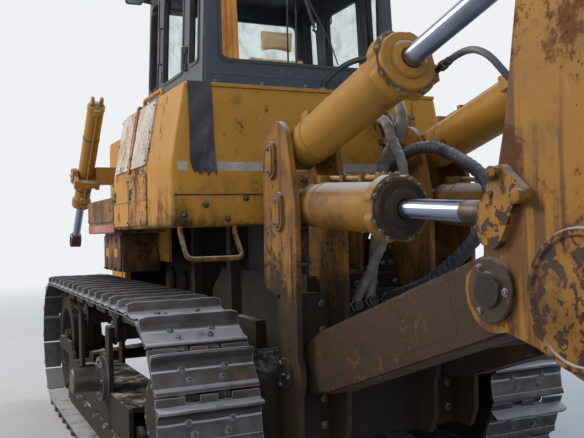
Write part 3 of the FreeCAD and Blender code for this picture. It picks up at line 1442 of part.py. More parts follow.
os.makedirs("parts", exist_ok=True)
for name, feature in nodes.items():
    feature.Shape.exportStep(f"parts/{name}.step")

everything = Part.makeCompound([feature.Shape for feature in nodes.values()]).BoundBox
print(f"{len(nodes)} nodes, box {everything.XMin:.0f}..{everything.XMax:.0f}, "
      f"{everything.YMin:.0f}..{everything.YMax:.0f}, {everything.ZMin:.0f}..{everything.ZMax:.0f} mm")
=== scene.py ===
import json
import math

import bpy
import numpy as np
from mathutils import Matrix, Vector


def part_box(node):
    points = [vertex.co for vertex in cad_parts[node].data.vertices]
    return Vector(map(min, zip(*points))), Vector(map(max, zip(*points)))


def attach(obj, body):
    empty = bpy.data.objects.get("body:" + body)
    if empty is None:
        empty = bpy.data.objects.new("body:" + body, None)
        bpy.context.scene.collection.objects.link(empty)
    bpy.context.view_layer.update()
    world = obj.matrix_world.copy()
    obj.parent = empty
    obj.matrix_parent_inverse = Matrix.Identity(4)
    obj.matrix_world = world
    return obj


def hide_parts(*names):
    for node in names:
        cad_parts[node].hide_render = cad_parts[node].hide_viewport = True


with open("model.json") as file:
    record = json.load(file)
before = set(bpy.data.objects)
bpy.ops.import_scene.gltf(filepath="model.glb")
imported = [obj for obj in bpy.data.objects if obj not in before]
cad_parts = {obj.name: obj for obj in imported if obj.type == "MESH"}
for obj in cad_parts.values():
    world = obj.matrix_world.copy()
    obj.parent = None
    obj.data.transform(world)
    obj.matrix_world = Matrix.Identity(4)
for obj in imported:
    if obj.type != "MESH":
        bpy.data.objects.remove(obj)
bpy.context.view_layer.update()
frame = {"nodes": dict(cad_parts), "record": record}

bl_info = {
    "name": "Crawler bulldozer",
    "version": (1, 0, 0),
    "blender": (4, 5, 0),
    "location": "3D View > Sidebar > Bulldozer",
    "description": "Builds the visible pieces of a crawler bulldozer with a raised ripper",
    "category": "Add Mesh",
}

# Shapes are worked out in metres from the sprocket's axle: X forward, Y left, Z up from the ground.
# The frame's origin lies ahead of the axle, so every finished piece is moved by this much.
AXLE = np.array([-0.408, 0.0, 0.0])


def box_of(node):
    """Lowest and highest corner of a CAD node, counted from the sprocket's axle."""
    low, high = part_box(node)
    return np.array(low) - AXLE, np.array(high) - AXLE


# Axes of a flat drawing: rows are its first, second and outward direction.
SIDE = np.array([[1, 0, 0], [0, 0, 1], [0, 1, 0]], float)
REAR = np.array([[0, 1, 0], [0, 0, 1], [1, 0, 0]], float)
TOP = np.eye(3)


def unit(vector):
    vector = np.asarray(vector, float)
    return vector / np.linalg.norm(vector, axis=-1, keepdims=True)


def axes_along(direction, up=(0.0, 0.0, 1.0)):
    """Axes whose third row is a direction and whose second lies as near to up as it can."""
    w = unit(direction)
    u = np.cross(up, w)
    if np.linalg.norm(u) < 1e-6:
        u = np.cross((1.0, 0.0, 0.0), w)
    u = unit(u)
    return np.stack([u, np.cross(w, u), w])


# shapes: each returns points and lists of faces, with the faces pointing outwards


def grid_faces(rows, columns, closed=True):
    """Faces of a grid: each joins a point, its neighbour in the row and the two behind them."""
    i, j = np.meshgrid(np.arange(rows - 1), np.arange(columns if closed else columns - 1), indexing="ij")
    k = (j + 1) % columns
    return np.stack([i * columns + j, i * columns + k, (i + 1) * columns + k, (i + 1) * columns + j], -1).reshape(-1, 4)


def loft(rings, capped=True):
    """A skin over closed rings of equal count that run anticlockwise round the direction of travel."""
    rings = np.asarray(rings, float)
    rows, columns = rings.shape[:2]
    faces = [grid_faces(rows, columns)]
    if capped:
        start = np.arange(columns)[::-1][None]
        end = (np.arange(columns) + (rows - 1) * columns)[None]
        faces += [start, end]
    return rings.reshape(-1, 3), faces


def area_of(outline):
    x, y = outline[:, 0], outline[:, 1]
    return 0.5 * np.sum(x * np.roll(y, -1) - y * np.roll(x, -1))


def prism(outline, low, high):
    """A flat outline carried square to itself from low to high."""
    outline = np.asarray(outline, float)
    if area_of(outline) < 0:
        outline = outline[::-1]
    levels = np.array([low, high], float)
    rings = np.empty((2, len(outline), 3))
    rings[:, :, :2] = outline
    rings[:, :, 2] = levels[:, None]
    return loft(rings)


def hollow_prism(outer, inner, low, high):
    """The space between two outlines of equal count, carried from low to high: a closed ring of four bands."""
    outer, inner = np.asarray(outer, float), np.asarray(inner, float)
    if area_of(outer) < 0:
        outer, inner = outer[::-1], inner[::-1]
    count = len(outer)
    bands = np.empty((4, count, 3))
    for row, (line, level) in enumerate(((outer, low), (outer, high), (inner, high), (inner, low))):
        bands[row, :, :2] = line
        bands[row, :, 2] = level
    faces = grid_faces(4, count)
    j = np.arange(count)
    k = (j + 1) % count
    last = np.stack([3 * count + j, 3 * count + k, k, j], -1)
    return bands.reshape(-1, 3), [np.concatenate([faces, last])]


def turned(profile, sides=48):
    """A profile of (along, radius) points turned about its own third axis."""
    profile = np.asarray(profile, float)
    angle = np.linspace(0, 2 * np.pi, sides, endpoint=False)
    rings = np.empty((len(profile), sides, 3))
    rings[..., 0] = profile[:, 1:2] * np.cos(angle)
    rings[..., 1] = profile[:, 1:2] * np.sin(angle)
    rings[..., 2] = profile[:, :1]
    if profile[-1, 0] < profile[0, 0]:
        rings = rings[:, ::-1]
    return loft(rings)


def turned_ring(profile, sides=48):
    """A closed profile of (along, radius) points, none of them on the axis, turned about the third axis."""
    profile = np.asarray(profile, float)
    if area_of(profile) > 0:
        profile = profile[::-1]
    angle = np.linspace(0, 2 * np.pi, sides, endpoint=False)
    rings = np.empty((len(profile) + 1, sides, 3))
    looped = np.concatenate([profile, profile[:1]])
    rings[..., 0] = looped[:, 1:2] * np.cos(angle)
    rings[..., 1] = looped[:, 1:2] * np.sin(angle)
    rings[..., 2] = looped[:, :1]
    count = len(profile)
    faces = grid_faces(count + 1, sides) % (count * sides)
    return rings[:-1].reshape(-1, 3), [faces[:, ::-1]]


def bent(points, radius, steps=6):
    """A path of straight runs whose corners are rounded: each corner becomes an arc that leaves both runs
    smoothly, worked out as a quadratic curve between the two points a radius away from the corner."""
    points = np.asarray(points, float)
    share = np.linspace(0, 1, steps + 1)[:, None]
    path = [points[:1]]
    for before, corner, after in zip(points, points[1:], points[2:]):
        a = corner + unit(before - corner) * min(radius, 0.49 * np.linalg.norm(before - corner))
        b = corner + unit(after - corner) * min(radius, 0.49 * np.linalg.norm(after - corner))
        path.append(a * (1 - share) ** 2 + 2 * corner * share * (1 - share) + b * share ** 2)
    path.append(points[-1:])
    return np.concatenate(path)


def tube(path, radius, sides=12):
    """A round bar along a path: rings square to it, each turned from the one before by the least angle."""
    path = np.asarray(path, float)
    tangent = unit(np.gradient(path, axis=0))
    normals = np.empty_like(path)
    start = axes_along(tangent[0])[0]
    for row, direction in enumerate(tangent):
        start = unit(start - direction * np.dot(start, direction))
        normals[row] = start
    sideways = np.cross(tangent, normals)
    angle = np.linspace(0, 2 * np.pi, sides, endpoint=False)[None, :, None]
    size = np.broadcast_to(np.asarray(radius, float), len(path))[:, None, None]
    rings = path[:, None] + size * (normals[:, None] * np.cos(angle) + sideways[:, None] * np.sin(angle))
    return loft(rings)


def rounded(points, radius, steps=4):
    """A flat outline with its corners rounded: radius is one number or one for each corner."""
    points = np.asarray(points, float)
    radii = np.broadcast_to(np.asarray(radius, float), len(points))
    share = np.linspace(0, 1, steps + 1)[:, None]
    outline = []
    for before, corner, after, size in zip(np.roll(points, 1, 0), points, np.roll(points, -1, 0), radii):
        back, on = before - corner, after - corner
        if size <= 0:
            outline.append(corner[None])
            continue
        reach = min(size, 0.49 * np.linalg.norm(back), 0.49 * np.linalg.norm(on))
        a, b = corner + unit(back) * reach, corner + unit(on) * reach
        outline.append(a * (1 - share) ** 2 + 2 * corner * share * (1 - share) + b * share ** 2)
    return np.concatenate(outline)


def rectangle(u0, u1, v0, v1, radius=0.0, steps=4):
    return rounded([(u0, v0), (u1, v0), (u1, v1), (u0, v1)], radius, steps)


def disc(u, v, radius, count=32):
    angle = np.linspace(0, 2 * np.pi, count, endpoint=False)
    return np.stack([u + radius * np.cos(angle), v + radius * np.sin(angle)], -1)


def block(x0, x1, y0, y1, z0, z1):
    """A block between three pairs of planes, as a prism that stands on its lowest face."""
    return prism([(x0, y0), (x1, y0), (x1, y1), (x0, y1)], z0, z1)


BOLT = turned([(0, 0.9), (0.02, 1.3), (0.25, 1.3), (0.27, 1.0), (0.8, 1.0), (1.0, 0.82), (1.06, 0.5)], 12)
DOME = turned([(0, 1.0), (0.3, 0.98), (0.6, 0.8), (0.82, 0.5), (0.9, 0.2)], 12)


class Surface:
    """The points and faces of one piece, gathered from shapes; each face carries a material's number."""

    def __init__(self):
        self.points, self.faces, self.paint, self.count = [], [], [], 0

    def add(self, shape, axes=TOP, origin=(0, 0, 0), paint=0, scale=1.0):
        """Put a shape in place: its own axes become the rows of axes, and a mirror turns its faces round."""
        points, faces = shape
        axes = np.asarray(axes, float)
        placed = (points * scale) @ axes + np.asarray(origin, float)
        turn = np.linalg.det(axes) < 0
        for group in faces:
            group = group[:, ::-1] if turn else group
            self.faces.append(group + self.count)
            self.paint.append(np.full(len(group), paint))
        self.points.append(placed)
        self.count += len(placed)
        return self

    def scatter(self, shape, origins, axes=TOP, paint=0, scale=1.0):
        """Copies of a shape at many places, worked out as one array."""
        points, faces = shape
        origins = np.asarray(origins, float).reshape(-1, 3)
        axes = np.broadcast_to(np.asarray(axes, float), (len(origins), 3, 3))
        scales = np.broadcast_to(np.asarray(scale, float), len(origins))
        placed = np.einsum("pi,nij->npj", points, axes) * scales[:, None, None] + origins[:, None]
        turn = np.linalg.det(axes[0]) < 0
        shift = (np.arange(len(origins)) * len(points))[:, None, None]
        for group in faces:
            group = group[:, ::-1] if turn else group
            spread = (group[None] + shift).reshape(-1, group.shape[1]) + self.count
            self.faces.append(spread)
            self.paint.append(np.full(len(spread), paint))
        self.points.append(placed.reshape(-1, 3))
        self.count += len(points) * len(origins)
        return self

    def join(self, other, paint=None):
        for group in other.faces:
            self.faces.append(group + self.count)
        self.paint += [np.full(len(p), paint) if paint is not None else p for p in other.paint]
        self.points += other.points
        self.count += other.count
        return self

    def mirrored(self):
        """The same piece on the machine's other side."""
        twin = Surface()
        twin.points = [p * (1, -1, 1) for p in self.points]
        twin.faces = [f[:, ::-1] for f in self.faces]
        twin.paint, twin.count = list(self.paint), self.count
        return twin


def piece(name, surface, materials, body="hull", replaces=(), bevel=0.0, angle=35, steps=2):
    """A finished object: its mesh filled from the arrays, its place in its mesh, riding on a body."""
    points = np.concatenate(surface.points) + AXLE
    sizes = np.concatenate([np.full(len(f), f.shape[1]) for f in surface.faces])
    loops = np.concatenate([f.ravel() for f in surface.faces])
    paint = np.concatenate(surface.paint)
    mesh = bpy.data.meshes.new(name)
    mesh.vertices.add(len(points))
    mesh.vertices.foreach_set("co", points.ravel())
    mesh.loops.add(len(loops))
    mesh.polygons.add(len(sizes))
    mesh.polygons.foreach_set("loop_start", np.concatenate([[0], np.cumsum(sizes)[:-1]]))
    mesh.polygons.foreach_set("vertices", loops)
    mesh.update(calc_edges=True)
    mesh.validate()
    for material in materials:
        mesh.materials.append(bpy.data.materials[material])
    mesh.polygons.foreach_set("material_index", paint)
    mesh.polygons.foreach_set("use_smooth", np.ones(len(sizes), bool))
    mesh.set_sharp_from_angle(angle=math.radians(angle))
    thing = bpy.data.objects.new(name, mesh)
    bpy.context.scene.collection.objects.link(thing)
    if bevel:
        edge = thing.modifiers.new("Edges", "BEVEL")
        edge.width, edge.segments, edge.limit_method = bevel, steps, "ANGLE"
        edge.angle_limit = math.radians(angle)
        edge.use_clamp_overlap, edge.harden_normals = True, True
    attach(thing, body)
    if replaces:
        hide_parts(*replaces)
    return thing


# materials: the effects are node groups, each with named values, and every material sets its own


def put(tree, kind, inputs=None, **settings):
    """A node with its settings made and its inputs linked or set."""
    node = tree.nodes.new(kind)
    for key, value in settings.items():
        setattr(node, key, value)
    for key, value in (inputs or {}).items():
        if isinstance(value, bpy.types.NodeSocket):
            tree.links.new(value, node.inputs[key])
        else:
            node.inputs[key].default_value = value
    return node


def calc(tree, operation, a, b=0.0, clamp=False):
    return put(tree, "ShaderNodeMath", {0: a, 1: b}, operation=operation, use_clamp=clamp).outputs[0]


def remap(tree, value, low, high, to_low=0.0, to_high=1.0):
    return put(tree, "ShaderNodeMapRange", {"Value": value, "From Min": low, "From Max": high,
                                            "To Min": to_low, "To Max": to_high}).outputs["Result"]


def mix(tree, share, a, b, blend="MIX"):
    node = put(tree, "ShaderNodeMix", data_type="RGBA", blend_type=blend)
    for socket, value in ((node.inputs[0], share), (node.inputs[6], a), (node.inputs[7], b)):
        if isinstance(value, bpy.types.NodeSocket):
            tree.links.new(value, socket)
        else:
            socket.default_value = value
    return node.outputs[2]


def noise(tree, where, scale, detail=4.0, rough=0.6, twist=0.0):
    return put(tree, "ShaderNodeTexNoise", {"Vector": where, "Scale": scale, "Detail": detail, "Roughness": rough,
                                            "Distortion": twist}).outputs["Fac"]


def stretched(tree, where, scale, shift=0.0):
    """Coordinates scaled along each axis, for streaks and grain."""
    moved = put(tree, "ShaderNodeVectorMath", {0: where, 1: (shift, shift * 0.7, shift * 1.3)}, operation="ADD")
    return put(tree, "ShaderNodeVectorMath", {0: moved.outputs[0], 1: scale}, operation="MULTIPLY").outputs[0]


def effect(name, inputs, outputs):
    """An empty node group with its sockets: (name, kind, default)."""
    tree = bpy.data.node_groups.new(name, "ShaderNodeTree")
    for label, kind, value in inputs:
        socket = tree.interface.new_socket(label, in_out="INPUT", socket_type=f"NodeSocket{kind}")
        if value is not None:
            socket.default_value = value
    for label, kind in outputs:
        tree.interface.new_socket(label, in_out="OUTPUT", socket_type=f"NodeSocket{kind}")
    start, end = tree.nodes.new("NodeGroupInput"), tree.nodes.new("NodeGroupOutput")
    return tree, start.outputs, end.inputs


def edge_wear_group():
    """Where edges are rubbed: the normal of a rounded edge against the true one, broken up by noise."""
    tree, take, give = effect("EdgeWear", [("Width", "Float", 0.012), ("Amount", "Float", 0.5)], [("Mask", "Float")])
    where = put(tree, "ShaderNodeTexCoord").outputs["Object"]
    true = put(tree, "ShaderNodeNewGeometry").outputs["Normal"]
    soft = put(tree, "ShaderNodeBevel", {"Radius": take["Width"]}, samples=2).outputs["Normal"]
    dot = put(tree, "ShaderNodeVectorMath", {0: soft, 1: true}, operation="DOT_PRODUCT").outputs["Value"]
    bent_away = remap(tree, dot, 1.0, 0.8)
    ragged = remap(tree, noise(tree, where, 23.0, 6.0, 0.7), 0.35, 0.65)
    worn = calc(tree, "MULTIPLY", bent_away, calc(tree, "ADD", ragged, take["Amount"]))
    level = calc(tree, "SUBTRACT", 1.0, take["Amount"])
    tree.links.new(put(tree, "ShaderNodeMapRange", {"Value": worn, "From Min": calc(tree, "MULTIPLY", level, 0.6),
                                                    "From Max": calc(tree, "ADD", level, 0.15)}).outputs[0], give["Mask"])


def rust_group():
    """Patches of rust that run down as streaks: large blotches times tall thin noise, cut at a level."""
    tree, take, give = effect("RustPatches", [("Amount", "Float", 0.3), ("Scale", "Float", 3.0),
                                              ("Shift", "Float", 0.0)], [("Mask", "Float"), ("Depth", "Float")])
    where = put(tree, "ShaderNodeTexCoord").outputs["Object"]
    moved = put(tree, "ShaderNodeVectorMath", {0: where, 1: take["Shift"]}, operation="ADD").outputs[0]
    sized = put(tree, "ShaderNodeVectorMath", {0: moved, "Scale": take["Scale"]}, operation="SCALE").outputs[0]
    blotch = noise(tree, sized, 1.0, 8.0, 0.68, 0.4)
    streak = noise(tree, stretched(tree, sized, (5.0, 5.0, 0.55)), 1.0, 5.0, 0.6)
    speck = noise(tree, sized, 14.0, 6.0, 0.75)
    total = calc(tree, "ADD", calc(tree, "MULTIPLY", blotch, 0.62),
                 calc(tree, "ADD", calc(tree, "MULTIPLY", streak, 0.16), calc(tree, "MULTIPLY", speck, 0.22)))
    level = remap(tree, take["Amount"], 0.0, 1.0, 0.66, 0.36)
    over = calc(tree, "SUBTRACT", total, level)
    tree.links.new(remap(tree, over, 0.0, 0.035), give["Mask"])
    tree.links.new(remap(tree, over, 0.0, 0.12), give["Depth"])


def grime_and_corner_shade_group():
    """Dark dirt in clouds and runs, with painted shade in corners and recesses taken from the ambient occlusion of
    nearby surfaces.
    """
    tree, take, give = effect("GrimeFilm", [("Amount", "Float", 0.4), ("Scale", "Float", 4.0),
                                            ("Reach", "Float", 0.12)], [("Mask", "Float")])
    where = put(tree, "ShaderNodeTexCoord").outputs["Object"]
    # painted shade: ambient occlusion darkens corners, recesses and gaps between parts
    corner = put(tree, "ShaderNodeAmbientOcclusion", {"Distance": take["Reach"]}, samples=2, only_local=True)
    closed = remap(tree, corner.outputs["AO"], 1.0, 0.35)
    sized = put(tree, "ShaderNodeVectorMath", {0: where, "Scale": take["Scale"]}, operation="SCALE").outputs[0]
    cloud = noise(tree, sized, 1.0, 7.0, 0.62, 0.3)
    runs = noise(tree, stretched(tree, sized, (5.0, 5.0, 0.8)), 1.0, 5.0, 0.65)
    darkening = calc(tree, "ADD", calc(tree, "MULTIPLY", cloud, 0.75), calc(tree, "MULTIPLY", runs, 0.25))
    level = calc(tree, "SUBTRACT", 0.78, calc(tree, "MULTIPLY", take["Amount"], 0.5))
    spread = put(tree, "ShaderNodeMapRange", {"Value": darkening, "From Min": level,
                                              "From Max": calc(tree, "ADD", level, 0.22)}).outputs[0]
    total = calc(tree, "MAXIMUM", spread, calc(tree, "MULTIPLY", closed, calc(tree, "ADD", cloud, 0.35)))
    tree.links.new(calc(tree, "MULTIPLY", total, remap(tree, take["Amount"], 0.0, 0.35), True), give["Mask"])


def frost_group():
    """Thin frost: on faces that look up, in specks on upright ones."""
    tree, take, give = effect("FrostDust", [("Amount", "Float", 0.3), ("Specks", "Float", 0.1)], [("Mask", "Float")])
    where = put(tree, "ShaderNodeTexCoord").outputs["Object"]
    normal = put(tree, "ShaderNodeNewGeometry").outputs["Normal"]
    up = put(tree, "ShaderNodeSeparateXYZ", {0: normal}).outputs["Z"]
    patch = noise(tree, where, 5.0, 9.0, 0.7, 0.6)
    fine = noise(tree, where, 46.0, 5.0, 0.8)
    flat = calc(tree, "MULTIPLY", remap(tree, up, 0.55, 0.95),
                remap(tree, calc(tree, "ADD", patch, take["Amount"]), 0.72, 0.92))
    level = calc(tree, "SUBTRACT", 0.80, calc(tree, "MULTIPLY", take["Specks"], 0.35))
    specks = put(tree, "ShaderNodeMapRange", {"Value": calc(tree, "ADD", calc(tree, "MULTIPLY", fine, 0.55),
                                                            calc(tree, "MULTIPLY", patch, 0.45)),
                                              "From Min": level, "From Max": calc(tree, "ADD", level, 0.05)}).outputs[0]
    tree.links.new(calc(tree, "MAXIMUM", flat, specks, True), give["Mask"])


def mottle_group():
    """Uneven paint: slow changes of tone, faded patches and fine scratches, as a colour and a height."""
    tree, take, give = effect("PaintMottle", [("Color", "Color", (0.5, 0.3, 0.05, 1)), ("Faded", "Color", (0.6, 0.4, 0.1, 1)),
                                              ("Scratches", "Float", 0.2)], [("Color", "Color"), ("Height", "Float")])
    where = put(tree, "ShaderNodeTexCoord").outputs["Object"]
    slow = remap(tree, noise(tree, where, 1.6, 5.0, 0.6, 0.5), 0.32, 0.68)
    fine = noise(tree, where, 60.0, 4.0, 0.7)
    lines = noise(tree, stretched(tree, where, (3.0, 3.0, 120.0), 2.0), 1.0, 3.0, 0.5)
    cuts = noise(tree, stretched(tree, where, (70.0, 70.0, 6.0), 5.0), 1.0, 3.0, 0.5)
    scratch = remap(tree, calc(tree, "MAXIMUM", lines, cuts), 0.70, 0.74)
    base = mix(tree, slow, take["Color"], take["Faded"])
    toned = mix(tree, remap(tree, fine, 0.3, 0.7, 0.0, 0.25), base, mix(tree, 0.5, base, (0.02, 0.015, 0.01, 1)))
    tree.links.new(mix(tree, calc(tree, "MULTIPLY", scratch, take["Scratches"]), toned, (0.72, 0.66, 0.58, 1)), give["Color"])
    tree.links.new(calc(tree, "ADD", calc(tree, "MULTIPLY", fine, 0.5), calc(tree, "MULTIPLY", scratch, -0.5)), give["Height"])


def chips_group():
    """Small sharp chips in clusters: fine noise lifted by broad noise and cut at a level."""
    tree, take, give = effect("PaintChips", [("Amount", "Float", 0.3), ("Scale", "Float", 24.0)], [("Mask", "Float")])
    where = put(tree, "ShaderNodeTexCoord").outputs["Object"]
    sized = put(tree, "ShaderNodeVectorMath", {0: where, "Scale": take["Scale"]}, operation="SCALE").outputs[0]
    fine = noise(tree, sized, 1.0, 6.0, 0.58, 0.3)
    cluster = noise(tree, where, 2.7, 4.0, 0.6)
    total = calc(tree, "ADD", fine, calc(tree, "MULTIPLY", calc(tree, "SUBTRACT", cluster, 0.5), 0.65))
    level = calc(tree, "SUBTRACT", 0.76, calc(tree, "MULTIPLY", take["Amount"], 0.28))
    tree.links.new(put(tree, "ShaderNodeMapRange", {"Value": total, "From Min": level,
                                                    "From Max": calc(tree, "ADD", level, 0.018)}).outputs[0], give["Mask"])


def dark_below_group():
    """Darker up to a height: the height of the point, made ragged by broad and fine noise."""
    tree, take, give = effect("MudRise", [("Height", "Float", 1.1)], [("Mask", "Float")])
    where = put(tree, "ShaderNodeTexCoord").outputs["Object"]
    high = put(tree, "ShaderNodeSeparateXYZ", {0: where}).outputs["Z"]
    cloud = noise(tree, where, 3.0, 8.0, 0.7, 0.4)
    runs = noise(tree, stretched(tree, where, (11.0, 11.0, 1.6), 3.0), 1.0, 4.0, 0.6)
    ragged = calc(tree, "ADD", calc(tree, "MULTIPLY", cloud, 1.3), calc(tree, "MULTIPLY", runs, 0.7))
    level = calc(tree, "ADD", high, calc(tree, "SUBTRACT", 1.0, ragged))
    below = calc(tree, "SUBTRACT", take["Height"], level)
    tree.links.new(remap(tree, below, -0.10, 0.22), give["Mask"])


def runs_group():
    """Rust that has run straight down: narrow upright streaks where broad noise is high."""
    tree, take, give = effect("RustRuns", [("Amount", "Float", 0.3)], [("Mask", "Float")])
    where = put(tree, "ShaderNodeTexCoord").outputs["Object"]
    narrow = noise(tree, stretched(tree, where, (15.0, 15.0, 0.8), 4.0), 1.0, 5.0, 0.6)
    broad = noise(tree, stretched(tree, where, (1.8, 1.8, 1.1), 9.0), 1.0, 3.0, 0.5)
    total = calc(tree, "ADD", calc(tree, "MULTIPLY", narrow, 0.65), calc(tree, "MULTIPLY", broad, 0.55))
    level = calc(tree, "SUBTRACT", 0.80, calc(tree, "MULTIPLY", take["Amount"], 0.2))
    tree.links.new(remap(tree, calc(tree, "SUBTRACT", total, level), 0.0, 0.07, 0.0, 0.85), give["Mask"])


def use(tree, group, **values):
    node = tree.nodes.new("ShaderNodeGroup")
    node.node_tree = bpy.data.node_groups[group]
    for key, value in values.items():
        if isinstance(value, bpy.types.NodeSocket):
            tree.links.new(value, node.inputs[key])
        else:
            node.inputs[key].default_value = value
    return node.outputs


def blank(name):
    """A new material with its shader, ready to be wired."""
    material = bpy.data.materials.new(name)
    material.use_nodes = True
    tree = material.node_tree
    tree.nodes.clear()
    shader = put(tree, "ShaderNodeBsdfPrincipled")
    tree.links.new(shader.outputs[0], put(tree, "ShaderNodeOutputMaterial").inputs[0])
    return tree, shader.inputs


def rgba(colour):
    return (*colour, 1.0)


RUST_DARK = (0.045, 0.018, 0.008)
RUST_LIGHT = (0.20, 0.075, 0.022)
# near-black laid on as dirt, as painted shade in corners and where the paint darkens towards the bottom
GRIME_AND_SHADE = (0.012, 0.009, 0.007)
FROST = (0.62, 0.66, 0.72)
# dark brown laid on towards the bottom
LOW_DARK = (0.019, 0.014, 0.010)

# name: paint, faded paint, bare layer on edges, rust, rust's scale, dirt with painted corner shade, wear, frost,
# specks, scratches, roughness, height below which it darkens, chips
PAINTS = {
    "yellow_paint": ((0.48, 0.235, 0.024), (0.42, 0.20, 0.026), RUST_LIGHT, 0.30, 2.6, 0.44, 0.50, 0.32, 0.10, 0.15, 0.55, 1.15, 0.26),
    "tank_yellow": ((0.49, 0.240, 0.022), (0.40, 0.190, 0.022), RUST_LIGHT, 0.24, 2.2, 0.42, 0.48, 0.46, 0.14, 0.20, 0.54, 1.93, 0.05),
    # The side panels' pale faded tone is partly painted sky reflection, besides real frost specks and scratches.
    "panel_yellow": ((0.44, 0.250, 0.070), (0.50, 0.46, 0.38), RUST_LIGHT, 0.30, 2.4, 0.30, 0.60, 0.55, 0.92, 0.60, 0.62, 1.10, 0.30),
    "streaked_yellow": ((0.48, 0.215, 0.022), (0.42, 0.190, 0.026), RUST_DARK, 0.44, 1.9, 0.46, 0.65, 0.38, 0.10, 0.25, 0.60, 1.95, 0.62),
    "low_yellow": ((0.28, 0.130, 0.024), (0.22, 0.108, 0.03), RUST_DARK, 0.50, 1.8, 0.72, 0.65, 0.35, 0.24, 0.24, 0.66, 1.60, 0.50),
    # Painted shade: the ripper's beam, lugs, link, end discs, bracket, lift barrels and pin bosses carry darker copies
    # of the yellow, on top of their own dirt, rust and wear.
    "ripper_yellow": ((0.37, 0.176, 0.018), (0.28, 0.132, 0.018), RUST_DARK, 0.44, 2.3, 0.56, 0.66, 0.46, 0.10, 0.14, 0.58, 1.10, 0.26),
    "lug_yellow": ((0.36, 0.168, 0.018), (0.28, 0.130, 0.018), RUST_DARK, 0.30, 2.3, 0.60, 0.66, 0.46, 0.12, 0.14, 0.58, 1.10, 0.95),
    "arm_yellow": ((0.25, 0.110, 0.012), (0.120, 0.054, 0.012), RUST_DARK, 0.52, 2.0, 0.98, 0.66, 0.58, 0.20, 0.10, 0.62, 1.05, 1.25),
    "disc_yellow": ((0.30, 0.142, 0.015), (0.215, 0.100, 0.015), RUST_DARK, 0.42, 3.0, 0.62, 0.66, 0.52, 0.20, 0.10, 0.62, 0.80, 0.95),
    "bracket_yellow": ((0.34, 0.156, 0.016), (0.23, 0.105, 0.015), RUST_DARK, 0.40, 2.1, 0.66, 0.70, 0.46, 0.14, 0.14, 0.60, 1.60, 0.50),
    "cylinder_yellow": ((0.43, 0.212, 0.024), (0.34, 0.166, 0.024), RUST_DARK, 0.20, 3.2, 0.42, 0.40, 0.44, 0.08, 0.14, 0.50, 0.60, 0.10),
    "oiled_yellow": ((0.31, 0.148, 0.015), (0.22, 0.104, 0.014), RUST_DARK, 0.26, 3.0, 0.64, 0.40, 0.60, 0.12, 0.10, 0.44, 0.60, 0.15),
    "greasy_yellow": ((0.12, 0.058, 0.012), (0.060, 0.034, 0.012), GRIME_AND_SHADE, 0.34, 3.4, 0.95, 0.40, 0.30, 0.06, 0.08, 0.40, 0.60, 0.30),
    "dark_paint": ((0.038, 0.050, 0.072), (0.056, 0.070, 0.096), RUST_LIGHT, 0.14, 3.0, 0.20, 0.30, 0.35, 0.10, 0.16, 0.42, 0.60, 0.05),
    "grimy_steel": ((0.018, 0.014, 0.011), (0.034, 0.023, 0.015), RUST_LIGHT, 0.28, 2.2, 0.90, 0.22, 0.24, 0.10, 0.06, 0.78, 1.30, 0.10),
    "red_band": ((0.30, 0.075, 0.055), (0.40, 0.20, 0.15), RUST_DARK, 0.25, 3.0, 0.30, 0.50, 0.35, 0.20, 0.40, 0.60, 1.0, 0.30),
}
CHIP = (0.030, 0.014, 0.007)
# how much rust has run down each paint; the others have none
RUNS = {"ripper_yellow": 0.88, "bracket_yellow": 0.70, "streaked_yellow": 0.70, "tank_yellow": 0.40, "lug_yellow": 0.5}

# name: metal, second tone, roughness low, roughness high, rust, dirt with painted corner shade, frost, edge shine
METALS = {
    "track_steel": ((0.105, 0.108, 0.125), (0.060, 0.050, 0.044), 0.34, 0.62, 0.30, 0.48, 0.46, 0.95),
    "link_steel": ((0.050, 0.042, 0.036), (0.030, 0.023, 0.017), 0.50, 0.80, 0.40, 0.85, 0.25, 0.35),
    "worn_steel": ((0.17, 0.165, 0.165), (0.09, 0.086, 0.082), 0.34, 0.60, 0.24, 0.42, 0.25, 0.60),
    "bolt_steel": ((0.10, 0.092, 0.085), (0.060, 0.050, 0.040), 0.40, 0.65, 0.30, 0.55, 0.25, 0.50),
    "rusted_pipe": ((0.10, 0.055, 0.035), (0.055, 0.03, 0.02), 0.60, 0.85, 0.62, 0.40, 0.20, 0.20),
}


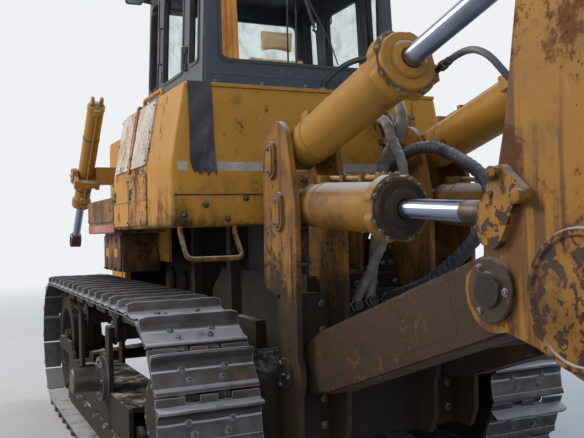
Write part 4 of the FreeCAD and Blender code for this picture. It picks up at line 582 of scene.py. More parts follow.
def painted(name, row):
    """Paint over steel: mottled colour, then dark dirt with painted shade in corners, rust, rubbed edges, darkening
    towards the bottom and frost laid over each other.
    """
    paint, faded, bare, rust, rust_scale, grime_and_shade, wear, frost, specks, scratches, rough, dark_height, chips = row
    tree, shader = blank(name)
    coat = use(tree, "PaintMottle", Color=rgba(paint), Faded=rgba(faded), Scratches=scratches)
    where = put(tree, "ShaderNodeTexCoord").outputs["Object"]
    rusted = use(tree, "RustPatches", Amount=rust, Scale=rust_scale, Shift=len(name) * 1.7)
    darkening = use(tree, "GrimeFilm", Amount=grime_and_shade)["Mask"]
    rubbed = use(tree, "EdgeWear", Amount=wear * 0.6)["Mask"]
    frosted = use(tree, "FrostDust", Amount=frost, Specks=specks)["Mask"]
    grain = noise(tree, where, 38.0, 6.0, 0.75)
    rust_tone = mix(tree, grain, rgba(RUST_DARK), rgba(RUST_LIGHT))
    # dirt and painted shade in corners darken the coat
    colour = mix(tree, calc(tree, "MULTIPLY", darkening, 0.88), coat["Color"], rgba(GRIME_AND_SHADE))
    colour = mix(tree, rusted["Mask"], colour, rust_tone)
    if name in RUNS:
        streaks = use(tree, "RustRuns", Amount=RUNS[name])["Mask"]
        colour = mix(tree, streaks, colour, mix(tree, grain, rgba(RUST_DARK), rgba((0.13, 0.050, 0.015))))
    colour = mix(tree, rubbed, colour, mix(tree, grain, rgba(bare), rgba((0.17, 0.13, 0.11))))
    chipped = use(tree, "PaintChips", Amount=chips)["Mask"]
    colour = mix(tree, chipped, colour, mix(tree, grain, rgba(CHIP), rgba(RUST_DARK)))
    # darker towards the bottom, up to the paint's height
    darkened_low = use(tree, "MudRise", Height=dark_height)["Mask"]
    colour = mix(tree, calc(tree, "MULTIPLY", darkened_low, 0.9), colour, mix(tree, grain, rgba(LOW_DARK), rgba(GRIME_AND_SHADE)))
    colour = mix(tree, calc(tree, "MULTIPLY", frosted, 0.8), colour, rgba(FROST))
    tree.links.new(colour, shader["Base Color"])
    dull = calc(tree, "MAXIMUM", calc(tree, "MAXIMUM", rusted["Mask"], frosted), darkened_low)
    tree.links.new(remap(tree, calc(tree, "ADD", dull, calc(tree, "MULTIPLY", darkening, -0.35)), -0.35, 1.0,
                         rough - 0.10, 0.90), shader["Roughness"])
    shader["Specular IOR Level"].default_value = 0.32
    raised = calc(tree, "ADD", calc(tree, "MULTIPLY", coat["Height"], 0.10),
                  calc(tree, "ADD", calc(tree, "MULTIPLY", calc(tree, "MULTIPLY", rusted["Depth"], grain), -0.9),
                       calc(tree, "ADD", calc(tree, "MULTIPLY", frosted, 0.5), calc(tree, "ADD", calc(tree, "MULTIPLY", darkened_low, grain),
                                                                           calc(tree, "MULTIPLY", chipped, -0.6)))))
    tree.links.new(put(tree, "ShaderNodeBump", {"Height": raised, "Strength": 0.55, "Distance": 0.003}).outputs[0],
                   shader["Normal"])


def metallic(name, row):
    """Bare steel: two tones and a roughness that change over it, with rust, dark dirt with painted shade in corners,
    frost and bright edges.
    """
    metal, second, rough_low, rough_high, rust, grime_and_shade, frost, shine = row
    tree, shader = blank(name)
    where = put(tree, "ShaderNodeTexCoord").outputs["Object"]
    cloud = noise(tree, where, 7.0, 7.0, 0.65, 0.4)
    grain = noise(tree, where, 55.0, 5.0, 0.7)
    rusted = use(tree, "RustPatches", Amount=rust, Scale=4.2, Shift=len(name) * 2.3)
    darkening = use(tree, "GrimeFilm", Amount=grime_and_shade, Scale=5.0)["Mask"]
    rubbed = use(tree, "EdgeWear", Amount=shine * 0.6, Width=0.008)["Mask"]
    frosted = use(tree, "FrostDust", Amount=frost, Specks=0.08)["Mask"]
    colour = mix(tree, remap(tree, cloud, 0.35, 0.65), rgba(metal), rgba(second))
    colour = mix(tree, rusted["Mask"], colour, mix(tree, grain, rgba(RUST_DARK), rgba(RUST_LIGHT)))
    # dirt and painted shade in corners darken the steel
    colour = mix(tree, calc(tree, "MULTIPLY", darkening, 0.9), colour, rgba(GRIME_AND_SHADE))
    colour = mix(tree, rubbed, colour, rgba((0.42, 0.45, 0.52)))
    colour = mix(tree, calc(tree, "MULTIPLY", frosted, 0.7), colour, rgba(FROST))
    tree.links.new(colour, shader["Base Color"])
    dull = calc(tree, "MAXIMUM", calc(tree, "MAXIMUM", rusted["Mask"], frosted), darkening)
    tree.links.new(remap(tree, dull, 0.0, 1.0, 0.85, 0.1), shader["Metallic"])
    tree.links.new(remap(tree, calc(tree, "MAXIMUM", dull, remap(tree, grain, 0.3, 0.7, 0.0, 0.5)), 0.0, 1.0,
                         rough_low, rough_high), shader["Roughness"])
    raised = calc(tree, "ADD", calc(tree, "MULTIPLY", grain, 0.35), calc(tree, "MULTIPLY", cloud, 0.6))
    tree.links.new(put(tree, "ShaderNodeBump", {"Height": raised, "Strength": 0.5, "Distance": 0.004}).outputs[0],
                   shader["Normal"])


def glass_material():
    tree, shader = blank("clear_glass")
    where = put(tree, "ShaderNodeTexCoord").outputs["Object"]
    smear = remap(tree, noise(tree, where, 6.0, 8.0, 0.65, 0.8), 0.45, 0.75)
    tree.links.new(mix(tree, smear, rgba((0.86, 0.90, 0.90)), rgba((0.60, 0.62, 0.60))), shader["Base Color"])
    tree.links.new(remap(tree, smear, 0.0, 1.0, 0.03, 0.22), shader["Roughness"])
    shader["Transmission Weight"].default_value = 1.0
    shader["IOR"].default_value = 1.03


def chrome_material():
    """Polished rod: a few dull spots in an even shine."""
    tree, shader = blank("chrome_rod")
    where = put(tree, "ShaderNodeTexCoord").outputs["Object"]
    dull = remap(tree, noise(tree, where, 5.0, 3.0, 0.5), 0.45, 0.75)
    tree.links.new(mix(tree, dull, rgba((0.25, 0.285, 0.37)), rgba((0.17, 0.20, 0.27))), shader["Base Color"])
    tree.links.new(remap(tree, dull, 0.0, 1.0, 0.24, 0.36), shader["Roughness"])
    shader["Metallic"].default_value = 1.0


def soft_material(name, colour, second, rough_low, rough_high, scale, depth, frost=0.0):
    """Rubber and plastic: two tones, a fine grain and dust."""
    tree, shader = blank(name)
    where = put(tree, "ShaderNodeTexCoord").outputs["Object"]
    cloud = noise(tree, where, scale * 0.12, 6.0, 0.65, 0.3)
    grain = noise(tree, where, scale, 5.0, 0.7)
    frosted = use(tree, "FrostDust", Amount=frost, Specks=frost * 0.6)["Mask"]
    tone = mix(tree, remap(tree, cloud, 0.35, 0.65), rgba(colour), rgba(second))
    tree.links.new(mix(tree, calc(tree, "MULTIPLY", frosted, 0.75), tone, rgba(FROST)), shader["Base Color"])
    tree.links.new(remap(tree, calc(tree, "MAXIMUM", grain, frosted), 0.3, 0.9, rough_low, rough_high), shader["Roughness"])
    raised = calc(tree, "ADD", grain, calc(tree, "MULTIPLY", cloud, 2.0))
    tree.links.new(put(tree, "ShaderNodeBump", {"Height": raised, "Strength": 0.5, "Distance": depth}).outputs[0],
                   shader["Normal"])


def woven_material(name, colour, second, threads, soil):
    """Cloth: two crossed sets of threads worked out from waves, with soiled patches."""
    tree, shader = blank(name)
    where = put(tree, "ShaderNodeTexCoord").outputs["Object"]
    warp = put(tree, "ShaderNodeTexWave", {"Vector": where, "Scale": threads, "Distortion": 0.4}, bands_direction="Z")
    weft = put(tree, "ShaderNodeTexWave", {"Vector": where, "Scale": threads, "Distortion": 0.4}, bands_direction="Y")
    weave = calc(tree, "MULTIPLY", warp.outputs["Fac"], weft.outputs["Fac"])
    soiled = remap(tree, noise(tree, where, 5.0, 6.0, 0.6), 0.42, 0.68)
    tone = mix(tree, weave, rgba(second), rgba(colour))
    tree.links.new(mix(tree, calc(tree, "MULTIPLY", soiled, soil), tone, rgba((0.12, 0.09, 0.06))), shader["Base Color"])
    tree.links.new(remap(tree, soiled, 0.0, 1.0, 0.92, 0.80), shader["Roughness"])
    shader["Sheen Weight"].default_value = 0.3
    tree.links.new(put(tree, "ShaderNodeBump", {"Height": weave, "Strength": 0.4, "Distance": 0.001}).outputs[0],
                   shader["Normal"])


def lens_material(name, colour):
    tree, shader = blank(name)
    where = put(tree, "ShaderNodeTexCoord").outputs["Object"]
    ribs = put(tree, "ShaderNodeTexWave", {"Vector": where, "Scale": 34.0}, bands_direction="Y").outputs["Fac"]
    tree.links.new(mix(tree, ribs, rgba(colour), rgba([c * 0.75 for c in colour])), shader["Base Color"])
    tree.links.new(remap(tree, ribs, 0.0, 1.0, 0.10, 0.22), shader["Roughness"])
    tree.links.new(put(tree, "ShaderNodeBump", {"Height": ribs, "Strength": 0.5, "Distance": 0.002}).outputs[0],
                   shader["Normal"])


def make_materials():
    chosen = bpy.context.scene.bulldozer_colours
    for plain in list(bpy.data.materials):
        plain.name = f"cad.{plain.name}"
    for build in (edge_wear_group, rust_group, grime_and_corner_shade_group, frost_group, mottle_group, chips_group, dark_below_group,
                  runs_group):
        build()
    for name, row in PAINTS.items():
        painted(name, (tuple(getattr(chosen, name, row[0])),) + row[1:])
    for name, row in METALS.items():
        metallic(name, row)
    glass_material()
    chrome_material()
    soft_material("black_rubber", (0.018, 0.020, 0.026), (0.035, 0.037, 0.044), 0.55, 0.85, 60.0, 0.002, 0.25)
    soft_material("flap_rubber", (0.028, 0.030, 0.044), (0.014, 0.016, 0.022), 0.38, 0.70, 34.0, 0.003, 0.30)
    soft_material("dark_plastic", (0.020, 0.021, 0.023), (0.040, 0.040, 0.042), 0.38, 0.60, 90.0, 0.001)
    soft_material("hose_sleeve", (0.18, 0.20, 0.23), (0.09, 0.10, 0.12), 0.45, 0.75, 120.0, 0.0015, 0.15)
    soft_material("blue_sleeve", (0.026, 0.036, 0.064), (0.060, 0.066, 0.082), 0.40, 0.70, 120.0, 0.0015, 0.30)
    soft_material("frosted_sleeve", (0.27, 0.25, 0.23), (0.13, 0.125, 0.12), 0.50, 0.80, 120.0, 0.0015, 0.45)
    woven_material("seat_cover", tuple(chosen.seat_cover), (0.80, 0.54, 0.30), 160.0, 0.12)
    woven_material("curtain_cloth", tuple(chosen.curtain_cloth), (0.70, 0.30, 0.06), 190.0, 0.10)
    lens_material("lamp_lens", (0.62, 0.64, 0.66))
    lens_material("red_lens", (0.34, 0.02, 0.015))
    soft_material("pale_tape", (0.46, 0.43, 0.42), (0.30, 0.27, 0.25), 0.35, 0.65, 80.0, 0.001, 0.3)


# Which finish each CAD node carries when no piece stands for it.
NODE_FINISH = {
    "yellow_paint": "yellow_paint", "dark_paint": "dark_paint", "grimy_steel": "grimy_steel",
    "track_steel": "track_steel", "worn_steel": "worn_steel", "chrome_rod": "chrome_rod", "clear_glass": "clear_glass",
    "black_rubber": "black_rubber", "seat_cover": "seat_cover", "dark_plastic": "dark_plastic",
    "rusted_pipe": "rusted_pipe",
}


OWN_FINISH = {"cab_floor": "grimy_steel", "hoist_yoke_left": "cylinder_yellow", "hoist_yoke_right": "cylinder_yellow"}


def finish_nodes():
    for row in frame["record"]["subparts"]:
        mesh = frame["nodes"][row["node"]].data
        material = bpy.data.materials[OWN_FINISH.get(row["node"], NODE_FINISH[row["material_slot"]])]
        if len(mesh.materials) == 0:
            mesh.materials.append(material)
        for number in range(len(mesh.materials)):
            mesh.materials[number] = material


# undercarriage

GAUGE = 1.130
WHEEL_BASE = 3.650
PITCH = WHEEL_BASE / 14
SHOES = 41
PIN_CIRCLE = PITCH * 13 / (2 * np.pi)
AXLE_HIGH = PIN_CIRCLE + 0.161
SHOE_BASE, SHOE_FACE, BAR_TIP = 0.062, 0.082, 0.161
SHOE_WIDE = 0.610


def chain_places():
    """Middle, travel and outward direction of each shoe: the pins lie a pitch apart along two straight runs and
    two half circles, and a shoe lies between its two pins."""
    way = np.arange(SHOES + 1) * PITCH
    turn = np.pi * PIN_CIRCLE
    front = np.clip(way - WHEEL_BASE, 0, turn) / PIN_CIRCLE
    rear = np.clip(way - 2 * WHEEL_BASE - turn, 0, turn) / PIN_CIRCLE
    x = (np.clip(way, 0, WHEEL_BASE) - np.clip(way - WHEEL_BASE - turn, 0, WHEEL_BASE)
         + PIN_CIRCLE * (np.sin(front) - np.sin(rear)))
    z = AXLE_HIGH - PIN_CIRCLE * np.cos(front + rear)
    pins = np.stack([x, np.full_like(x, GAUGE), z], -1)
    pins[-1] = pins[0]
    travel = unit(pins[1:] - pins[:-1])
    outward = np.stack([travel[:, 2], np.zeros(SHOES), -travel[:, 0]], -1)
    across = np.broadcast_to([0.0, 1.0, 0.0], (SHOES, 3))
    return pins[:-1], (pins[1:] + pins[:-1]) / 2, np.stack([travel, across, outward], 1)


def shoe_plate():
    """Plate of a shoe seen from outside: a long block whose leading end has two square notches."""
    half = PITCH / 2
    wide = SHOE_WIDE / 2
    lead, tail = -half - 0.012, half - 0.004
    notch, deep = 0.042, 0.036
    middle = 0.094
    outline = [(tail, -wide), (tail, wide), (lead, wide), (lead, middle + notch), (lead + deep, middle + notch),
               (lead + deep, middle - notch), (lead, middle - notch), (lead, notch - middle),
               (lead + deep, notch - middle), (lead + deep, -notch - middle), (lead, -notch - middle), (lead, -wide)]
    return prism(rounded(outline, 0.006, 2), SHOE_BASE, SHOE_FACE - 0.004)


def shoe_bars():
    """The bar of every shoe: one section with a hollow fillet, carried across the shoe, its tip worn unevenly by
    seeded noise that is small at a station and smooth between shoes."""
    stations = 15
    across = np.linspace(-SHOE_WIDE / 2, SHOE_WIDE / 2, stations)
    bar = -PITCH / 2 + 0.062
    section = np.array([(bar - 0.026, SHOE_BASE + 0.004), (bar + 0.075, SHOE_BASE + 0.004), (bar + 0.070, SHOE_FACE),
                        (bar + 0.038, SHOE_FACE + 0.010), (bar + 0.021, SHOE_FACE + 0.030), (bar + 0.014, BAR_TIP - 0.012),
                        (bar + 0.005, BAR_TIP - 0.001), (bar - 0.006, BAR_TIP - 0.001), (bar - 0.013, BAR_TIP - 0.012),
                        (bar - 0.018, SHOE_FACE + 0.020), (bar - 0.026, SHOE_FACE + 0.002)])
    rng = np.random.default_rng(7)
    wear = rng.normal(0, 1, (SHOES, stations, 1))
    wear = (wear + np.roll(wear, 1, 1) + np.roll(wear, -1, 1)) * 0.0016
    rings = np.empty((SHOES, stations, len(section), 3))
    rings[..., 0] = section[:, 0] + wear * 0.5
    rings[..., 1] = across[None, :, None]
    high = (section[:, 1] - SHOE_FACE) / (BAR_TIP - SHOE_FACE)
    rings[..., 2] = section[:, 1] - np.clip(high, 0, 1) * (np.abs(wear) + 0.002)
    tail = np.abs(across) / (SHOE_WIDE / 2)
    rings[..., 2] -= np.clip(high, 0, 1) * np.clip(tail - 0.94, 0, 1)[None, :, None] * 0.22
    return rings[:, :, ::-1]


def chain_link():
    """One side plate of a link: two round eyes joined by a waist, with a flat face for the rollers."""
    half = PITCH / 2
    outline = [(-half - 0.052, -0.030), (-half - 0.045, -0.066), (half + 0.045, -0.066), (half + 0.052, -0.030),
               (half + 0.052, 0.030), (half + 0.030, 0.058), (-half - 0.030, 0.058), (-half - 0.052, 0.030)]
    return prism(rounded(outline, 0.03, 3), -0.022, 0.022)


def track_surface():
    pins, middles, axes = chain_places()
    track = Surface()
    track.scatter(shoe_plate(), middles, axes)
    lip = prism(rounded([(PITCH / 2 - 0.034, SHOE_FACE - 0.006), (PITCH / 2 + 0.010, SHOE_FACE - 0.008),
                         (PITCH / 2 + 0.014, SHOE_FACE + 0.008), (PITCH / 2 - 0.004, SHOE_FACE + 0.012),
                         (PITCH / 2 - 0.030, SHOE_FACE + 0.002)], 0.006, 2), -SHOE_WIDE / 2, SHOE_WIDE / 2)
    swap = np.array([[1, 0, 0], [0, 0, 1], [0, 1, 0]], float)
    track.scatter(lip, middles, np.einsum("ij,njk->nik", swap, axes))
    face = prism([(-PITCH / 2 + 0.040, -SHOE_WIDE / 2), (PITCH / 2 - 0.008, -SHOE_WIDE / 2),
                  (PITCH / 2 - 0.008, SHOE_WIDE / 2), (-PITCH / 2 + 0.040, SHOE_WIDE / 2)], SHOE_BASE + 0.006, SHOE_FACE)
    track.scatter(face, middles, axes)
    rings = shoe_bars()
    faces = loft(rings[0])[1]
    flipped = [f[:, ::-1] for f in faces]
    for shoe in range(SHOES):
        track.add((rings[shoe].reshape(-1, 3), flipped), axes[shoe], middles[shoe])
    seats = np.array([(-0.004, 0.128), (-0.004, -0.128), (0.064, 0.098), (0.064, -0.098)])
    for along, across in seats:
        origins = middles + along * axes[:, 0] + across * axes[:, 1] + SHOE_FACE * axes[:, 2]
        track.scatter(BOLT, origins, axes, 2, 0.016)
    link = chain_link()
    for side in (-1, 1):
        for step, part in ((0.080, 0), (0.108, 1)):
            turned_out = np.stack([axes[:, 0], axes[:, 2], axes[:, 1]], 1)
            origins = (middles + side * (step + 0.0) * axes[:, 1])
            track.scatter(link, origins[part::2], turned_out[part::2], 1)
    bush = turned([(-0.062, 0.036), (0.062, 0.036)], 14)
    pin = turned([(-0.134, 0.022), (-0.130, 0.026), (0.130, 0.026), (0.134, 0.022)], 12)
    across_axes = np.stack([axes[:, 2], axes[:, 0], axes[:, 1]], 1)
    track.scatter(bush, pins, across_axes, 1)
    track.scatter(pin, pins, across_axes, 1)
    return track


def bolt_ring(surface, centre, radius, count, axes, size=0.014, paint=2, shape=BOLT, start=0.0):
    """Bolt heads evenly round a circle that is square to the third axis."""
    angle = start + np.arange(count) * 2 * np.pi / count
    axes = np.asarray(axes, float)
    origins = (np.asarray(centre, float) + radius * np.cos(angle)[:, None] * axes[0]
               + radius * np.sin(angle)[:, None] * axes[1])
    surface.scatter(shape, origins, axes, paint, size)


def sprocket_outline():
    """One tooth every half pitch: a rounded tip, straight flanks and a round seat for the bush."""
    teeth = 26
    share = 2 * np.pi / teeth
    marks = np.array([(-0.50, 0.506), (-0.40, 0.508), (-0.24, 0.542), (-0.13, 0.554), (0.13, 0.554), (0.24, 0.542),
                      (0.40, 0.508)])
    angle = (np.arange(teeth)[:, None] + marks[:, 0]) * share
    radius = np.broadcast_to(marks[:, 1], angle.shape)
    return np.stack([radius * np.sin(angle), radius * np.cos(angle)], -1).reshape(-1, 2)


def roller_profile(radius):
    """Double-flanged roller from end to end: treads under both chain rails, a flange each side of each."""
    flange, rim, neck, half = radius + 0.020, 0.126, 0.060, 0.150
    return [(-0.165, 0.042), (-0.150, 0.044), (-0.150, radius - 0.03), (-0.146, radius), (-0.143, flange - 0.003),
            (-0.138, flange), (-rim - 0.004, flange), (-rim, radius), (-neck, radius), (-neck + 0.006, radius - 0.016),
            (neck - 0.006, radius - 0.016), (neck, radius), (rim, radius), (rim + 0.004, flange), (0.138, flange),
            (0.143, flange - 0.003), (0.146, radius), (0.150, radius - 0.03), (0.150, 0.044), (0.165, 0.042)]


ACROSS = np.array([[0, 0, 1], [1, 0, 0], [0, 1, 0]], float)


def running_gear_surface():
    gear = Surface()
    hub = (0, GAUGE, AXLE_HIGH)
    count = len(sprocket_outline())
    gear.add(hollow_prism(sprocket_outline(), 0.20 * unit(sprocket_outline()), -0.046, 0.046), SIDE, hub)
    gear.add(turned([(-0.05, 0.21), (0.05, 0.40), (0.056, 0.398), (0.056, 0.30), (0.10, 0.26), (0.150, 0.235),
                     (0.172, 0.20), (0.176, 0.12)], 56), ACROSS, hub)
    bolt_ring(gear, (0, GAUGE + 0.056, AXLE_HIGH), 0.352, 20, ACROSS, 0.015)
    bolt_ring(gear, (0, GAUGE + 0.168, AXLE_HIGH), 0.17, 10, ACROSS, 0.012)
    low_z = AXLE_HIGH - PIN_CIRCLE + 0.070 + 0.122
    top_z = AXLE_HIGH + PIN_CIRCLE - 0.070 - 0.092
    rollers = [(0.640 + 0.395 * n, low_z, 0.122) for n in range(7)] + [(1.240 + 1.230 * n, top_z, 0.092) for n in range(2)]
    for x, z, radius in rollers:
        gear.add(turned(roller_profile(radius), 40), ACROSS, (x, GAUGE, z))
        bolt_ring(gear, (x, GAUGE + 0.150, z), radius * 0.62, 6, ACROSS, 0.010)
        gear.add(turned([(0.148, 0.058), (0.158, 0.054), (0.160, 0.02)], 20), ACROSS, (x, GAUGE, z))
    tread = PIN_CIRCLE - 0.070
    wheel = [(-0.165, 0.064), (-0.150, 0.070), (-0.150, 0.122), (-0.05, 0.135), (-0.045, 0.310), (-0.138, 0.350),
             (-0.141, tread - 0.012), (-0.132, tread), (-0.062, tread), (-0.052, tread + 0.026), (0.052, tread + 0.026),
             (0.062, tread), (0.132, tread), (0.141, tread - 0.012), (0.138, 0.350), (0.045, 0.310), (0.05, 0.135),
             (0.150, 0.122), (0.150, 0.070), (0.165, 0.064)]
    gear.add(turned(wheel, 72), ACROSS, (WHEEL_BASE, GAUGE, AXLE_HIGH))
    return gear


def track_frame_surface():
    """Two deep walls with a lid, posts for the top rollers, guards over the bottom rollers and the push arm's
    trunnion on the outer wall."""
    unitf = Surface()
    near, far, wall = GAUGE - 0.197, GAUGE + 0.197, 0.032
    side = [(0.54, 0.42), (0.63, 0.33), (3.06, 0.33), (3.15, 0.42), (3.17, 0.64), (3.65 + 0.11, 0.64), (3.65 + 0.15, 0.66),
            (3.65 + 0.15, 0.74), (3.65 + 0.11, 0.762), (3.01, 0.762), (2.89, 0.62), (0.54, 0.62)]
    side = rounded(side, 0.02, 3)
    for y in (near, far - wall):
        unitf.add(prism(side, y, y + wall), SIDE)
    unitf.add(block(0.586, 2.89, near + wall, far - wall, 0.580, 0.620))
    for x in (1.240, 2.470):
        for y in (near, far - wall):
            unitf.add(prism(rounded([(x - 0.07, 0.56), (x + 0.07, 0.56), (x + 0.07, 1.08), (x + 0.04, 1.12),
                                     (x - 0.04, 1.12), (x - 0.07, 1.08)], 0.02, 2), y, y + wall), SIDE)
    for y in (far, near - 0.018):
        unitf.add(prism(rounded([(0.74, 0.20), (3.0, 0.20), (3.06, 0.30), (2.98, 0.36), (0.76, 0.36), (0.68, 0.30)], 0.02, 2),
                        y, y + 0.018), SIDE)
    for x in np.arange(0.90, 3.0, 0.395):
        unitf.scatter(BOLT, [(x, far + 0.018, 0.33), (x + 0.05, far + 0.018, 0.33)], ACROSS, 2, 0.013)
    x, z = 1.350, 0.700
    unitf.add(prism(rounded([(x - 0.19, 0.54), (x + 0.19, 0.54), (x + 0.19, 0.84), (x + 0.14, 0.89), (x - 0.14, 0.89),
                             (x - 0.19, 0.84)], 0.03, 3), far - wall, far + 0.004), SIDE)
    unitf.add(turned([(-0.03, 0.19), (0.0, 0.171), (0.045, 0.168), (0.047, 0.098), (0.066, 0.0955), (0.243, 0.0955),
                      (0.252, 0.088), (0.253, 0.03)], 48), ACROSS, (x, far, z), 1)
    bolt_ring(unitf, (x, far + 0.045, z), 0.134, 8, ACROSS, 0.014)
    return unitf


def make_undercarriage():
    names = ["grimy_steel", "bolt_steel", "bolt_steel"]
    for build, title, node, bevel in ((running_gear_surface, "Running_gear", "running_gear", 0.0),
                                      (track_frame_surface, "Track_frame", "track_frame", 0.004)):
        left = build()
        for hand, surface in (("left", left), ("right", left.mirrored())):
            piece(f"{title}_{hand}", surface, names, replaces=[f"{node}_{hand}"], bevel=bevel)


# tank and side boxes

TANK = {"rear": 0.170, "front": 0.790, "low": 1.850, "bend": 2.285, "top": 2.822, "half": 1.100, "lean": 1.000}


def tank_section(grow=0.0):
    """Rear view of the tank: upright below the bend, leaning in above it."""
    half, lean = TANK["half"] + grow, TANK["lean"] + grow
    return [(-half, TANK["low"] - grow), (half, TANK["low"] - grow), (half, TANK["bend"]), (lean, TANK["top"] + grow),
            (-lean, TANK["top"] + grow), (-half, TANK["bend"])]


def leaned_y(z, side=1):
    """Outer side of the boxes at a height."""
    share = np.clip((np.asarray(z, float) - TANK["bend"]) / (TANK["top"] - TANK["bend"]), 0, 1)
    return side * (TANK["half"] - share * (TANK["half"] - TANK["lean"]))


def tank_surface():
    """A welded tank: its section carried forward, with round corners that a row of rings draws in at its rear end."""
    tank = Surface()
    steps = np.array([0.0, 0.008, 0.022, 0.045])
    inset = 0.045 - np.sqrt(np.clip(0.045 ** 2 - (0.045 - steps) ** 2, 0, None))
    section = rounded(tank_section(), 0.035, 4)
    middle = np.array([0.0, (TANK["low"] + TANK["top"]) / 2])
    reach = np.abs(section - middle).max(0)
    rings = []
    for depth, pull in zip(steps, inset):
        rings.append((TANK["rear"] + depth, pull))
    rings.append((TANK["front"], 0.0))
    stack = np.empty((len(rings), len(section), 3))
    for row, (x, pull) in enumerate(rings):
        stack[row, :, :2] = middle + (section - middle) * (1 - pull / reach)
        stack[row, :, 2] = x
    tank.add(loft(stack), REAR)
    for z, proud in ((2.062, 0.0025),):
        tank.add(block(TANK["rear"] - proud, TANK["rear"] + 0.004, -1.085, 1.085, z - 0.004, z + 0.004), paint=1)
    tank.add(block(TANK["rear"] - 0.006, TANK["rear"] + 0.02, -0.985, 0.985, TANK["top"] - 0.034, TANK["top"] - 0.012))
    for side in (-1, 1):
        tank.add(prism(rounded([(0.20, 2.825), (0.75, 2.825), (0.75, 2.815), (0.20, 2.815)], 0.0), side * 0.9, side * 0.915), SIDE)
        seats = [(TANK["rear"] - 0.001, side * y, z) for y, z in ((0.869, 1.993), (0.583, 2.038), (1.02, 1.93), (0.30, 1.93),
                                                                 (0.72, 1.90), (0.44, 1.90))]
        tank.scatter(DOME, seats, axes_along((-1, 0, 0)), 2, 0.020)
    tank.add(turned([(0, 0.075), (0.016, 0.075), (0.020, 0.062), (0.022, 0.03)], 28), axes_along((-1, 0, 0)),
             (TANK["rear"] + 0.002, 0.0, 2.02), 1)
    tank.add(turned([(0, 0.085), (0.05, 0.085), (0.055, 0.07), (0.075, 0.07), (0.080, 0.05)], 28), TOP, (0.30, -0.80, TANK["top"]), 1)
    return tank


def stripe_surface():
    """A thin reflective tape across the tank's rear, in two lengths on each side of the flap."""
    tape = Surface()
    low, high = 2.223, 2.281
    for y0, y1 in ((-1.055, 0.79), (0.99, 1.055)):
        tape.add(block(TANK["rear"] - 0.0015, TANK["rear"] + 0.002, y0, y1, low, high))
    return tape


def panel(u0, u1, v0, v1, radius=0.02, thick=0.014):
    return prism(rectangle(u0, u1, v0, v1, radius, 4), -0.004, thick)


def side_axes(side=1):
    """Axes of a drawing on the leaning part of a side box: forward, up the slope, outwards."""
    rise = TANK["top"] - TANK["bend"]
    lean = TANK["half"] - TANK["lean"]
    up = unit(np.array([0.0, -lean, rise]))
    return np.array([[1, 0, 0], up, np.cross([1, 0, 0], up) * -1])


def side_box_surface():
    """A tall box: upright below, leaning above, its front sloping back; doors, hinges and a pillar."""
    box = Surface()
    outline = rounded([(0.812, 1.850), (1.100, 1.850), (1.100, 2.285), (1.000, 2.822), (0.812, 2.822)],
                      [0.01, 0.02, 0.03, 0.03, 0.01], 3)
    rows = np.array([0.7905, 0.800, 1.880, 1.945, 1.960])
    pull = np.array([0.006, 0.0, 0.0, 0.0, 0.008])
    rings = np.empty((len(rows), len(outline), 3))
    middle = np.array([0.95, 2.30])
    rings[..., :2] = middle + (outline - middle) * (1 - pull / 0.3)[:, None, None]
    rings[..., 2] = rows[:, None]
    slope = np.clip((rings[..., 1] - TANK["bend"]) / (TANK["top"] - TANK["bend"]), 0, 1) * 0.080
    rings[..., 2] -= slope * np.clip((rows - 0.8) / 1.1, 0, 1)[:, None]
    box.add(loft(rings), REAR, paint=1)
    axes = side_axes()
    base = np.array([0.0, TANK["half"], TANK["bend"]])
    high = math.hypot(0.1, 0.537)
    for u0, u1 in ((0.815, 1.290), (1.375, 1.860)):
        box.add(panel(u0, u1, 0.030, high - 0.035), axes, base)
        box.add(prism(rectangle(u0 + 0.03, u1 - 0.03, 0.06, high - 0.065, 0.02), 0.012, 0.0165), axes, base)
        box.scatter(BOLT, base + np.array([(u, v, 0.014) for u in (u0 + 0.015, u1 - 0.015)
                                           for v in (0.06, high / 2, high - 0.07)]) @ axes, axes, 2, 0.008)
    box.add(prism(rectangle(1.300, 1.365, 0.0, high - 0.004, 0.008), -0.002, 0.022), axes, base, 1)
    for u0, u1 in ((0.815, 1.365), (1.385, 1.930)):
        box.add(prism(rectangle(u0, u1, 1.875, 2.255, 0.018), 1.096, 1.110), SIDE, paint=1 if u0 < 1 else 3)
        box.scatter(BOLT, [(u, 1.110, z) for u in (u0 + 0.02, u1 - 0.02) for z in (1.90, 2.065, 2.23)], ACROSS, 2, 0.009)
    box.add(prism(rectangle(0.80, 1.955, 2.060, 2.068, 0.0), 1.100, 1.113), SIDE, paint=1)
    for x in (1.30, 1.86):
        box.add(prism(rectangle(x - 0.035, x + 0.035, 2.13, 2.16, 0.008), 1.108, 1.126), SIDE, paint=2)
        box.add(turned([(1.108, 0.022), (1.124, 0.020), (1.126, 0.008)], 16), ACROSS, (x, 0, 2.10), 2)
    return box


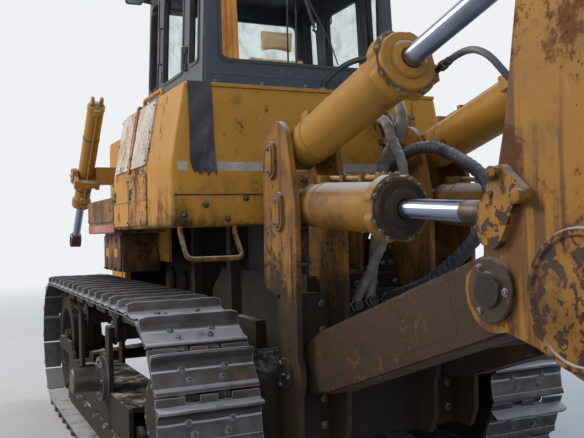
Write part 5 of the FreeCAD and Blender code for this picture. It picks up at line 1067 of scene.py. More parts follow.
def step_box_surface():
    """A low box ahead of the tall one: a deck with a tread plate, a faded band along its foot and two lockers
    hanging below, each with a lid, hinges and a latch."""
    box = Surface()
    box.add(prism(rectangle(1.9603, 3.180, 1.822, 2.135, 0.012, 3), 0.6403, 1.100), SIDE)
    box.add(prism(rectangle(2.0, 3.15, 0.68, 1.07, 0.01), 2.133, 2.141), TOP)
    box.add(prism(rectangle(1.965, 3.175, 1.830, 1.900, 0.006), 1.098, 1.106), SIDE, paint=3)
    box.add(prism(rectangle(1.975, 3.165, 1.925, 2.120, 0.014), 1.098, 1.110), SIDE)
    for x in (2.02, 2.56, 3.12):
        box.scatter(BOLT, [(x, 1.110, 1.945), (x, 1.110, 2.10)], ACROSS, 2, 0.010)
    box.add(prism(rounded([(2.180, 1.470), (2.960, 1.470), (2.960, 1.823), (2.220, 1.823)], 0.012, 3), 0.6403, 0.985), SIDE)
    for u0, u1 in ((2.215, 2.56), (2.59, 2.94)):
        box.add(prism(rectangle(u0, u1, 1.50, 1.80, 0.02), 0.983, 1.000), SIDE)
        box.add(prism(rectangle(u0 + 0.10, u1 - 0.10, 1.60, 1.68, 0.01), 0.998, 1.004), SIDE, paint=1)
        box.add(turned([(0.998, 0.020), (1.012, 0.018), (1.014, 0.006)], 14), ACROSS, ((u0 + u1) / 2, 0, 1.75), 2)
        box.scatter(turned([(-0.03, 0.012), (0.03, 0.012)], 10), [(u, 1.004, 1.49) for u in (u0 + 0.06, u1 - 0.06)],
                    axes_along((1, 0, 0)), 2)
    treads = np.array([(x, y, 2.141) for x in np.arange(2.03, 3.13, 0.055) for y in np.arange(0.71, 1.05, 0.055)])
    bar = prism(rectangle(-0.016, 0.016, -0.004, 0.004, 0.003, 2), -0.001, 0.0025)
    spun = np.array([[0.707, 0.707, 0], [-0.707, 0.707, 0], [0, 0, 1]])
    box.scatter(bar, treads[::2], spun, 1)
    box.scatter(bar, treads[1::2], spun * [[1, -1, 1], [-1, 1, 1], [1, 1, 1]], 1)
    return box


def make_boxes():
    piece("Tank", tank_surface(), ["tank_yellow", "grimy_steel", "bolt_steel"], replaces=["fuel_tank"], bevel=0.0)
    piece("Tank_tape", stripe_surface(), ["pale_tape"])
    tall, low = side_box_surface(), step_box_surface()
    for hand, upper, lower in (("left", tall, low), ("right", tall.mirrored(), low.mirrored())):
        piece(f"Side_box_{hand}", upper, ["panel_yellow", "streaked_yellow", "bolt_steel", "yellow_paint"], replaces=[f"side_box_{hand}"],
              bevel=0.003)
        piece(f"Step_box_{hand}", lower, ["low_yellow", "yellow_paint", "bolt_steel", "red_band"],
              replaces=[f"step_box_{hand}"], bevel=0.003)


# ripper

ARM = 0.464
PINS = {"tilt": (-0.410, 2.280), "lift": (-0.500, 1.965), "link": (-0.540, 0.967), "beam": (-2.380, 1.575),
        "lift_eye": (-2.430, 1.850), "tilt_eye": (-2.800, 2.900)}


def arc(u, v, radius, start, end, steps=10):
    """Points on a circle from one angle to another, in degrees."""
    angle = np.radians(np.linspace(start, end, steps + 1))
    return np.stack([u + radius * np.cos(angle), v + radius * np.sin(angle)], -1)


def bracket_outline():
    """Side view of a bracket plate: a tall plate with a round top and a round bulge behind the link's pin."""
    return np.concatenate([
        [(-0.262, 1.965), (-0.258, 2.280)], arc(-0.450, 2.280, 0.190, 8, 172, 14), [(-0.640, 2.280), (-0.716, 1.965)],
        arc(-0.570, 0.967, 0.175, 140, 220, 8), [(-0.700, 0.640), (-0.640, 0.520), (-0.480, 0.520), (-0.480, 1.400),
                                                 (-0.242, 1.470)]])


def pin_cap(surface, x, z, y, radius, side, paint=1):
    """A turned cap over a pin's end, with three bolts and a grease nipple."""
    axes = ACROSS * [[1, 1, 1], [1, 1, 1], [1, side, 1]]
    surface.add(turned([(-0.002, radius), (0.014, radius), (0.020, radius - 0.006), (0.021, radius * 0.55),
                        (0.015, radius * 0.50), (0.014, 0.012)], 40), axes, (x, y, z), paint)
    bolt_ring(surface, (x, y + side * 0.020, z), radius * 0.76, 3, axes, 0.012, start=0.5)
    surface.add(turned([(0.012, 0.011), (0.022, 0.010), (0.030, 0.005)], 12), axes, (x, y, z), 2)


def capsule_plate(surface, x, z, y, side, paint=0):
    """The keeper of a pin: an upright plate with round ends, bolted above and below the pin."""
    outline = np.concatenate([arc(0, 0.015, 0.062, 0, 180, 10), arc(0, -0.095, 0.062, 180, 360, 10)])
    axes = SIDE * [[1, 1, 1], [1, 1, 1], [1, side, 1]]
    surface.add(prism(outline, -0.002, 0.020), axes, (x, y, z), paint)
    surface.add(prism((outline + [0, 0.04]) * [0.72, 0.84] - [0, 0.04], 0.018, 0.028), axes, (x, y, z), paint)
    turned_out = ACROSS * [[1, 1, 1], [1, 1, 1], [1, side, 1]]
    surface.scatter(BOLT, [(x, y + side * 0.028, z + 0.028), (x, y + side * 0.028, z - 0.108)], turned_out, 2, 0.013)


def bracket_surface():
    bracket = Surface()
    outline = rounded(bracket_outline(), 0.012, 2)
    for middle in (0.620, 0.308, -0.308, -0.620):
        bracket.add(prism(outline, middle - 0.0175, middle + 0.0175), SIDE)
    bracket.add(prism(rectangle(-0.480, -0.440, 0.520, 1.430, 0.01), -0.6375, 0.6375), SIDE, paint=1)
    for side in (-1, 1):
        outer, inner = side * 0.6375, side * 0.2905
        for name in ("tilt", "lift"):
            x, z = PINS[name]
            capsule_plate(bracket, x, z, outer, side)
            pin_cap(bracket, x, z, inner, 0.086, -side)
            bracket.add(turned([(-0.1735, 0.052), (0.1735, 0.052)], 28), ACROSS, (x, side * ARM, z), 1)
        x, z = PINS["link"]
        pin_cap(bracket, x, z, outer, 0.096, side)
        pin_cap(bracket, x, z, inner, 0.096, -side)
        bracket.add(turned([(-0.1735, 0.052), (0.1735, 0.052)], 28), ACROSS, (x, side * ARM, z), 1)
        for z in (0.62, 0.78, 1.20, 1.36):
            bracket.scatter(BOLT, [(-0.482, side * y, z) for y in (0.36, 0.56)], axes_along((-1, 0, 0)), 2, 0.018)
        for middle in (0.620, 0.308):
            bracket.add(prism(rectangle(-0.66, -0.60, 1.42, 1.78, 0.01), middle - 0.024, middle + 0.024),
                        SIDE * [[1, 1, 1], [1, 1, 1], [1, side, 1]], paint=0)
    return bracket


def ring(centre, radius, bore, width, surface, paint=0, sides=40):
    """An eye: a round lug with a bored hole, its rims eased."""
    half = width / 2
    surface.add(turned_ring([(-half, bore), (half, bore), (half, radius - 0.006), (half - 0.006, radius),
                             (0.006 - half, radius), (-half, radius - 0.006)], sides), ACROSS, centre, paint)


def link_surface():
    """Two box arms, round at both pins, with a plate on each face and a tube between them."""
    link = Surface()
    front, rear = np.array(PINS["link"]), np.array(PINS["beam"])
    way = unit(rear - front)
    long = float(np.linalg.norm(rear - front))
    axes = np.array([[way[0], 0, way[1]], [way[1], 0, -way[0]], [0, 1, 0]])
    outline = rounded(np.concatenate([
        arc(0, 0, 0.122, 90, 270, 14), [(0.345, -0.172), (long - 0.12, -0.160)], arc(long, 0, 0.150, -90, 90, 16),
        [(long - 0.12, 0.160), (0.345, 0.172)]]), 0.004, 2)
    for side in (-1, 1):
        y = side * ARM
        origin = (front[0], y, front[1])
        link.add(prism(outline, -0.083, 0.083), axes, origin)
        for outer in (-0.095, 0.083):
            link.add(prism(outline * [0.985, 0.93] + [0.012, 0.0], outer, outer + 0.012), axes, origin)
        for point in ((0, 0), (long, 0)):
            centre = front + way * point[0]
            ring((centre[0], y, centre[1]), 0.125 if point[0] else 0.105, 0.053, 0.1905, link, 1)
        link.add(prism(rectangle(0.30, long - 0.35, -0.10, 0.10, 0.03), 0.094, 0.0965), axes, origin, 0)
    middle = (front + rear) / 2
    link.add(turned([(-0.37, 0.095), (0.37, 0.095)], 40), ACROSS, (middle[0], 0, middle[1]))
    for side in (-1, 1):
        link.add(turned([(0.36, 0.115), (0.372, 0.112)], 40), ACROSS * [[1, 1, 1], [1, 1, 1], [1, side, 1]],
                 (middle[0], 0, middle[1]))
    return link


def cheek_outline():
    """Side view of a beam plate: round about the link's pin, the lift rod's pin and the tilt rod's pin."""
    beam, lift, tilt = PINS["beam"], PINS["lift_eye"], PINS["tilt_eye"]
    return np.concatenate([
        arc(*beam, 0.160, 248, 378, 14), [(-2.335, 1.700)], arc(*lift, 0.105, -20, 32, 6),
        [(-2.425, 2.020), (-2.470, 2.190), (-2.545, 2.620)], arc(*tilt, 0.150, -18, 165, 14),
        [(-2.960, 2.840), (-3.010, 2.155), (-3.105, 1.775), (-3.105, 1.310), (-2.800, 1.310), (-2.600, 1.390)]])


LUG = np.array([(78, -104), (96, -60), (102, 0), (80, 55), (51, 75), (18, 140), (18, 175), (-54, 180), (-82, 151),
                (-170, 80), (-170, 45), (-107, 40), (-59, -51), (-22, -112), (20, -130)]) / 1000


def beam_surface():
    """Four plates, the cross beam with its round end plates, the lugs over the lift pins and the shank's socket."""
    beam = Surface()
    outline = rounded(cheek_outline(), 0.014, 2)
    for middle in (0.610, 0.318, -0.318, -0.610):
        beam.add(prism(outline, middle - 0.018, middle + 0.018), SIDE)
    beam.add(prism(rectangle(-3.065, -2.745, 1.425, 1.735, 0.03), -0.705, 0.705), SIDE)
    web = [(-3.099, 1.425), (-3.099, 1.777), (-3.004, 2.155), (-2.966, 2.700), (-2.949, 2.700), (-2.974, 2.155),
           (-3.059, 1.777), (-3.059, 1.425)]
    eye_x, eye_z = PINS["lift_eye"]
    for side in (-1, 1):
        mirror = np.array([[1, 1, 1], [1, 1, 1], [1, side, 1]])
        axes = ACROSS * mirror
        beam.add(turned([(-0.01, 0.224), (0.036, 0.224), (0.045, 0.217), (0.045, 0.199), (0.036, 0.194), (0.035, 0.10),
                         (0.041, 0.088), (0.042, 0.03)], 64), axes, (-2.905, side * 0.705, 1.58), 1)
        x, z = PINS["tilt_eye"]
        pin_cap(beam, x, z, side * 0.628, 0.080, side)
        for x, z in (PINS["tilt_eye"], PINS["lift_eye"]):
            pin_cap(beam, x, z, side * 0.300, 0.080, -side)
            beam.add(turned([(-0.165, 0.052), (0.165, 0.052)], 28), ACROSS, (x, side * ARM, z), 2)
        lug = rounded(LUG + [eye_x, eye_z], 0.018, 3)
        beam.add(prism(lug, 0.627, 0.658), SIDE * mirror, paint=3)
        for across, up in ((-0.018, 0.150), (-0.140, 0.062)):
            beam.add(turned([(0.627, 0.027), (0.684, 0.027), (0.688, 0.020), (0.689, 0.008)], 20), axes,
                     (eye_x + across, 0, eye_z + up), 1)
        beam.add(turned([(0.657, 0.016), (0.664, 0.015), (0.665, 0.006)], 14), axes, (eye_x + 0.018, 0, eye_z + 0.078), 3)
        near, far = (0.318, 0.610) if side > 0 else (-0.610, -0.318)
        beam.add(prism(web, near, far), SIDE)
        gusset = [(-2.745, 1.735), (-2.66, 1.70), (-2.66, 1.46), (-2.745, 1.425)]
        beam.add(prism(gusset, near, far), SIDE)
        seam = [(-2.744, side * 0.629, 1.44), (-2.744, side * 0.629, 1.72), (-3.05, side * 0.629, 1.72)]
        beam.add(tube(bent(seam, 0.03, 4), 0.007, 8), paint=0)
    beam.add(hollow_prism(rectangle(-3.615, -3.060, -0.105, 0.105, 0.02), rectangle(-3.560, -3.230, -0.050, 0.050, 0.004),
                          1.250, 1.940), TOP)
    for z in (1.42, 1.78):
        beam.add(turned([(-0.150, 0.042), (-0.135, 0.046), (0.135, 0.046), (0.150, 0.042)], 24), ACROSS, (-3.40, 0, z), 2)
    return beam


def shank_surface():
    """A flat shank that bends forward, with a replaceable tooth wedged over its toe."""
    shank = Surface()
    outline = [(-3.560, 2.330), (-3.230, 2.330), (-3.230, 0.900), (-3.150, 0.660), (-2.990, 0.400), (-3.290, 0.420),
               (-3.500, 0.550), (-3.560, 0.900)]
    shank.add(prism(rounded(outline, 0.04, 4), -0.050, 0.050), SIDE)
    tooth = [(-3.200, 0.560), (-3.060, 0.520), (-2.962, 0.350), (-2.962, 0.332), (-3.000, 0.332), (-3.270, 0.400)]
    shank.add(prism(rounded(tooth, 0.012, 3), -0.062, 0.062), SIDE, paint=1)
    for z in (1.10, 2.08, 2.22):
        shank.add(turned([(-0.053, 0.030), (0.053, 0.030)], 20), ACROSS, (-3.40, 0, z), 2)
    shank.add(turned([(-0.070, 0.018), (0.070, 0.018)], 16), ACROSS, (-3.14, 0, 0.47), 2)
    return shank


def link_pins_surface():
    pins = Surface()
    x, z = PINS["beam"]
    for side in (-1, 1):
        pins.add(turned([(-0.165, 0.052), (0.165, 0.052)], 32), ACROSS, (x, side * ARM, z), 1)
        pin_cap(pins, x, z, side * 0.629, 0.122, side, 0)
        axes = ACROSS * [[1, 1, 1], [1, 1, 1], [1, side, 1]]
        pins.add(turned([(0.018, 0.070), (0.034, 0.066), (0.036, 0.03)], 32), axes, (x, side * 0.629, z), 1)
        pins.add(turned([(-0.012, 0.070), (0.0, 0.072)], 32), axes * [[1, 1, 1], [1, 1, 1], [1, -1, 1]], (x, side * 0.300, z), 1)
    return pins


# hydraulic cylinders

CYLINDERS = {
    # barrel's pin, rod's eye, barrel, head, barrel's end, rod
    "lift": ("lift", "lift_eye", 0.131, 0.172, 1.060, 0.048),
    "tilt": ("tilt", "tilt_eye", 0.131, 0.176, 1.270, 0.050),
}


def cylinder_line(name):
    """Start, end and axes of a cylinder: outwards, up and along it."""
    start, end = (np.insert(np.array(PINS[key]), 1, 0.0) for key in CYLINDERS[name][:2])
    return start, end, axes_along(end - start)


def scalloped(radius, depth, lobes, count=96):
    """A round outline with a hollow between each two lobes."""
    angle = np.linspace(0, 2 * np.pi, count, endpoint=False)
    wave = np.clip((np.cos(angle * lobes) - 0.35) / 0.45, 0, 1)
    reach = radius - depth * wave * wave * (3 - 2 * wave)
    return np.stack([reach * np.cos(angle), reach * np.sin(angle)], -1)


def barrel_surface(name, side):
    """Tapered end, barrel, scalloped head with its bolts and gland, a port block at each end and the steel tube
    that joins them along the top."""
    _, _, radius, head, end, rod = CYLINDERS[name]
    start, _, axes = cylinder_line(name)
    start = start + [0, side * ARM, 0]
    barrel = Surface()
    barrel.add(turned([(0.080, 0.05), (0.085, radius * 0.66), (0.105, radius * 0.74), (0.150, radius - 0.004), (0.165, radius),
                       (0.30, radius), (0.302, radius + 0.004), (0.32, radius + 0.004), (0.322, radius),
                       (end - 0.19, radius), (end - 0.186, radius + 0.006), (end - 0.12, radius + 0.010),
                       (end - 0.090, radius + 0.012)], 64), axes, start)
    barrel.add(prism(scalloped(head, 0.016, 4), end - 0.098, end - 0.032), axes, start)
    barrel.add(turned([(end - 0.036, head - 0.024), (end - 0.008, head - 0.027), (end, head - 0.034),
                       (end, rod + 0.050), (end + 0.012, rod + 0.044), (end + 0.022, rod + 0.028), (end + 0.022, rod + 0.004),
                       (end + 0.006, rod + 0.001)], 64), axes, start, 1)
    for turn in np.arange(4) * np.pi / 2 + np.pi / 4:
        angles = turn + np.array([-0.36, 0.0, 0.36])
        spots = start + (head - 0.020) * (np.cos(angles)[:, None] * axes[0] + np.sin(angles)[:, None] * axes[1]) + (end - 0.031) * axes[2]
        barrel.scatter(BOLT, spots, axes, 2, 0.0125)
    ring(start, 0.096, 0.0525, 0.170, barrel)
    up = axes[1]
    flat = np.stack([axes[2], axes[0], axes[1]])
    port = prism(rectangle(end - 0.190, end - 0.100, -0.050, 0.050, 0.010), radius - 0.03, radius + 0.040)
    barrel.add(port, flat, start)
    rear_port = prism(rectangle(0.20, 0.29, -0.050, 0.050, 0.010), radius - 0.03, radius + 0.040)
    barrel.add(rear_port, flat, start)
    barrel.scatter(BOLT, start + np.array([(end - 0.145 + a, b, radius + 0.040) for a in (-0.03, 0.03) for b in (-0.036, 0.036)]) @ flat,
                   flat, 2, 0.009)
    high = radius + 0.024
    run = [(0.29, 0.02, high), (0.36, 0.02, high), (0.42, 0.02, high - 0.004), (end - 0.30, 0.02, high - 0.004),
           (end - 0.24, 0.02, high), (end - 0.19, 0.02, high)]
    barrel.add(tube(bent(start + np.array(run) @ flat, 0.05), 0.014, 12), paint=3)
    for along in (0.46, end - 0.40):
        barrel.add(prism(rectangle(along - 0.016, along + 0.016, -0.012, 0.052, 0.006), radius - 0.02, high + 0.014), flat, start)
        barrel.scatter(BOLT, [start + np.array((along, 0.044, high + 0.013)) @ flat], flat, 2, 0.008)
    inward = np.array([0.0, -side, 0.0])
    beside = np.stack([axes[2], inward, axes[1]])
    barrel.add(prism(rectangle(end - 0.190, end - 0.100, 0.106, 0.244, 0.014), -0.040, 0.040), beside, start)
    barrel.scatter(BOLT, start + np.array([(end - 0.145 + a, 0.214 + b, 0.040) for a in (-0.032, 0.032) for b in (-0.018, 0.018)])
                   @ beside, beside, 2, 0.008)
    nut = turned([(end - 0.102, 0.023), (end - 0.088, 0.023), (end - 0.086, 0.017), (end - 0.05, 0.017), (end - 0.048, 0.025),
                  (end - 0.008, 0.025), (end - 0.006, 0.021), (end + 0.030, 0.021), (end + 0.030, 0.017)], 6)
    barrel.add(nut, axes, start + inward * 0.214, 2)
    return barrel


def rod_surface(name, side):
    """Polished rod, a matt collar where it meets its eye, and the bored eye."""
    _, _, radius, head, end, rod = CYLINDERS[name]
    start, eye, axes = cylinder_line(name)
    long = float(np.linalg.norm(eye - start))
    start, eye = start + [0, side * ARM, 0], eye + [0, side * ARM, 0]
    shaft = Surface()
    shaft.add(turned([(end - 0.440, rod - 0.004), (end - 0.436, rod), (long - 0.175, rod), (long - 0.170, rod - 0.003)], 48),
              axes, start)
    shaft.add(turned([(long - 0.176, rod - 0.004), (long - 0.170, rod + 0.006), (long - 0.130, rod + 0.010),
                      (long - 0.080, rod + 0.022), (long - 0.06, rod + 0.022)], 40), axes, start, 1)
    matt = 0.400 if name == "lift" else 0.240
    shaft.add(turned([(long - matt, rod - 0.001), (long - matt + 0.001, rod + 0.0012), (long - 0.172, rod + 0.0012),
                      (long - 0.171, rod - 0.001)], 48), axes, start, 2)
    ring(eye, 0.096, 0.0525, 0.170, shaft, 1)
    return shaft


def make_ripper():
    paints = ["ripper_yellow", "worn_steel", "bolt_steel", "ripper_yellow"]
    # the ripper's paints are darker copies of the yellow: painted shade
    piece("Ripper_bracket", bracket_surface(), ["bracket_yellow", "grimy_steel", "bolt_steel"], replaces=["ripper_bracket"], bevel=0.004)
    piece("Ripper_link", link_surface(), ["arm_yellow", "greasy_yellow"], "ripper_link", ["ripper_link"], bevel=0.004)
    piece("Ripper_pins", link_pins_surface(), ["greasy_yellow", "grimy_steel", "bolt_steel"], "ripper_pins", ["ripper_pins"])
    piece("Ripper_beam", beam_surface(), ["ripper_yellow", "disc_yellow", "bolt_steel", "lug_yellow"], "ripper_beam", ["ripper_beam"], bevel=0.004)
    piece("Ripper_shank", shank_surface(), ["arm_yellow", "worn_steel", "bolt_steel"], "ripper_beam", ["ripper_shank"], bevel=0.006)
    for name, coat in (("lift", ["greasy_yellow", "grimy_steel", "bolt_steel", "cylinder_yellow"]),
                       ("tilt", ["cylinder_yellow", "cylinder_yellow", "bolt_steel", "yellow_paint"])):
        for side, hand in ((1, "left"), (-1, "right")):
            coats = list(coat)
            if name == "lift":
                coats[0] = "oiled_yellow"
            piece(f"{name.title()}_barrel_{hand}", barrel_surface(name, side), coats, f"{name}_barrels",
                  [f"{name}_barrel_{hand}"], bevel=0.003)
            piece(f"{name.title()}_rod_{hand}", rod_surface(name, side), ["chrome_rod", "arm_yellow", "bolt_steel"], f"{name}_rods",
                  [f"{name}_rod_{hand}"])


# hoses between each pair of barrels: half of a route, from the left nut to the machine's middle

HOSES = {
    "tilt_hose": ("Tilt_hose", "tilt_barrels", 1.37, [
        (-1.6686, 0.250, 2.6065), (-1.7865, 0.250, 2.637), (-1.935, 0.248, 2.585), (-2.025, 0.215, 2.460),
        (-2.062, 0.125, 2.365), (-2.075, 0.0, 2.325)]),
    "lift_hose": ("Lift_hose", "lift_barrels", 1.26, [
        (-1.5883, 0.250, 1.9001), (-1.700, 0.250, 1.8934), (-1.830, 0.248, 1.835), (-1.915, 0.212, 1.730),
        (-1.950, 0.122, 1.645), (-1.962, 0.0, 1.607)]),
}


def make_hoses():
    """Each hose is one smooth spline through its route and the route's mirror image."""
    wide = bpy.context.scene.bulldozer_sizes.hose_width
    for node, (name, body, length, half) in HOSES.items():
        route = np.array(half + [(x, -y, z) for x, y, z in reversed(half[:-1])]) + AXLE
        curve = bpy.data.curves.new(name, "CURVE")
        curve.dimensions, curve.resolution_u = "3D", 12
        spline = curve.splines.new("NURBS")
        spline.points.add(len(route) - 1)
        spline.points.foreach_set("co", np.c_[route, np.ones(len(route))].ravel())
        spline.order_u, spline.use_endpoint_u = 3, True
        curve.bevel_depth, curve.bevel_resolution, curve.use_fill_caps = wide / 2, 5, True
        curve.materials.append(bpy.data.materials["hose_sleeve"])
        thing = bpy.data.objects.new(name, curve)
        bpy.context.scene.collection.objects.link(thing)
        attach(thing, body)
        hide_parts(node)


# cab

CAB = {"rear": 0.400, "front": 1.900, "half": 0.800, "sill": 2.834, "eave": 3.880, "lean": 0.045, "wall": 0.046}
CAB_LOW, CAB_HIGH = 3.024, 3.770
DOORWAY = (0.794, 1.496, 2.944, 3.820)
LEAN_UP = unit(np.array([0.0, -CAB["lean"], CAB["eave"] - CAB["sill"]]))
CAB_SIDE = np.array([[1.0, 0.0, 0.0], LEAN_UP, [0.0, LEAN_UP[2], -LEAN_UP[1]]])
CAB_FOOT = np.array([0.0, CAB["half"], CAB["sill"]])
RISE = 1 / LEAN_UP[2]


def on_side(z):
    """Height up the leaning side of a level."""
    return (z - CAB["sill"]) * RISE


def window_wall(u0, u1, v0, v1, hole, radius, low, high):
    """A flat wall with one window: the space between its outline and a hole with round corners."""
    return hollow_prism(rectangle(u0, u1, v0, v1, 0.0005, 6), rectangle(*hole, radius, 6), low, high)


def gasket(surface, hole, radius, axes, origin, out, paint=1):
    """A rubber profile round a window, proud of both faces of its wall."""
    width = bpy.context.scene.bulldozer_sizes.gasket_width
    u0, u1, v0, v1 = hole
    inner = rectangle(u0 + width, u1 - width, v0 + width, v1 - width, max(radius - width, 0.01), 6)
    surface.add(hollow_prism(rectangle(u0 - 0.008, u1 + 0.008, v0 - 0.008, v1 + 0.008, radius + 0.006, 6), inner, -0.032, out),
                axes, origin, paint)


def cab_frame_surface():
    """Leaning sides and upright ends as walls with round-cornered windows, tubes at the corners, rubber profiles."""
    cab = Surface()
    wall, half = CAB["wall"], CAB["half"]
    sides = ((0.4005, 0.750, (0.490, 0.710, CAB_LOW, CAB_HIGH), 0.05), (0.750, 1.540, DOORWAY, 0.05),
             (1.540, 1.8995, (1.580, 1.810, CAB_LOW, CAB_HIGH), 0.05))
    left = Surface()
    for u0, u1, hole, radius in sides:
        placed = (hole[0], hole[1], on_side(hole[2]), on_side(hole[3]))
        left.add(window_wall(u0, u1, 0.0, on_side(CAB["eave"]), placed, radius, -wall, 0.0), CAB_SIDE, CAB_FOOT)
        if hole is not DOORWAY:
            gasket(left, placed, radius, CAB_SIDE, CAB_FOOT, 0.008)
    for x in (CAB["rear"] + 0.030, CAB["front"] - 0.030):
        foot, top = np.array([x, half - 0.030, CAB["sill"]]), np.array([x, half - CAB["lean"] - 0.030, CAB["eave"]])
        left.add(tube(np.stack([foot, foot * 0.5 + top * 0.5, top]), 0.033, 24))
    for z in (2.944 + 0.18 * 0.876, 2.944 + 0.82 * 0.876):
        spot = CAB_FOOT + LEAN_UP * on_side(z) + CAB_SIDE[2] * 0.022
        hinge = np.stack([CAB_SIDE[0], CAB_SIDE[2], LEAN_UP])
        for low, high in ((-0.090, -0.031), (0.031, 0.090)):
            left.add(turned([(low, 0.015), (low + 0.002, 0.017), (high - 0.002, 0.017), (high, 0.015)], 16), hinge,
                     spot + [0.797, 0, 0])
            left.add(prism(rectangle(0.757, 0.794, low + 0.003, high - 0.003, 0.003), -0.034, -0.003), CAB_SIDE,
                     CAB_FOOT + LEAN_UP * on_side(z) + CAB_SIDE[2] * 0.022)
        left.add(turned([(-0.095, 0.006), (-0.094, 0.011), (-0.09, 0.011), (0.09, 0.011), (0.096, 0.011), (0.097, 0.006)], 12),
                 hinge, spot + [0.797, 0, 0], 2)
    cab.join(left)
    cab.join(left.mirrored())
    high, corner = CAB["eave"], bpy.context.scene.bulldozer_sizes.window_round
    for x, outward, low, radius in ((CAB["rear"], -1, CAB_LOW, corner), (CAB["front"], 1, 2.894, corner)):
        hole = (-0.665, 0.665, low, CAB_HIGH)
        axes = REAR * [[1, 1, 1], [1, 1, 1], [outward, 1, 1]]
        lower, upper = half - 0.030, half - CAB["lean"] - 0.030
        outer = rounded([(-lower, CAB["sill"]), (lower, CAB["sill"]), (upper, high), (-upper, high)], 0.0005, 6)
        cab.add(hollow_prism(outer, rectangle(*hole, radius, 6), -wall, 0.0), axes, (x, 0, 0))
        gasket(cab, hole, radius, axes, (x, 0, 0), 0.010)
    rear = axes_along((-1, 0, 0))
    cab.scatter(BOLT, [(CAB["rear"], y, z) for y in (-0.70, -0.35, 0.0, 0.35, 0.70) for z in (2.87,)], rear, 2, 0.012)
    cab.scatter(DOME, [(CAB["rear"], y, 3.825) for y in (-0.6, -0.2, 0.2, 0.6)], rear, 2, 0.010)
    cab.add(prism(rectangle(-0.76, 0.76, 2.925, 2.935, 0.0), -0.002, 0.004), REAR * [[1, 1, 1], [1, 1, 1], [-1, 1, 1]],
            (CAB["rear"], 0, 0))
    return cab


def cab_roof_surface():
    """A pressed roof: its edge turned down, ribs along the top, a gutter and bolts at its corners."""
    roof = Surface()
    roof.add(prism(rectangle(0.330, 1.970, -0.825, 0.825, 0.09, 6), 3.880, 3.955), TOP)
    roof.add(prism(rectangle(0.36, 1.94, -0.795, 0.795, 0.08, 6), 3.950, 3.966), TOP)
    for y in (-0.55, -0.275, 0.0, 0.275, 0.55):
        roof.add(prism(rectangle(0.50, 1.80, y - 0.03, y + 0.03, 0.03, 4), 3.962, 3.970), TOP)
    roof.add(hollow_prism(rectangle(0.330, 1.970, -0.825, 0.825, 0.09, 6), rectangle(0.345, 1.955, -0.81, 0.81, 0.08, 6),
                          3.874, 3.884), TOP, paint=1)
    roof.scatter(BOLT, [(x, y, 3.966) for x in (0.42, 1.88) for y in (-0.72, 0.72)], TOP, 2, 0.014)
    return roof


def door_surface():
    """A door leaf with a round-cornered window, its rubber profile, a grab bar and a latch."""
    door = Surface()
    leaf = (0.800, 1.490, on_side(2.950), on_side(3.814))
    hole = (0.864, 1.426, on_side(3.014), on_side(3.750))
    door.add(hollow_prism(rectangle(*leaf, 0.045, 6), rectangle(*hole, 0.06, 6), -0.046, 0.0), CAB_SIDE, CAB_FOOT)
    gasket(door, hole, 0.06, CAB_SIDE, CAB_FOOT, 0.007)
    for z in (2.944 + 0.18 * 0.876, 2.944 + 0.82 * 0.876):
        hinge = np.stack([CAB_SIDE[0], CAB_SIDE[2], LEAN_UP])
        spot = CAB_FOOT + LEAN_UP * on_side(z) + CAB_SIDE[2] * 0.022
        door.add(turned_ring([(-0.029, 0.0085), (0.029, 0.0085), (0.029, 0.017), (-0.029, 0.017)], 16), hinge, spot + [0.797, 0, 0])
        door.add(prism(rectangle(0.803, 0.843, -0.028, 0.028, 0.003), -0.034, -0.022), CAB_SIDE, spot)
    bar = [(1.455, 3.20, 0.0), (1.455, 3.20, 0.030), (1.455, 3.50, 0.030), (1.455, 3.50, 0.0)]
    run = np.array([CAB_FOOT + CAB_SIDE[0] * x + LEAN_UP * on_side(z) + CAB_SIDE[2] * out for x, z, out in bar])
    door.add(tube(bent(run, 0.02), 0.009, 12), paint=2)
    door.add(prism(rectangle(1.436, 1.474, on_side(3.06), on_side(3.14), 0.008), -0.002, 0.016), CAB_SIDE, CAB_FOOT, 2)
    door.add(turned([(0.014, 0.012), (0.020, 0.012), (0.022, 0.006)], 14), np.stack([CAB_SIDE[0], LEAN_UP, CAB_SIDE[2]]),
             CAB_FOOT + [1.455, 0, 0] + LEAN_UP * on_side(3.10), 2)
    return door


def cab_trim_surface():
    """Two guard bars and a wiper at the rear window, mirrors on arms, and grab bars at the corners."""
    trim = Surface()
    for y in (0.115, 0.045):
        run = [(0.440, y, 3.03), (0.440, y, 3.40), (0.440, y, 3.765)]
        trim.add(tube(run, 0.007, 10), paint=1)
    run = [(0.392, -0.28, 3.05), (0.385, -0.22, 3.20), (0.388, -0.02, 3.55)]
    trim.add(tube(bent(run, 0.05), 0.005, 8), paint=1)
    trim.add(prism(rectangle(-0.012, 0.012, -0.20, 0.20, 0.008), -0.004, 0.004),
             axes_along((-1, 0, 0), (0, 0.35, 1.0)), (0.389, -0.02, 3.50), 1)
    for side in (-1, 1):
        arm = [(1.84, side * 0.76, 3.82), (1.86, side * 0.86, 3.84), (1.82, side * 0.91, 3.86)]
        trim.add(tube(bent(np.array(arm), 0.04), 0.011, 10), paint=1)
        face = axes_along((-1, 0, -0.08))
        trim.add(prism(rectangle(-0.075, 0.075, -0.085, 0.085, 0.03), -0.014, 0.010), face, (1.80, side * 0.925, 3.87), 1)
        trim.add(prism(rectangle(-0.066, 0.066, -0.076, 0.076, 0.026), 0.009, 0.012), face, (1.80, side * 0.925, 3.87), 2)
        rail = [(1.72, side * 0.778, 3.02), (1.72, side * 0.825, 3.04), (1.72, side * 0.792, 3.68), (1.72, side * 0.752, 3.70)]
        trim.add(tube(bent(np.array(rail), 0.03), 0.012, 12), paint=0)
    return trim


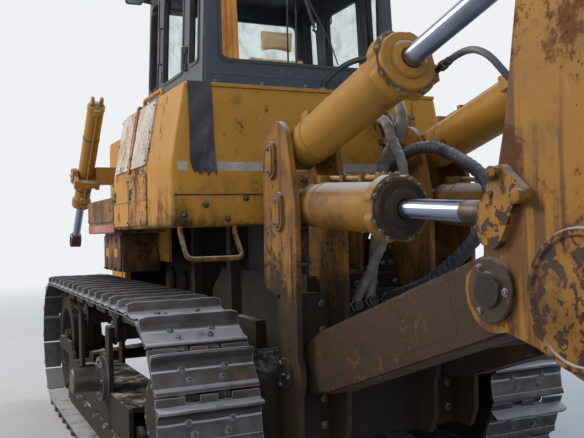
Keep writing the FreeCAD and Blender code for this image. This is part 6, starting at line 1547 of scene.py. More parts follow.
def make_cab():
    piece("Cab_frame", cab_frame_surface(), ["dark_paint", "black_rubber", "bolt_steel"], replaces=["cab_frame"],
          bevel=0.0)
    piece("Cab_roof", cab_roof_surface(), ["dark_paint", "black_rubber", "bolt_steel"], replaces=["cab_roof"],
          bevel=0.008, steps=3)
    door = door_surface()
    for hand, surface in (("left", door), ("right", door.mirrored())):
        piece(f"Door_{hand}", surface, ["dark_paint", "black_rubber", "bolt_steel"], f"door_{hand}", [f"door_{hand}"])
    piece("Cab_trim", cab_trim_surface(), ["dark_paint", "dark_plastic", "chrome_rod"])
    make_inside()


def make_inside():
    """Knobs on the levers, an instrument hood and pedals; the curtain hangs in the rear window's left corner."""
    inside = Surface()
    for side in (-1, 1):
        inside.add(turned([(0.0, 0.010), (0.01, 0.022), (0.035, 0.027), (0.055, 0.020), (0.062, 0.006)], 20), TOP,
                   (1.445, side * 0.39, 2.900))
        inside.add(prism(rectangle(1.05, 1.53, -0.075, 0.075, 0.03), 2.655, 2.668), TOP, (0, side * 0.39, 0), 1)
        for x in (1.15, 1.25, 1.35):
            inside.add(turned([(0.0, 0.016), (0.012, 0.015), (0.014, 0.007), (0.06, 0.006), (0.065, 0.012), (0.085, 0.012),
                               (0.09, 0.005)], 14), TOP, (x, side * 0.39, 2.666))
    inside.add(prism(rounded([(1.60, 2.66), (1.63, 2.70), (1.80, 2.60), (1.78, 2.55)], 0.01), -0.38, 0.38), SIDE, paint=1)
    for y in (-0.24, -0.08, 0.08, 0.24):
        inside.add(turned([(0.0, 0.05), (0.008, 0.05), (0.010, 0.043)], 24), axes_along((-0.55, 0, 0.83)), (1.71, y, 2.648), 2)
    for y in (-0.16, 0.16):
        inside.add(prism(rectangle(-0.05, 0.05, -0.07, 0.07, 0.02), -0.01, 0.01), axes_along((-0.8, 0, 0.6)), (1.66, y, 2.30), 2)
        inside.add(tube([(1.66, y, 2.30), (1.74, y, 2.20), (1.79, y, 2.11)], 0.012, 10), paint=2)
    piece("Cab_inside", inside, ["dark_plastic", "dark_plastic", "worn_steel"])
    across, up = np.linspace(0, 1, 40), np.linspace(0, 1, 24)
    u, v = np.meshgrid(across, up, indexing="ij")
    folds = 0.010 * np.sin(u * 21) * (1 - 0.25 * v) + 0.004 * np.sin(u * 47 + 1.0)
    cloth = np.stack([0.475 + folds, 0.655 - u * 0.150 - 0.02 * (1 - v) * u, 3.045 + v * 0.715], -1)
    curtain = Surface()
    curtain.points.append(cloth.reshape(-1, 3))
    curtain.faces.append(grid_faces(40, 24, closed=False))
    curtain.paint.append(np.zeros(len(curtain.faces[0]), int))
    curtain.count = 960
    thing = piece("Curtain", curtain, ["curtain_cloth"])


# the seat: three pads, each blown up from a smaller shape by a short cloth run

def pad_shapes():
    """Smaller outlines of the seat's cushion, back and headrest, each a prism across the machine."""
    cushion = prism(rounded([(1.050, 2.455), (1.438, 2.455), (1.446, 2.500), (1.430, 2.550), (1.050, 2.545)], 0.02, 3), -0.252, 0.252)
    back = prism(rounded([(0.935, 2.470), (1.020, 2.470), (1.022, 2.575), (0.948, 3.205), (0.880, 3.205)], 0.02, 3), -0.245, 0.245)
    head = prism(rounded([(0.882, 3.250), (0.928, 3.250), (0.916, 3.402), (0.858, 3.402)], 0.014, 3), -0.134, 0.134)
    reach = bpy.context.scene.bulldozer_sizes.pad_swell
    return {"Cushion": (cushion, reach, (-0.11, 0.11)), "Backrest": (back, reach, (-0.11, 0.11)),
            "Headrest": (head, reach * 0.64, ())}


def swell(thing, reach):
    """Remesh, blow up for twenty steps without weight, and keep each point within reach of where it started."""
    grid = thing.modifiers.new("Grid", "REMESH")
    grid.mode, grid.voxel_size = "VOXEL", 0.008
    graph = bpy.context.evaluated_depsgraph_get()
    mesh = bpy.data.meshes.new_from_object(thing.evaluated_get(graph))
    thing.modifiers.clear()
    thing.data = mesh
    start = np.empty(len(mesh.vertices) * 3)
    mesh.vertices.foreach_get("co", start)
    cloth = thing.modifiers.new("Cloth", "CLOTH")
    cloth.settings.use_pressure = True
    cloth.settings.uniform_pressure_force = 4.0
    cloth.settings.effector_weights.gravity = 0.0
    cloth.point_cache.frame_start, cloth.point_cache.frame_end = 1, 20
    for step in range(1, 21):
        bpy.context.scene.frame_set(step)
    graph = bpy.context.evaluated_depsgraph_get()
    blown = thing.evaluated_get(graph).to_mesh()
    end = np.empty_like(start)
    blown.vertices.foreach_get("co", end)
    thing.evaluated_get(graph).to_mesh_clear()
    bpy.context.scene.frame_set(1)
    thing.modifiers.clear()
    start, move = start.reshape(-1, 3), (end - start).reshape(-1, 3)
    length = np.linalg.norm(move, axis=1, keepdims=True)
    move *= np.minimum(1.0, reach / np.maximum(length, 1e-9))
    mesh.vertices.foreach_set("co", (start + move).ravel())
    mesh.update()


def make_seat():
    """The pads are swollen first; the sewn channels come after, as grooves pressed in along the normals."""
    for name, (shape, reach, channels) in pad_shapes().items():
        pad = piece(name, Surface().add(shape, SIDE), ["seat_cover"], angle=180)
        swell(pad, reach)
        mesh = pad.data
        count = len(mesh.vertices)
        points, normals = np.empty(count * 3), np.empty(count * 3)
        mesh.vertices.foreach_get("co", points)
        mesh.vertex_normals.foreach_get("vector", normals)
        points, normals = points.reshape(-1, 3), normals.reshape(-1, 3)
        depth = sum((0.010 * np.exp(-((points[:, 1] - y) / 0.009) ** 2) for y in channels), np.zeros(count))
        mesh.vertices.foreach_set("co", (points - normals * depth[:, None]).ravel())
        mesh.polygons.foreach_set("use_smooth", np.ones(len(mesh.polygons), bool))
        mesh.update()
        smooth = pad.modifiers.new("Smooth", "SUBSURF")
        smooth.levels = smooth.render_levels = 1
    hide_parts("seat")


# hood, guard, stacks


def hood_trim_surface():
    """Panel seams, two banks of louvres, catches and a lifting lug on each side of the hood."""
    trim = Surface()
    blade = prism([(0.0, 0.0), (0.020, 0.012), (0.020, 0.020), (0.0, 0.034)], -0.19, 0.19)
    for side in (-1, 1):
        out = np.array([[0, 0, 0], [0, 0, 0], [0, 0, 0]], float)
        axes = np.array([[0, side, 0], [0, 0, 1], [1, 0, 0]], float)
        rows = [(x, side * 0.639, z) for x in (2.20, 2.75) for z in np.arange(2.20, 2.60, bpy.context.scene.bulldozer_sizes.louvre_step)]
        trim.scatter(blade, rows, axes)
        for u0, u1 in ((1.93, 2.46), (2.48, 3.01), (3.03, 3.28)):
            trim.add(prism(rectangle(u0, u1, 1.62, 2.66, 0.03), 0.638, 0.648),
                     SIDE * [[1, 1, 1], [1, 1, 1], [1, side, 1]])
            across = ACROSS * [[1, 1, 1], [1, 1, 1], [1, side, 1]]
            trim.scatter(BOLT, [(x, side * 0.648, z) for x in (u0 + 0.03, u1 - 0.03) for z in (1.66, 2.13, 2.62)], across, 2, 0.008)
            trim.add(turned([(0.646, 0.026), (0.655, 0.024), (0.662, 0.014), (0.663, 0.004)], 20), across,
                     ((u0 + u1) / 2, 0, 1.80), 2)
    for x in (1.925, 3.27):
        trim.add(prism(rounded([(-0.645, 2.68), (-0.645, 2.715), (-0.555, 2.806), (0.555, 2.806), (0.645, 2.715), (0.645, 2.68),
                                (0.637, 2.68), (0.637, 2.712), (0.552, 2.798), (-0.552, 2.798), (-0.637, 2.712), (-0.637, 2.68)], 0.0),
                       x - 0.012, x + 0.012), REAR)
    for y in (-0.45, 0.45):
        for x in (2.1, 3.1):
            trim.add(turned([(2.799, 0.030), (2.812, 0.028), (2.814, 0.010)], 20), TOP, (x, y, 0), 2)
    return trim


def guard_trim_surface():
    """Bolted rim round the grille, side covers, bars across the grille and two pull lugs."""
    trim = Surface()
    front = np.array([[0, 1, 0], [0, 0, 1], [1, 0, 0]], float)
    bolt_step = bpy.context.scene.bulldozer_sizes.rim_bolt_step
    trim.add(hollow_prism(rectangle(-0.655, 0.655, 1.075, 2.735, 0.04, 6), rectangle(-0.600, 0.600, 1.130, 2.700, 0.03, 6),
                          3.948, 3.962), front)
    rim = [(3.962, y, z) for y in (-0.628, 0.628) for z in np.arange(1.16, 2.70, bolt_step)]
    rim += [(3.962, y, z) for z in (1.102, 2.718) for y in np.arange(-0.5, 0.51, 0.25)]
    trim.scatter(BOLT, rim, axes_along((1, 0, 0)), 1, 0.015)
    for y in (-0.40, 0.40):
        lug = rounded([(3.93, 0.80), (4.005, 0.80), (4.020, 0.86), (4.005, 0.92), (3.93, 0.92)], 0.02, 4)
        trim.add(prism(lug, y - 0.03, y + 0.03), SIDE)
        trim.add(turned([(-0.036, 0.026), (0.036, 0.026)], 20), ACROSS, (3.985, y, 0.86), 1)
    for side in (-1, 1):
        mirror = [[1, 1, 1], [1, 1, 1], [1, side, 1]]
        trim.add(prism(rectangle(3.42, 3.84, 1.30, 2.10, 0.03), 0.718, 0.728), SIDE * mirror)
        trim.scatter(BOLT, [(x, side * 0.728, z) for x in (3.45, 3.81) for z in (1.34, 1.70, 2.06)],
                     ACROSS * mirror, 1, 0.011)
    for z in (1.55, 1.95, 2.35):
        trim.add(prism(rectangle(-0.59, 0.59, z - 0.012, z + 0.012, 0.004), 3.900, 3.912), front)
    return trim


def core_surface():
    """The radiator core behind the grille: thin fins in rows on a plate; and the engine block with round covers on its
    sides.
    """
    core = Surface()
    core.add(block(3.5605, 3.7195, -0.655, 0.655, 1.1805, 2.7595))
    rows = np.array([(3.7195, y, 1.97) for y in np.arange(-0.60, 0.605, 0.03)])
    fin = prism(rectangle(-0.003, 0.003, -0.70, 0.70, 0.0), -0.001, 0.010)
    core.scatter(fin, rows, REAR)
    core.add(block(1.9305, 3.1495, -0.3295, 0.3295, 0.9005, 2.4795), paint=1)
    for x in (2.05, 2.45, 2.85):
        for side in (-1, 1):
            axes = ACROSS * [[1, 1, 1], [1, 1, 1], [1, side, 1]]
            core.add(turned([(0.325, 0.11), (0.36, 0.11), (0.37, 0.09), (0.372, 0.03)], 28), axes, (x, 0, 1.35), 1)
    return core


def stacks_surface():
    """The exhaust with its silencer, bands and outlet, and the air cleaner's bowl with its clamp."""
    stacks = Surface()
    up = np.array([[1, 0, 0], [0, 1, 0], [0, 0, 1]], float)
    stacks.add(turned([(2.800, 0.086), (2.812, 0.086), (2.816, 0.068), (2.870, 0.068), (2.905, 0.140), (2.915, 0.150),
                       (3.225, 0.150), (3.238, 0.140), (3.280, 0.068), (3.635, 0.068), (3.640, 0.066), (3.640, 0.062),
                       (3.330, 0.062)], 40), up, (2.560, -0.230, 0))
    for z in (2.96, 3.18):
        stacks.add(turned_ring([(z - 0.012, 0.148), (z + 0.012, 0.148), (z + 0.012, 0.155), (z - 0.012, 0.155)], 40), up,
                   (2.560, -0.230, 0), 1)
    stacks.add(turned([(2.800, 0.088), (2.812, 0.088), (2.816, 0.070), (2.920, 0.070), (2.950, 0.140), (2.965, 0.150),
                       (3.120, 0.150), (3.150, 0.142), (3.178, 0.120), (3.180, 0.05)], 40), up, (2.920, 0.260, 0), 2)
    stacks.add(turned_ring([(2.955, 0.148), (2.985, 0.148), (2.985, 0.1585), (2.955, 0.1585)], 40), up, (2.920, 0.260, 0), 1)
    stacks.scatter(BOLT, [(2.560 + 0.077 * c, -0.230 + 0.077 * d, 2.812) for c, d in ((1, 0), (0, 1), (-1, 0), (0, -1))], up, 1, 0.008)
    return stacks


def make_nose():
    piece("Hood_trim", hood_trim_surface(), ["yellow_paint", "grimy_steel", "bolt_steel"])
    piece("Guard_trim", guard_trim_surface(), ["yellow_paint", "bolt_steel"])
    piece("Engine_and_core", core_surface(), ["grimy_steel", "grimy_steel"], replaces=["engine_block"])
    piece("Stacks", stacks_surface(), ["rusted_pipe", "bolt_steel", "yellow_paint"], replaces=["hood_stacks"])


# blade lift cylinders and small pieces

LEAN, OUT = math.radians(40), math.radians(2.2)
HOIST = np.array([3.770, 1.025, 2.450])


def hoist_axes():
    """Axes of the left blade cylinder: its second row runs across the machine, its third down the rod."""
    turn, lean = math.radians(90) - LEAN, OUT
    about_y = np.array([[math.cos(turn), 0, -math.sin(turn)], [0, 1, 0], [math.sin(turn), 0, math.cos(turn)]])
    about_x = np.array([[1, 0, 0], [0, math.cos(lean), math.sin(lean)], [0, -math.sin(lean), math.cos(lean)]])
    down, side = np.array([1.0, 0, 0]) @ about_y @ about_x, np.array([0, 1.0, 0]) @ about_y @ about_x
    return np.stack([np.cross(side, down), side, down])


def hoist_barrel_surface():
    axes = hoist_axes()
    barrel = Surface()
    barrel.add(turned([(-0.905, 0.068), (-0.896, 0.084), (-0.888, 0.090), (-0.845, 0.090), (-0.842, 0.084), (0.310, 0.084),
                       (0.318, 0.084), (0.320, 0.101), (0.334, 0.102), (0.382, 0.102), (0.388, 0.098), (0.390, 0.060),
                       (0.398, 0.056), (0.400, 0.046)], 48), axes, HOIST)
    barrel.add(turned([(-0.132, 0.040), (-0.128, 0.044), (0.128, 0.044), (0.132, 0.040)], 28),
               np.stack([axes[2], axes[0], axes[1]]), HOIST)
    angles = np.arange(6) * np.pi / 3
    spots = HOIST + 0.088 * (np.cos(angles)[:, None] * axes[0] + np.sin(angles)[:, None] * axes[1]) + 0.389 * axes[2]
    barrel.scatter(BOLT, spots, axes, 2, 0.010)
    for across in (-0.045, 0.045):
        prong = rounded([(-0.905, -0.045), (-0.985, -0.030), (-0.985, 0.030), (-0.905, 0.045)], 0.02, 4)
        barrel.add(prism(prong, across - 0.014, across + 0.014), np.stack([axes[2], axes[0], axes[1]]), HOIST)
    run = [(-0.83, 0.10), (-0.78, 0.118), (0.18, 0.118), (0.24, 0.10)]
    barrel.add(tube(bent([HOIST + axes[2] * a + axes[0] * b for a, b in run], 0.04), 0.010, 10), paint=0)
    for along in (-0.5, 0.0, 0.16):
        barrel.add(turned_ring([(along - 0.01, 0.082), (along + 0.01, 0.082), (along + 0.01, 0.088), (along - 0.01, 0.088)], 40),
                   axes, HOIST, 2)
    for along in (-0.86, 0.26):
        barrel.add(prism(rectangle(along - 0.03, along + 0.03, -0.035, 0.035, 0.008), 0.07, 0.112),
                   np.stack([axes[2], axes[1], axes[0]]), HOIST)
    return barrel


def hoist_rod_surface():
    axes = hoist_axes()
    rod = Surface()
    rod.add(turned([(-0.39, 0.038), (-0.388, 0.041), (0.828, 0.041), (0.832, 0.038)], 40), axes, HOIST)
    across = np.stack([axes[2], axes[0], axes[1]])
    rod.add(turned_ring([(-0.055, 0.038), (0.055, 0.038), (0.055, 0.074), (0.051, 0.078), (-0.051, 0.078), (-0.055, 0.074)], 40),
            across, HOIST + axes[2] * 0.905, 1)
    rod.add(turned([(0.815, 0.043), (0.820, 0.052), (0.845, 0.058)], 32), axes, HOIST, 1)
    return rod


def hoist_trim_surface():
    """Bolted caps over the cylinder's stub pins and a row of bolts on the yoke's foot."""
    axes = hoist_axes()
    trim = Surface()
    for side in (-1, 1):
        outward = np.stack([axes[2], axes[0], axes[1]]) * [[1, 1, 1], [1, 1, 1], [side, side, side]]
        centre = HOIST + axes[1] * side * 0.132
        trim.add(turned([(-0.001, 0.078), (0.012, 0.078), (0.016, 0.070), (0.017, 0.03)], 32), outward, centre)
        angles = np.arange(4) * np.pi / 2 + 0.6
        spots = centre + 0.060 * (np.cos(angles)[:, None] * outward[0] + np.sin(angles)[:, None] * outward[1]) + outward[2] * 0.015
        trim.scatter(BOLT, spots, outward, 1, 0.009)
    trim.scatter(BOLT, [(x, 0.7205, z) for x in (3.64, 3.81) for z in (2.385, 2.45, 2.515)], ACROSS, 1, 0.012)
    return trim


def lamps_surface():
    """Work lamps on the guard's top: a turned housing, a rim, a lens, and a bracket with its bolt."""
    lamps = Surface()
    ahead = axes_along((1, 0, 0))
    for y in (-0.46, 0.46):
        centre = (3.690, y, 2.918)
        lamps.add(turned([(0.0, 0.030), (0.004, 0.046), (0.030, 0.064), (0.060, 0.076), (0.100, 0.078), (0.112, 0.078),
                          (0.120, 0.074), (0.120, 0.068), (0.112, 0.066)], 36), ahead, centre)
        lamps.add(turned([(0.108, 0.066), (0.113, 0.050), (0.116, 0.03), (0.117, 0.01)], 36), ahead, centre, 1)
        lamps.add(prism(rounded([(-0.035, 2.8205), (0.035, 2.8205), (0.025, 2.860), (-0.025, 2.860)], 0.006), 3.728, 3.752),
                  REAR, (0, y, 0))
        lamps.add(turned([(0.0, 0.016), (0.012, 0.015), (0.013, 0.006)], 6), ahead, (3.752, y, 2.842), 2)
    return lamps


def rails_surface():
    """Handrails on the tall boxes and the bent step under the tank's rear edge: round bars with feet."""
    rails = Surface()
    for side in (-1, 1):
        top, out = TANK["top"], 0.960
        run = [(0.840, out, top - 0.01), (0.840, out, top + 0.056), (1.360, out, top + 0.056), (1.360, out, top - 0.01)]
        rails.add(tube(bent(np.array(run) * [1, side, 1], 0.035), 0.017, 16))
        low, rear = TANK["low"], TANK["rear"] - 0.120
        run = [(rear + 0.15, 1.04, low + 0.004), (rear + 0.15, 1.04, low - 0.04), (rear, 1.04, low - 0.21), (rear, 0.66, low - 0.21),
               (rear + 0.15, 0.66, low - 0.04), (rear + 0.15, 0.66, low + 0.004)]
        rails.add(tube(bent(np.array(run) * [1, side, 1], 0.05), 0.017, 16), paint=1)
        for x, y, z in ((0.840, out, top), (1.360, out, top)):
            rails.add(turned([(-0.002, 0.036), (0.006, 0.034), (0.008, 0.020)], 20), TOP, (x, side * y, z))
    return rails


def make_hoists():
    for hand, flip in (("left", False), ("right", True)):
        shapes = [hoist_barrel_surface(), hoist_rod_surface(), hoist_trim_surface()]
        if flip:
            shapes = [shape.mirrored() for shape in shapes]
        piece(f"Hoist_barrel_{hand}", shapes[0], ["cylinder_yellow", "grimy_steel", "bolt_steel"], f"hoist_barrel_{hand}",
              [f"hoist_barrel_{hand}"], bevel=0.003)
        piece(f"Hoist_rod_{hand}", shapes[1], ["chrome_rod", "link_steel"], f"hoist_rod_{hand}", [f"hoist_rod_{hand}"])
        piece(f"Hoist_caps_{hand}", shapes[2], ["cylinder_yellow", "bolt_steel"])
    piece("Lamps", lamps_surface(), ["dark_paint", "lamp_lens", "bolt_steel"], replaces=["work_lamps"])
    piece("Rails", rails_surface(), ["yellow_paint", "bracket_yellow"], replaces=["grab_rails"])


# fittings in the gap between the tank, the bracket and the case


# pipes in wrapped sleeves from the tank over the bracket's middle and down to its cross plate

SLEEVED = (
    (0.036, 5, [(-0.082, -0.13, 1.93), (-0.30, -0.20, 2.16), (-0.620, -0.22, 2.300), (-0.881, -0.20, 2.294),
                (-1.075, -0.17, 2.237), (-1.238, -0.14, 2.175), (-1.392, -0.11, 2.113), (-1.501, -0.09, 2.046),
                (-1.548, -0.08, 1.955), (-1.50, -0.08, 1.82), (-1.30, -0.08, 1.66), (-0.95, -0.09, 1.48),
                (-0.478, -0.10, 1.36)]),
    (0.033, 6, [(0.172, 0.10, 2.52), (-0.45, 0.08, 2.60), (-0.90, 0.05, 2.56), (-0.955, 0.05, 2.431), (-0.888, 0.05, 2.334),
                (-0.787, 0.05, 2.263), (-0.716, 0.05, 2.173), (-0.66, 0.05, 2.00), (-0.60, 0.04, 1.70),
                (-0.478, 0.02, 1.36)]),
    (0.029, 6, [(0.172, 0.17, 2.42), (-0.45, 0.15, 2.50), (-0.875, 0.12, 2.45), (-0.925, 0.12, 2.347),
                (-0.985, 0.12, 2.253), (-1.06, 0.12, 2.15), (-1.02, 0.12, 2.00), (-0.80, 0.11, 1.72), (-0.478, 0.13, 1.34)]),
)


def sleeved(parts, route, radius, paint):
    """A pipe in a wrapped sleeve: its path is walked in even steps, and the radius swells once for each wrap."""
    path = bent(np.array(route), 0.10, 8)
    way = np.concatenate([[0], np.cumsum(np.linalg.norm(np.diff(path, axis=0), axis=1))])
    steps = np.arange(0, way[-1], 0.010)
    even = np.stack([np.interp(steps, way, path[:, k]) for k in range(3)], -1)
    parts.add(tube(even, radius * (1 + 0.06 * np.cos(steps * 2 * np.pi / 0.055)), 16), paint=paint)
    for end in (route[0], route[-1]):
        parts.add(turned([(-0.004, radius + 0.012), (0.024, radius + 0.012), (0.026, radius + 0.004), (0.060, radius + 0.003)], 6),
                  axes_along((-1, 0, 0)), end, 2)


def fittings_surface():
    """Steel pipes with their clamps, a valve block, posts and the bolts of the case's covers."""
    parts = Surface()
    for y, high in ((-0.10, 2.20), (0.02, 2.26), (0.14, 2.17)):
        run = [(0.172, y, high), (0.02, y, high), (-0.10, y - 0.02, high - 0.12), (-0.12, y - 0.04, 1.70), (-0.12, y - 0.04, 1.523)]
        parts.add(tube(bent(np.array(run), 0.09, 8), 0.019, 14), paint=1)
        parts.add(turned([(0.0, 0.034), (0.022, 0.034), (0.024, 0.026), (0.05, 0.025)], 6), axes_along((-1, 0, 0)), (0.170, y, high), 2)
        parts.add(turned([(0.0, 0.030), (0.03, 0.030), (0.032, 0.023)], 6), TOP, (-0.12, y - 0.04, 1.521), 2)
    for n, (y, high) in enumerate(((-0.40, 2.62), (-0.47, 2.66), (-0.55, 2.60), (-0.64, 2.56))):
        run = [(0.172, y, high), (0.04, y, high), (-0.03, y - 0.03, high - 0.16), (-0.06, y + 0.02, 2.22), (-0.09, y + 0.12, 1.95),
               (-0.10, y * 0.4 - 0.06 * n, 1.70), (-0.10, y * 0.4 - 0.06 * n, 1.523)]
        parts.add(tube(bent(np.array(run), 0.10, 8), 0.024, 14), paint=4 if n % 2 else 3)
        parts.add(turned([(0.0, 0.040), (0.024, 0.040), (0.026, 0.031), (0.055, 0.030)], 6), axes_along((-1, 0, 0)), (0.170, y, high), 2)
    parts.add(prism(rounded([(-0.67, 2.36), (-0.37, 2.40), (-0.37, 2.45), (-0.67, 2.41)], 0.01), -0.078, -0.005), REAR)
    parts.add(prism(rectangle(-0.745, -0.615, 2.44, 2.64, 0.016), 0.075, 0.171), REAR)
    parts.scatter(BOLT, [(0.075, y, z) for y in (-0.725, -0.635) for z in (2.46, 2.54, 2.62)], axes_along((-1, 0, 0)), 2, 0.011)
    loop = [(0.32, -0.10, 2.815), (0.30, -0.11, 2.90), (0.16, -0.233, 3.020), (0.10, -0.40, 3.06), (0.11, -0.452, 2.95), (0.19, -0.46, 2.815)]
    parts.add(tube(bent(np.array(loop), 0.09, 8), 0.021, 14), paint=4)
    for x, y in ((0.32, -0.10), (0.19, -0.46)):
        parts.add(turned([(2.818, 0.036), (2.850, 0.036), (2.852, 0.028)], 6), TOP, (x, y, 0), 2)
    parts.add(prism(rectangle(-0.16, -0.075, -0.16, 0.14, 0.012), 1.86, 1.91), TOP)
    parts.scatter(BOLT, [(-0.118, y, 1.91) for y in (-0.11, 0.09)], TOP, 2, 0.011)
    parts.add(prism(rectangle(-0.30, -0.08, -0.28, -0.18, 0.012), 1.521, 1.74), TOP, paint=3)
    parts.add(prism(rectangle(-0.28, -0.10, 0.19, 0.28, 0.012), 1.521, 1.66), TOP, paint=3)
    rear = axes_along((-1, 0, 0))
    parts.scatter(BOLT, [(-0.302, y, z) for y in (-0.26, -0.20) for z in (1.58, 1.68)], rear, 2, 0.012)
    for y in (-0.24, 0.24):
        parts.add(prism(rectangle(-0.03, 0.03, 1.521, 1.86, 0.006), 0.10, 0.16), REAR, (0, y, 0))
    grid = [(-0.412, y, z) for y in (-0.22, -0.07, 0.07, 0.22) for z in (0.60, 1.46)]
    grid += [(-0.412, y, z) for y in (-0.22, 0.22) for z in (0.82, 1.04, 1.26)]
    parts.scatter(BOLT, grid, rear, 2, 0.018)
    parts.add(turned([(0.0, 0.15), (0.018, 0.15), (0.022, 0.14), (0.022, 0.05), (0.05, 0.045), (0.055, 0.02)], 36), rear,
              (-0.409, 0.0, 0.98), 3)
    bolt_ring(parts, (-0.430, 0, 0.98), 0.115, 8, rear, 0.012)
    for radius, paint, route in SLEEVED:
        sleeved(parts, route, radius, paint)
    return parts


def make_fittings():
    piece("Fittings", fittings_surface(), ["bracket_yellow", "oiled_yellow", "bolt_steel", "grimy_steel", "dark_plastic",
                                           "blue_sleeve", "frosted_sleeve"], bevel=0.003)


# soft pieces


def flap_surface():
    """A limp rubber strip: a grid bent by long creases, its lower end flared and torn, thickened to both sides."""
    rows, columns = 72, 24
    v, u = np.meshgrid(np.linspace(0, 1, rows), np.linspace(0, 1, columns), indexing="ij")
    low = FLAP[2] + 0.030 * np.abs(np.sin(u * 9.0)) + 0.020 * np.sin(u * 23.0 + 1.0) ** 2
    z = FLAP[3] + (low - FLAP[3]) * v
    outer = FLAP[0] + FLAP[1] - 0.012 * np.sin(v * 2.6) - 0.030 * np.clip(v - 0.88, 0, 1) * 8
    inner = FLAP[0] + 0.022 - 0.012 * np.sin(v * 4.0) - 0.045 * np.clip(v - 0.55, 0, 1) * 2
    y = inner + (outer - inner) * u
    fold = np.sin((u * 1.5 + v * 0.9) * np.pi) * v + 0.5 * np.sin(v * 15 - u * 5.0) + 0.35 * np.sin(v * 33 + u * 11.0) * v
    x = 0.160 - 0.010 * (0.5 + 0.5 * np.clip(fold, -1, 1))
    sheet = Surface()
    thick = 0.005
    for offset, flip in ((-thick, True), (thick, False)):
        sheet.points.append(np.stack([x + offset * 0.7, y, z], -1).reshape(-1, 3))
    faces = grid_faces(rows, columns, closed=False)
    count = rows * columns
    edge = np.concatenate([np.arange(columns), np.arange(1, rows) * columns + columns - 1,
                           (rows - 1) * columns + np.arange(columns - 2, -1, -1), np.arange(rows - 2, 0, -1) * columns])
    after = np.roll(edge, -1)
    rim = np.stack([edge, after, after + count, edge + count], -1)
    sheet.faces = [faces, faces[:, ::-1] + count, rim]
    sheet.paint = [np.zeros(len(f), int) for f in sheet.faces]
    sheet.count = 2 * count
    return sheet


FLAP = (0.800, 0.185, 2.180, 2.812)


def make_flap():
    thing = piece("Rubber_flap", flap_surface(), ["flap_rubber"], replaces=["rubber_flap"], angle=60)


# the stage: camera, lamps, floor

PHOTO = {"at": (-4.985, 2.467, 1.815), "yaw": 25.113, "pitch": 0.821, "roll": 1.431, "lens": 46.31}


def photo_camera():
    """The photograph's viewpoint: looking forward, turned right by yaw, up by pitch, and rolled."""
    yaw, pitch, roll = (math.radians(PHOTO[key]) for key in ("yaw", "pitch", "roll"))
    ahead = np.array([math.cos(pitch) * math.cos(yaw), -math.cos(pitch) * math.sin(yaw), math.sin(pitch)])
    right = np.array([-math.sin(yaw), -math.cos(yaw), 0.0])
    down = np.cross(ahead, right)
    c, s = math.cos(roll), math.sin(roll)
    right, down = c * right + s * down, -s * right + c * down
    data = bpy.data.cameras.new("Camera")
    data.lens, data.sensor_width, data.clip_end = PHOTO["lens"], 36.0, 300.0
    camera = bpy.data.objects.new("Camera", data)
    bpy.context.scene.collection.objects.link(camera)
    turn = np.eye(4)
    turn[:3, 0], turn[:3, 1], turn[:3, 2], turn[:3, 3] = right, -down, -ahead, PHOTO["at"]
    camera.matrix_world = Matrix(turn.tolist())
    bpy.context.scene.camera = camera


def lamp(name, place, aim, size, power, colour):
    data = bpy.data.lights.new(name, "AREA")
    data.shape, data.size, data.energy, data.color = "DISK", size, power, colour
    thing = bpy.data.objects.new(name, data)
    bpy.context.scene.collection.objects.link(thing)
    axes = axes_along(np.array(place) - np.array(aim))
    turn = np.eye(4)
    turn[:3, 0], turn[:3, 1], turn[:3, 2], turn[:3, 3] = axes[0], axes[1], axes[2], place
    thing.matrix_world = Matrix(turn.tolist())


SKY = (0.86, 0.88, 0.90)


def seen(tree):
    """1 where the camera, a reflection or clear glass looks at a surface."""
    path = put(tree, "ShaderNodeLightPath").outputs
    return calc(tree, "MAXIMUM", path["Is Camera Ray"], calc(tree, "MAXIMUM", path["Is Glossy Ray"],
                                                             path["Is Transmission Ray"]))


def make_world(strength):
    world = bpy.data.worlds.new("Daylight")
    bpy.context.scene.world = world
    world.use_nodes = True
    tree = world.node_tree
    tree.nodes.clear()
    light = put(tree, "ShaderNodeBackground", {"Color": rgba((0.80, 0.88, 1.0)), "Strength": strength})
    sky = put(tree, "ShaderNodeBackground", {"Color": rgba(SKY), "Strength": 1.0})
    chosen = put(tree, "ShaderNodeMixShader", {0: seen(tree)})
    tree.links.new(light.outputs[0], chosen.inputs[1])
    tree.links.new(sky.outputs[0], chosen.inputs[2])
    tree.links.new(chosen.outputs[0], put(tree, "ShaderNodeOutputWorld").inputs[0])


def make_floor():
    """A pale floor that fades to the sky's colour far off where it is seen, on a flat disc whose edge is turned down a
    little.
    """
    tree, shader = blank("pale_floor")
    where = put(tree, "ShaderNodeTexCoord").outputs["Object"]
    cloud = remap(tree, noise(tree, where, 0.6, 5.0, 0.6), 0.3, 0.7)
    tree.links.new(mix(tree, cloud, rgba((0.50, 0.53, 0.58)), rgba((0.58, 0.60, 0.64))), shader["Base Color"])
    tree.links.new(remap(tree, cloud, 0.0, 1.0, 0.75, 0.9), shader["Roughness"])
    away = put(tree, "ShaderNodeVectorMath", {0: where}, operation="LENGTH").outputs["Value"]
    haze = calc(tree, "MULTIPLY", seen(tree), remap(tree, away, 5.0, 24.0))
    glow = put(tree, "ShaderNodeEmission", {"Color": rgba(SKY), "Strength": 1.0})
    end = next(node for node in tree.nodes if node.type == "OUTPUT_MATERIAL")
    plain = end.inputs[0].links[0].from_socket
    faded = put(tree, "ShaderNodeMixShader", {0: haze, 1: plain, 2: glow.outputs[0]})
    tree.links.new(faded.outputs[0], end.inputs[0])
    floor = Surface().add(turned([(-0.02, 70.0), (0.0, 70.0), (0.0, 0.01)], 96))
    mesh = bpy.data.meshes.new("Floor")
    mesh.from_pydata((np.concatenate(floor.points)).tolist(), [], [list(f) for g in floor.faces for f in g.tolist()])
    mesh.materials.append(bpy.data.materials["pale_floor"])
    thing = bpy.data.objects.new("Floor", mesh)
    bpy.context.scene.collection.objects.link(thing)


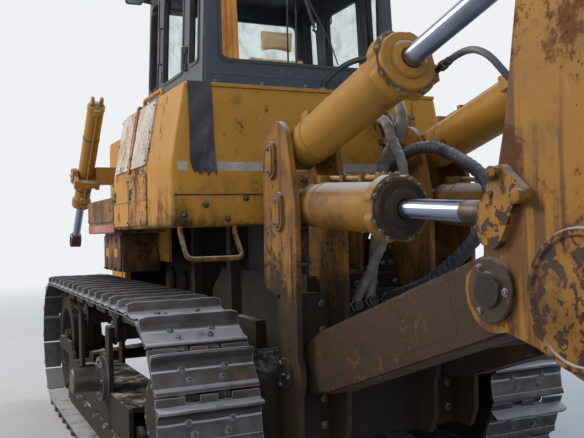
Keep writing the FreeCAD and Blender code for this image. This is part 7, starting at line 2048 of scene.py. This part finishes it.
def make_stage():
    chosen = bpy.context.scene.bulldozer_stage
    bpy.context.scene.view_settings.view_transform = "Standard"
    photo_camera()
    make_world(chosen.sky_light)
    make_floor()
    for name, (place, size, colour) in LAMPS.items():
        lamp(name.title(), place, (0, 0, 1.5), size, getattr(chosen, f"{name}_power"), colour)


LAMPS = {
    # name: place, size, colour
    "key": ((7.0, 11.0, 9.0), 5.0, (1.0, 0.86, 0.70)),
    "rim": ((4.0, -12.0, 8.0), 6.0, (0.88, 0.94, 1.0)),
    "fill": ((-12.0, 5.0, 6.0), 7.0, (1.0, 0.95, 0.88)),
}


def make_tracks():
    left = track_surface()
    names = ["track_steel", "link_steel", "bolt_steel"]
    piece("Track_left", left, names, replaces=["track_left"], bevel=0.0)
    piece("Track_right", left.mirrored(), names, replaces=["track_right"], bevel=0.0)


# the add-on: sizes and colours to choose, one button for each group of pieces


def colour_choice(name, paint, what):
    return bpy.props.FloatVectorProperty(name=name, description=what, default=paint, size=3, min=0.0, max=1.0,
                                         subtype="COLOR")


class BulldozerColours(bpy.types.PropertyGroup):
    """The paints and cloths, named as their materials are."""
    yellow_paint: colour_choice("Main paint", PAINTS["yellow_paint"][0], "Paint of the hood, the guard and the rails")
    tank_yellow: colour_choice("Tank", PAINTS["tank_yellow"][0], "Paint of the rear tank")
    # its pale faded tone is partly painted sky reflection
    panel_yellow: colour_choice("Side panels", PAINTS["panel_yellow"][0], "Worn paint of the tall side boxes")
    # the beam's and bracket's paints are darker copies of the yellow: painted shade
    ripper_yellow: colour_choice("Ripper beam", PAINTS["ripper_yellow"][0], "Paint of the ripper's beam")
    bracket_yellow: colour_choice("Ripper bracket", PAINTS["bracket_yellow"][0], "Paint of the ripper's bracket")
    cylinder_yellow: colour_choice("Cylinders", PAINTS["cylinder_yellow"][0], "Paint of the cylinders' barrels")
    dark_paint: colour_choice("Cab", PAINTS["dark_paint"][0], "Paint of the cab and its roof")
    seat_cover: colour_choice("Seat", (0.92, 0.64, 0.38), "Cloth on the seat")
    curtain_cloth: colour_choice("Curtain", (0.85, 0.40, 0.09), "Cloth at the rear window")


class BulldozerSizes(bpy.types.PropertyGroup):
    """Sizes of finishing pieces; the sizes of the machine come from the frame."""
    hose_width: bpy.props.FloatProperty(name="Hose", description="Outer diameter of the ripper's hoses", default=0.034,
                                        min=0.01, max=0.06, unit="LENGTH")
    window_round: bpy.props.FloatProperty(name="Window corners", description="Corner radius of the cab's end windows",
                                          default=0.07, min=0.02, max=0.15, unit="LENGTH")
    gasket_width: bpy.props.FloatProperty(name="Window rubber", description="Width of the rubber round the windows",
                                          default=0.016, min=0.008, max=0.03, unit="LENGTH")
    louvre_step: bpy.props.FloatProperty(name="Louvres", description="From one louvre of the hood to the next",
                                         default=0.052, min=0.036, max=0.10, unit="LENGTH")
    rim_bolt_step: bpy.props.FloatProperty(name="Grille bolts", description="Between bolts beside the grille",
                                           default=0.19, min=0.08, max=0.4, unit="LENGTH")
    pad_swell: bpy.props.FloatProperty(name="Pad swelling", description="How far the seat's pads may swell",
                                       default=0.022, min=0.0, max=0.03, unit="LENGTH")


class BulldozerStage(bpy.types.PropertyGroup):
    """The light on the machine."""
    key_power: bpy.props.FloatProperty(name="Key lamp", description="Power of the low sun", default=1500.0, min=0.0,
                                       unit="POWER")
    rim_power: bpy.props.FloatProperty(name="Rim lamp", description="Power of the lamp on the right", default=700.0,
                                       min=0.0, unit="POWER")
    fill_power: bpy.props.FloatProperty(name="Fill lamp", description="Power of the lamp behind the machine",
                                        default=420.0, min=0.0, unit="POWER")
    sky_light: bpy.props.FloatProperty(name="Sky", description="Strength of the sky's light", default=0.42, min=0.0,
                                       max=1.0, subtype="FACTOR")


class BULLDOZER_OT_finishes(bpy.types.Operator):
    """Make every paint, metal, glass, rubber and cloth, and finish the solids that no piece stands for"""
    bl_idname = "bulldozer.finishes"
    bl_label = "Finishes"

    def execute(self, context):
        make_materials()
        finish_nodes()
        return {"FINISHED"}


class BULLDOZER_OT_stage(bpy.types.Operator):
    """Set the photograph's camera, the sky, the floor and three lamps"""
    bl_idname = "bulldozer.stage"
    bl_label = "Stage"

    def execute(self, context):
        make_stage()
        return {"FINISHED"}


class BULLDOZER_OT_hoses(bpy.types.Operator):
    """Make the sleeved hose between each pair of ripper cylinders"""
    bl_idname = "bulldozer.hoses"
    bl_label = "Hoses"

    def execute(self, context):
        make_hoses()
        return {"FINISHED"}


class BULLDOZER_OT_tracks(bpy.types.Operator):
    """Make both tracks: shoes, bars, bolts and chain"""
    bl_idname = "bulldozer.tracks"
    bl_label = "Tracks"

    def execute(self, context):
        make_tracks()
        return {"FINISHED"}


class BULLDOZER_OT_undercarriage(bpy.types.Operator):
    """Make the track frames, sprockets, idlers and rollers"""
    bl_idname = "bulldozer.undercarriage"
    bl_label = "Undercarriage"

    def execute(self, context):
        make_undercarriage()
        return {"FINISHED"}


class BULLDOZER_OT_boxes(bpy.types.Operator):
    """Make the rear tank with its pale tape and the boxes on each side"""
    bl_idname = "bulldozer.boxes"
    bl_label = "Tank and boxes"

    def execute(self, context):
        make_boxes()
        return {"FINISHED"}


class BULLDOZER_OT_ripper(bpy.types.Operator):
    """Make the ripper: bracket, link, beam, shank and four cylinders"""
    bl_idname = "bulldozer.ripper"
    bl_label = "Ripper"

    def execute(self, context):
        make_ripper()
        return {"FINISHED"}


class BULLDOZER_OT_cab(bpy.types.Operator):
    """Make the cab, its roof, doors, trim, controls and curtain"""
    bl_idname = "bulldozer.cab"
    bl_label = "Cab"

    def execute(self, context):
        make_cab()
        return {"FINISHED"}


class BULLDOZER_OT_seat(bpy.types.Operator):
    """Swell the seat's three pads"""
    bl_idname = "bulldozer.seat"
    bl_label = "Seat"

    def execute(self, context):
        make_seat()
        return {"FINISHED"}


class BULLDOZER_OT_nose(bpy.types.Operator):
    """Make the trim of the hood and the guard, the radiator core and the stacks"""
    bl_idname = "bulldozer.nose"
    bl_label = "Hood and guard"

    def execute(self, context):
        make_nose()
        return {"FINISHED"}


class BULLDOZER_OT_hoists(bpy.types.Operator):
    """Make the blade's two cylinders, the work lamps and the rails"""
    bl_idname = "bulldozer.hoists"
    bl_label = "Blade cylinders"

    def execute(self, context):
        make_hoists()
        return {"FINISHED"}


class BULLDOZER_OT_fittings(bpy.types.Operator):
    """Make the pipes, blocks and bolts between the tank and the ripper"""
    bl_idname = "bulldozer.fittings"
    bl_label = "Pipes and fittings"

    def execute(self, context):
        make_fittings()
        return {"FINISHED"}


class BULLDOZER_OT_flap(bpy.types.Operator):
    """Hang the creased rubber flap at the tank's corner"""
    bl_idname = "bulldozer.flap"
    bl_label = "Rubber flap"

    def execute(self, context):
        make_flap()
        return {"FINISHED"}


STEPS = (BULLDOZER_OT_finishes, BULLDOZER_OT_stage, BULLDOZER_OT_hoses, BULLDOZER_OT_tracks,
         BULLDOZER_OT_undercarriage, BULLDOZER_OT_boxes, BULLDOZER_OT_ripper, BULLDOZER_OT_cab, BULLDOZER_OT_seat,
         BULLDOZER_OT_nose, BULLDOZER_OT_hoists, BULLDOZER_OT_fittings, BULLDOZER_OT_flap)


class BULLDOZER_PT_pieces(bpy.types.Panel):
    """The machine's colours, sizes and light, and a button for each group of pieces"""
    bl_label = "Bulldozer"
    bl_space_type = "VIEW_3D"
    bl_region_type = "UI"
    bl_category = "Bulldozer"

    def draw(self, context):
        scene = context.scene
        for title, group in (("Colours", scene.bulldozer_colours), ("Sizes", scene.bulldozer_sizes),
                             ("Light", scene.bulldozer_stage)):
            box = self.layout.box()
            box.label(text=title)
            for key in group.__annotations__:
                box.prop(group, key)
        for step in STEPS:
            self.layout.operator(step.bl_idname)


GROUPS = {"bulldozer_colours": BulldozerColours, "bulldozer_sizes": BulldozerSizes, "bulldozer_stage": BulldozerStage}


def register():
    for kind in (*GROUPS.values(), *STEPS, BULLDOZER_PT_pieces):
        bpy.utils.register_class(kind)
    for name, kind in GROUPS.items():
        setattr(bpy.types.Scene, name, bpy.props.PointerProperty(type=kind))


def unregister():
    for name in GROUPS:
        delattr(bpy.types.Scene, name)
    for kind in reversed((*GROUPS.values(), *STEPS, BULLDOZER_PT_pieces)):
        bpy.utils.unregister_class(kind)


def main():
    register()
    for step in STEPS:
        getattr(bpy.ops.bulldozer, step.bl_idname.split(".")[1])()


if __name__ == "__main__":
    main()
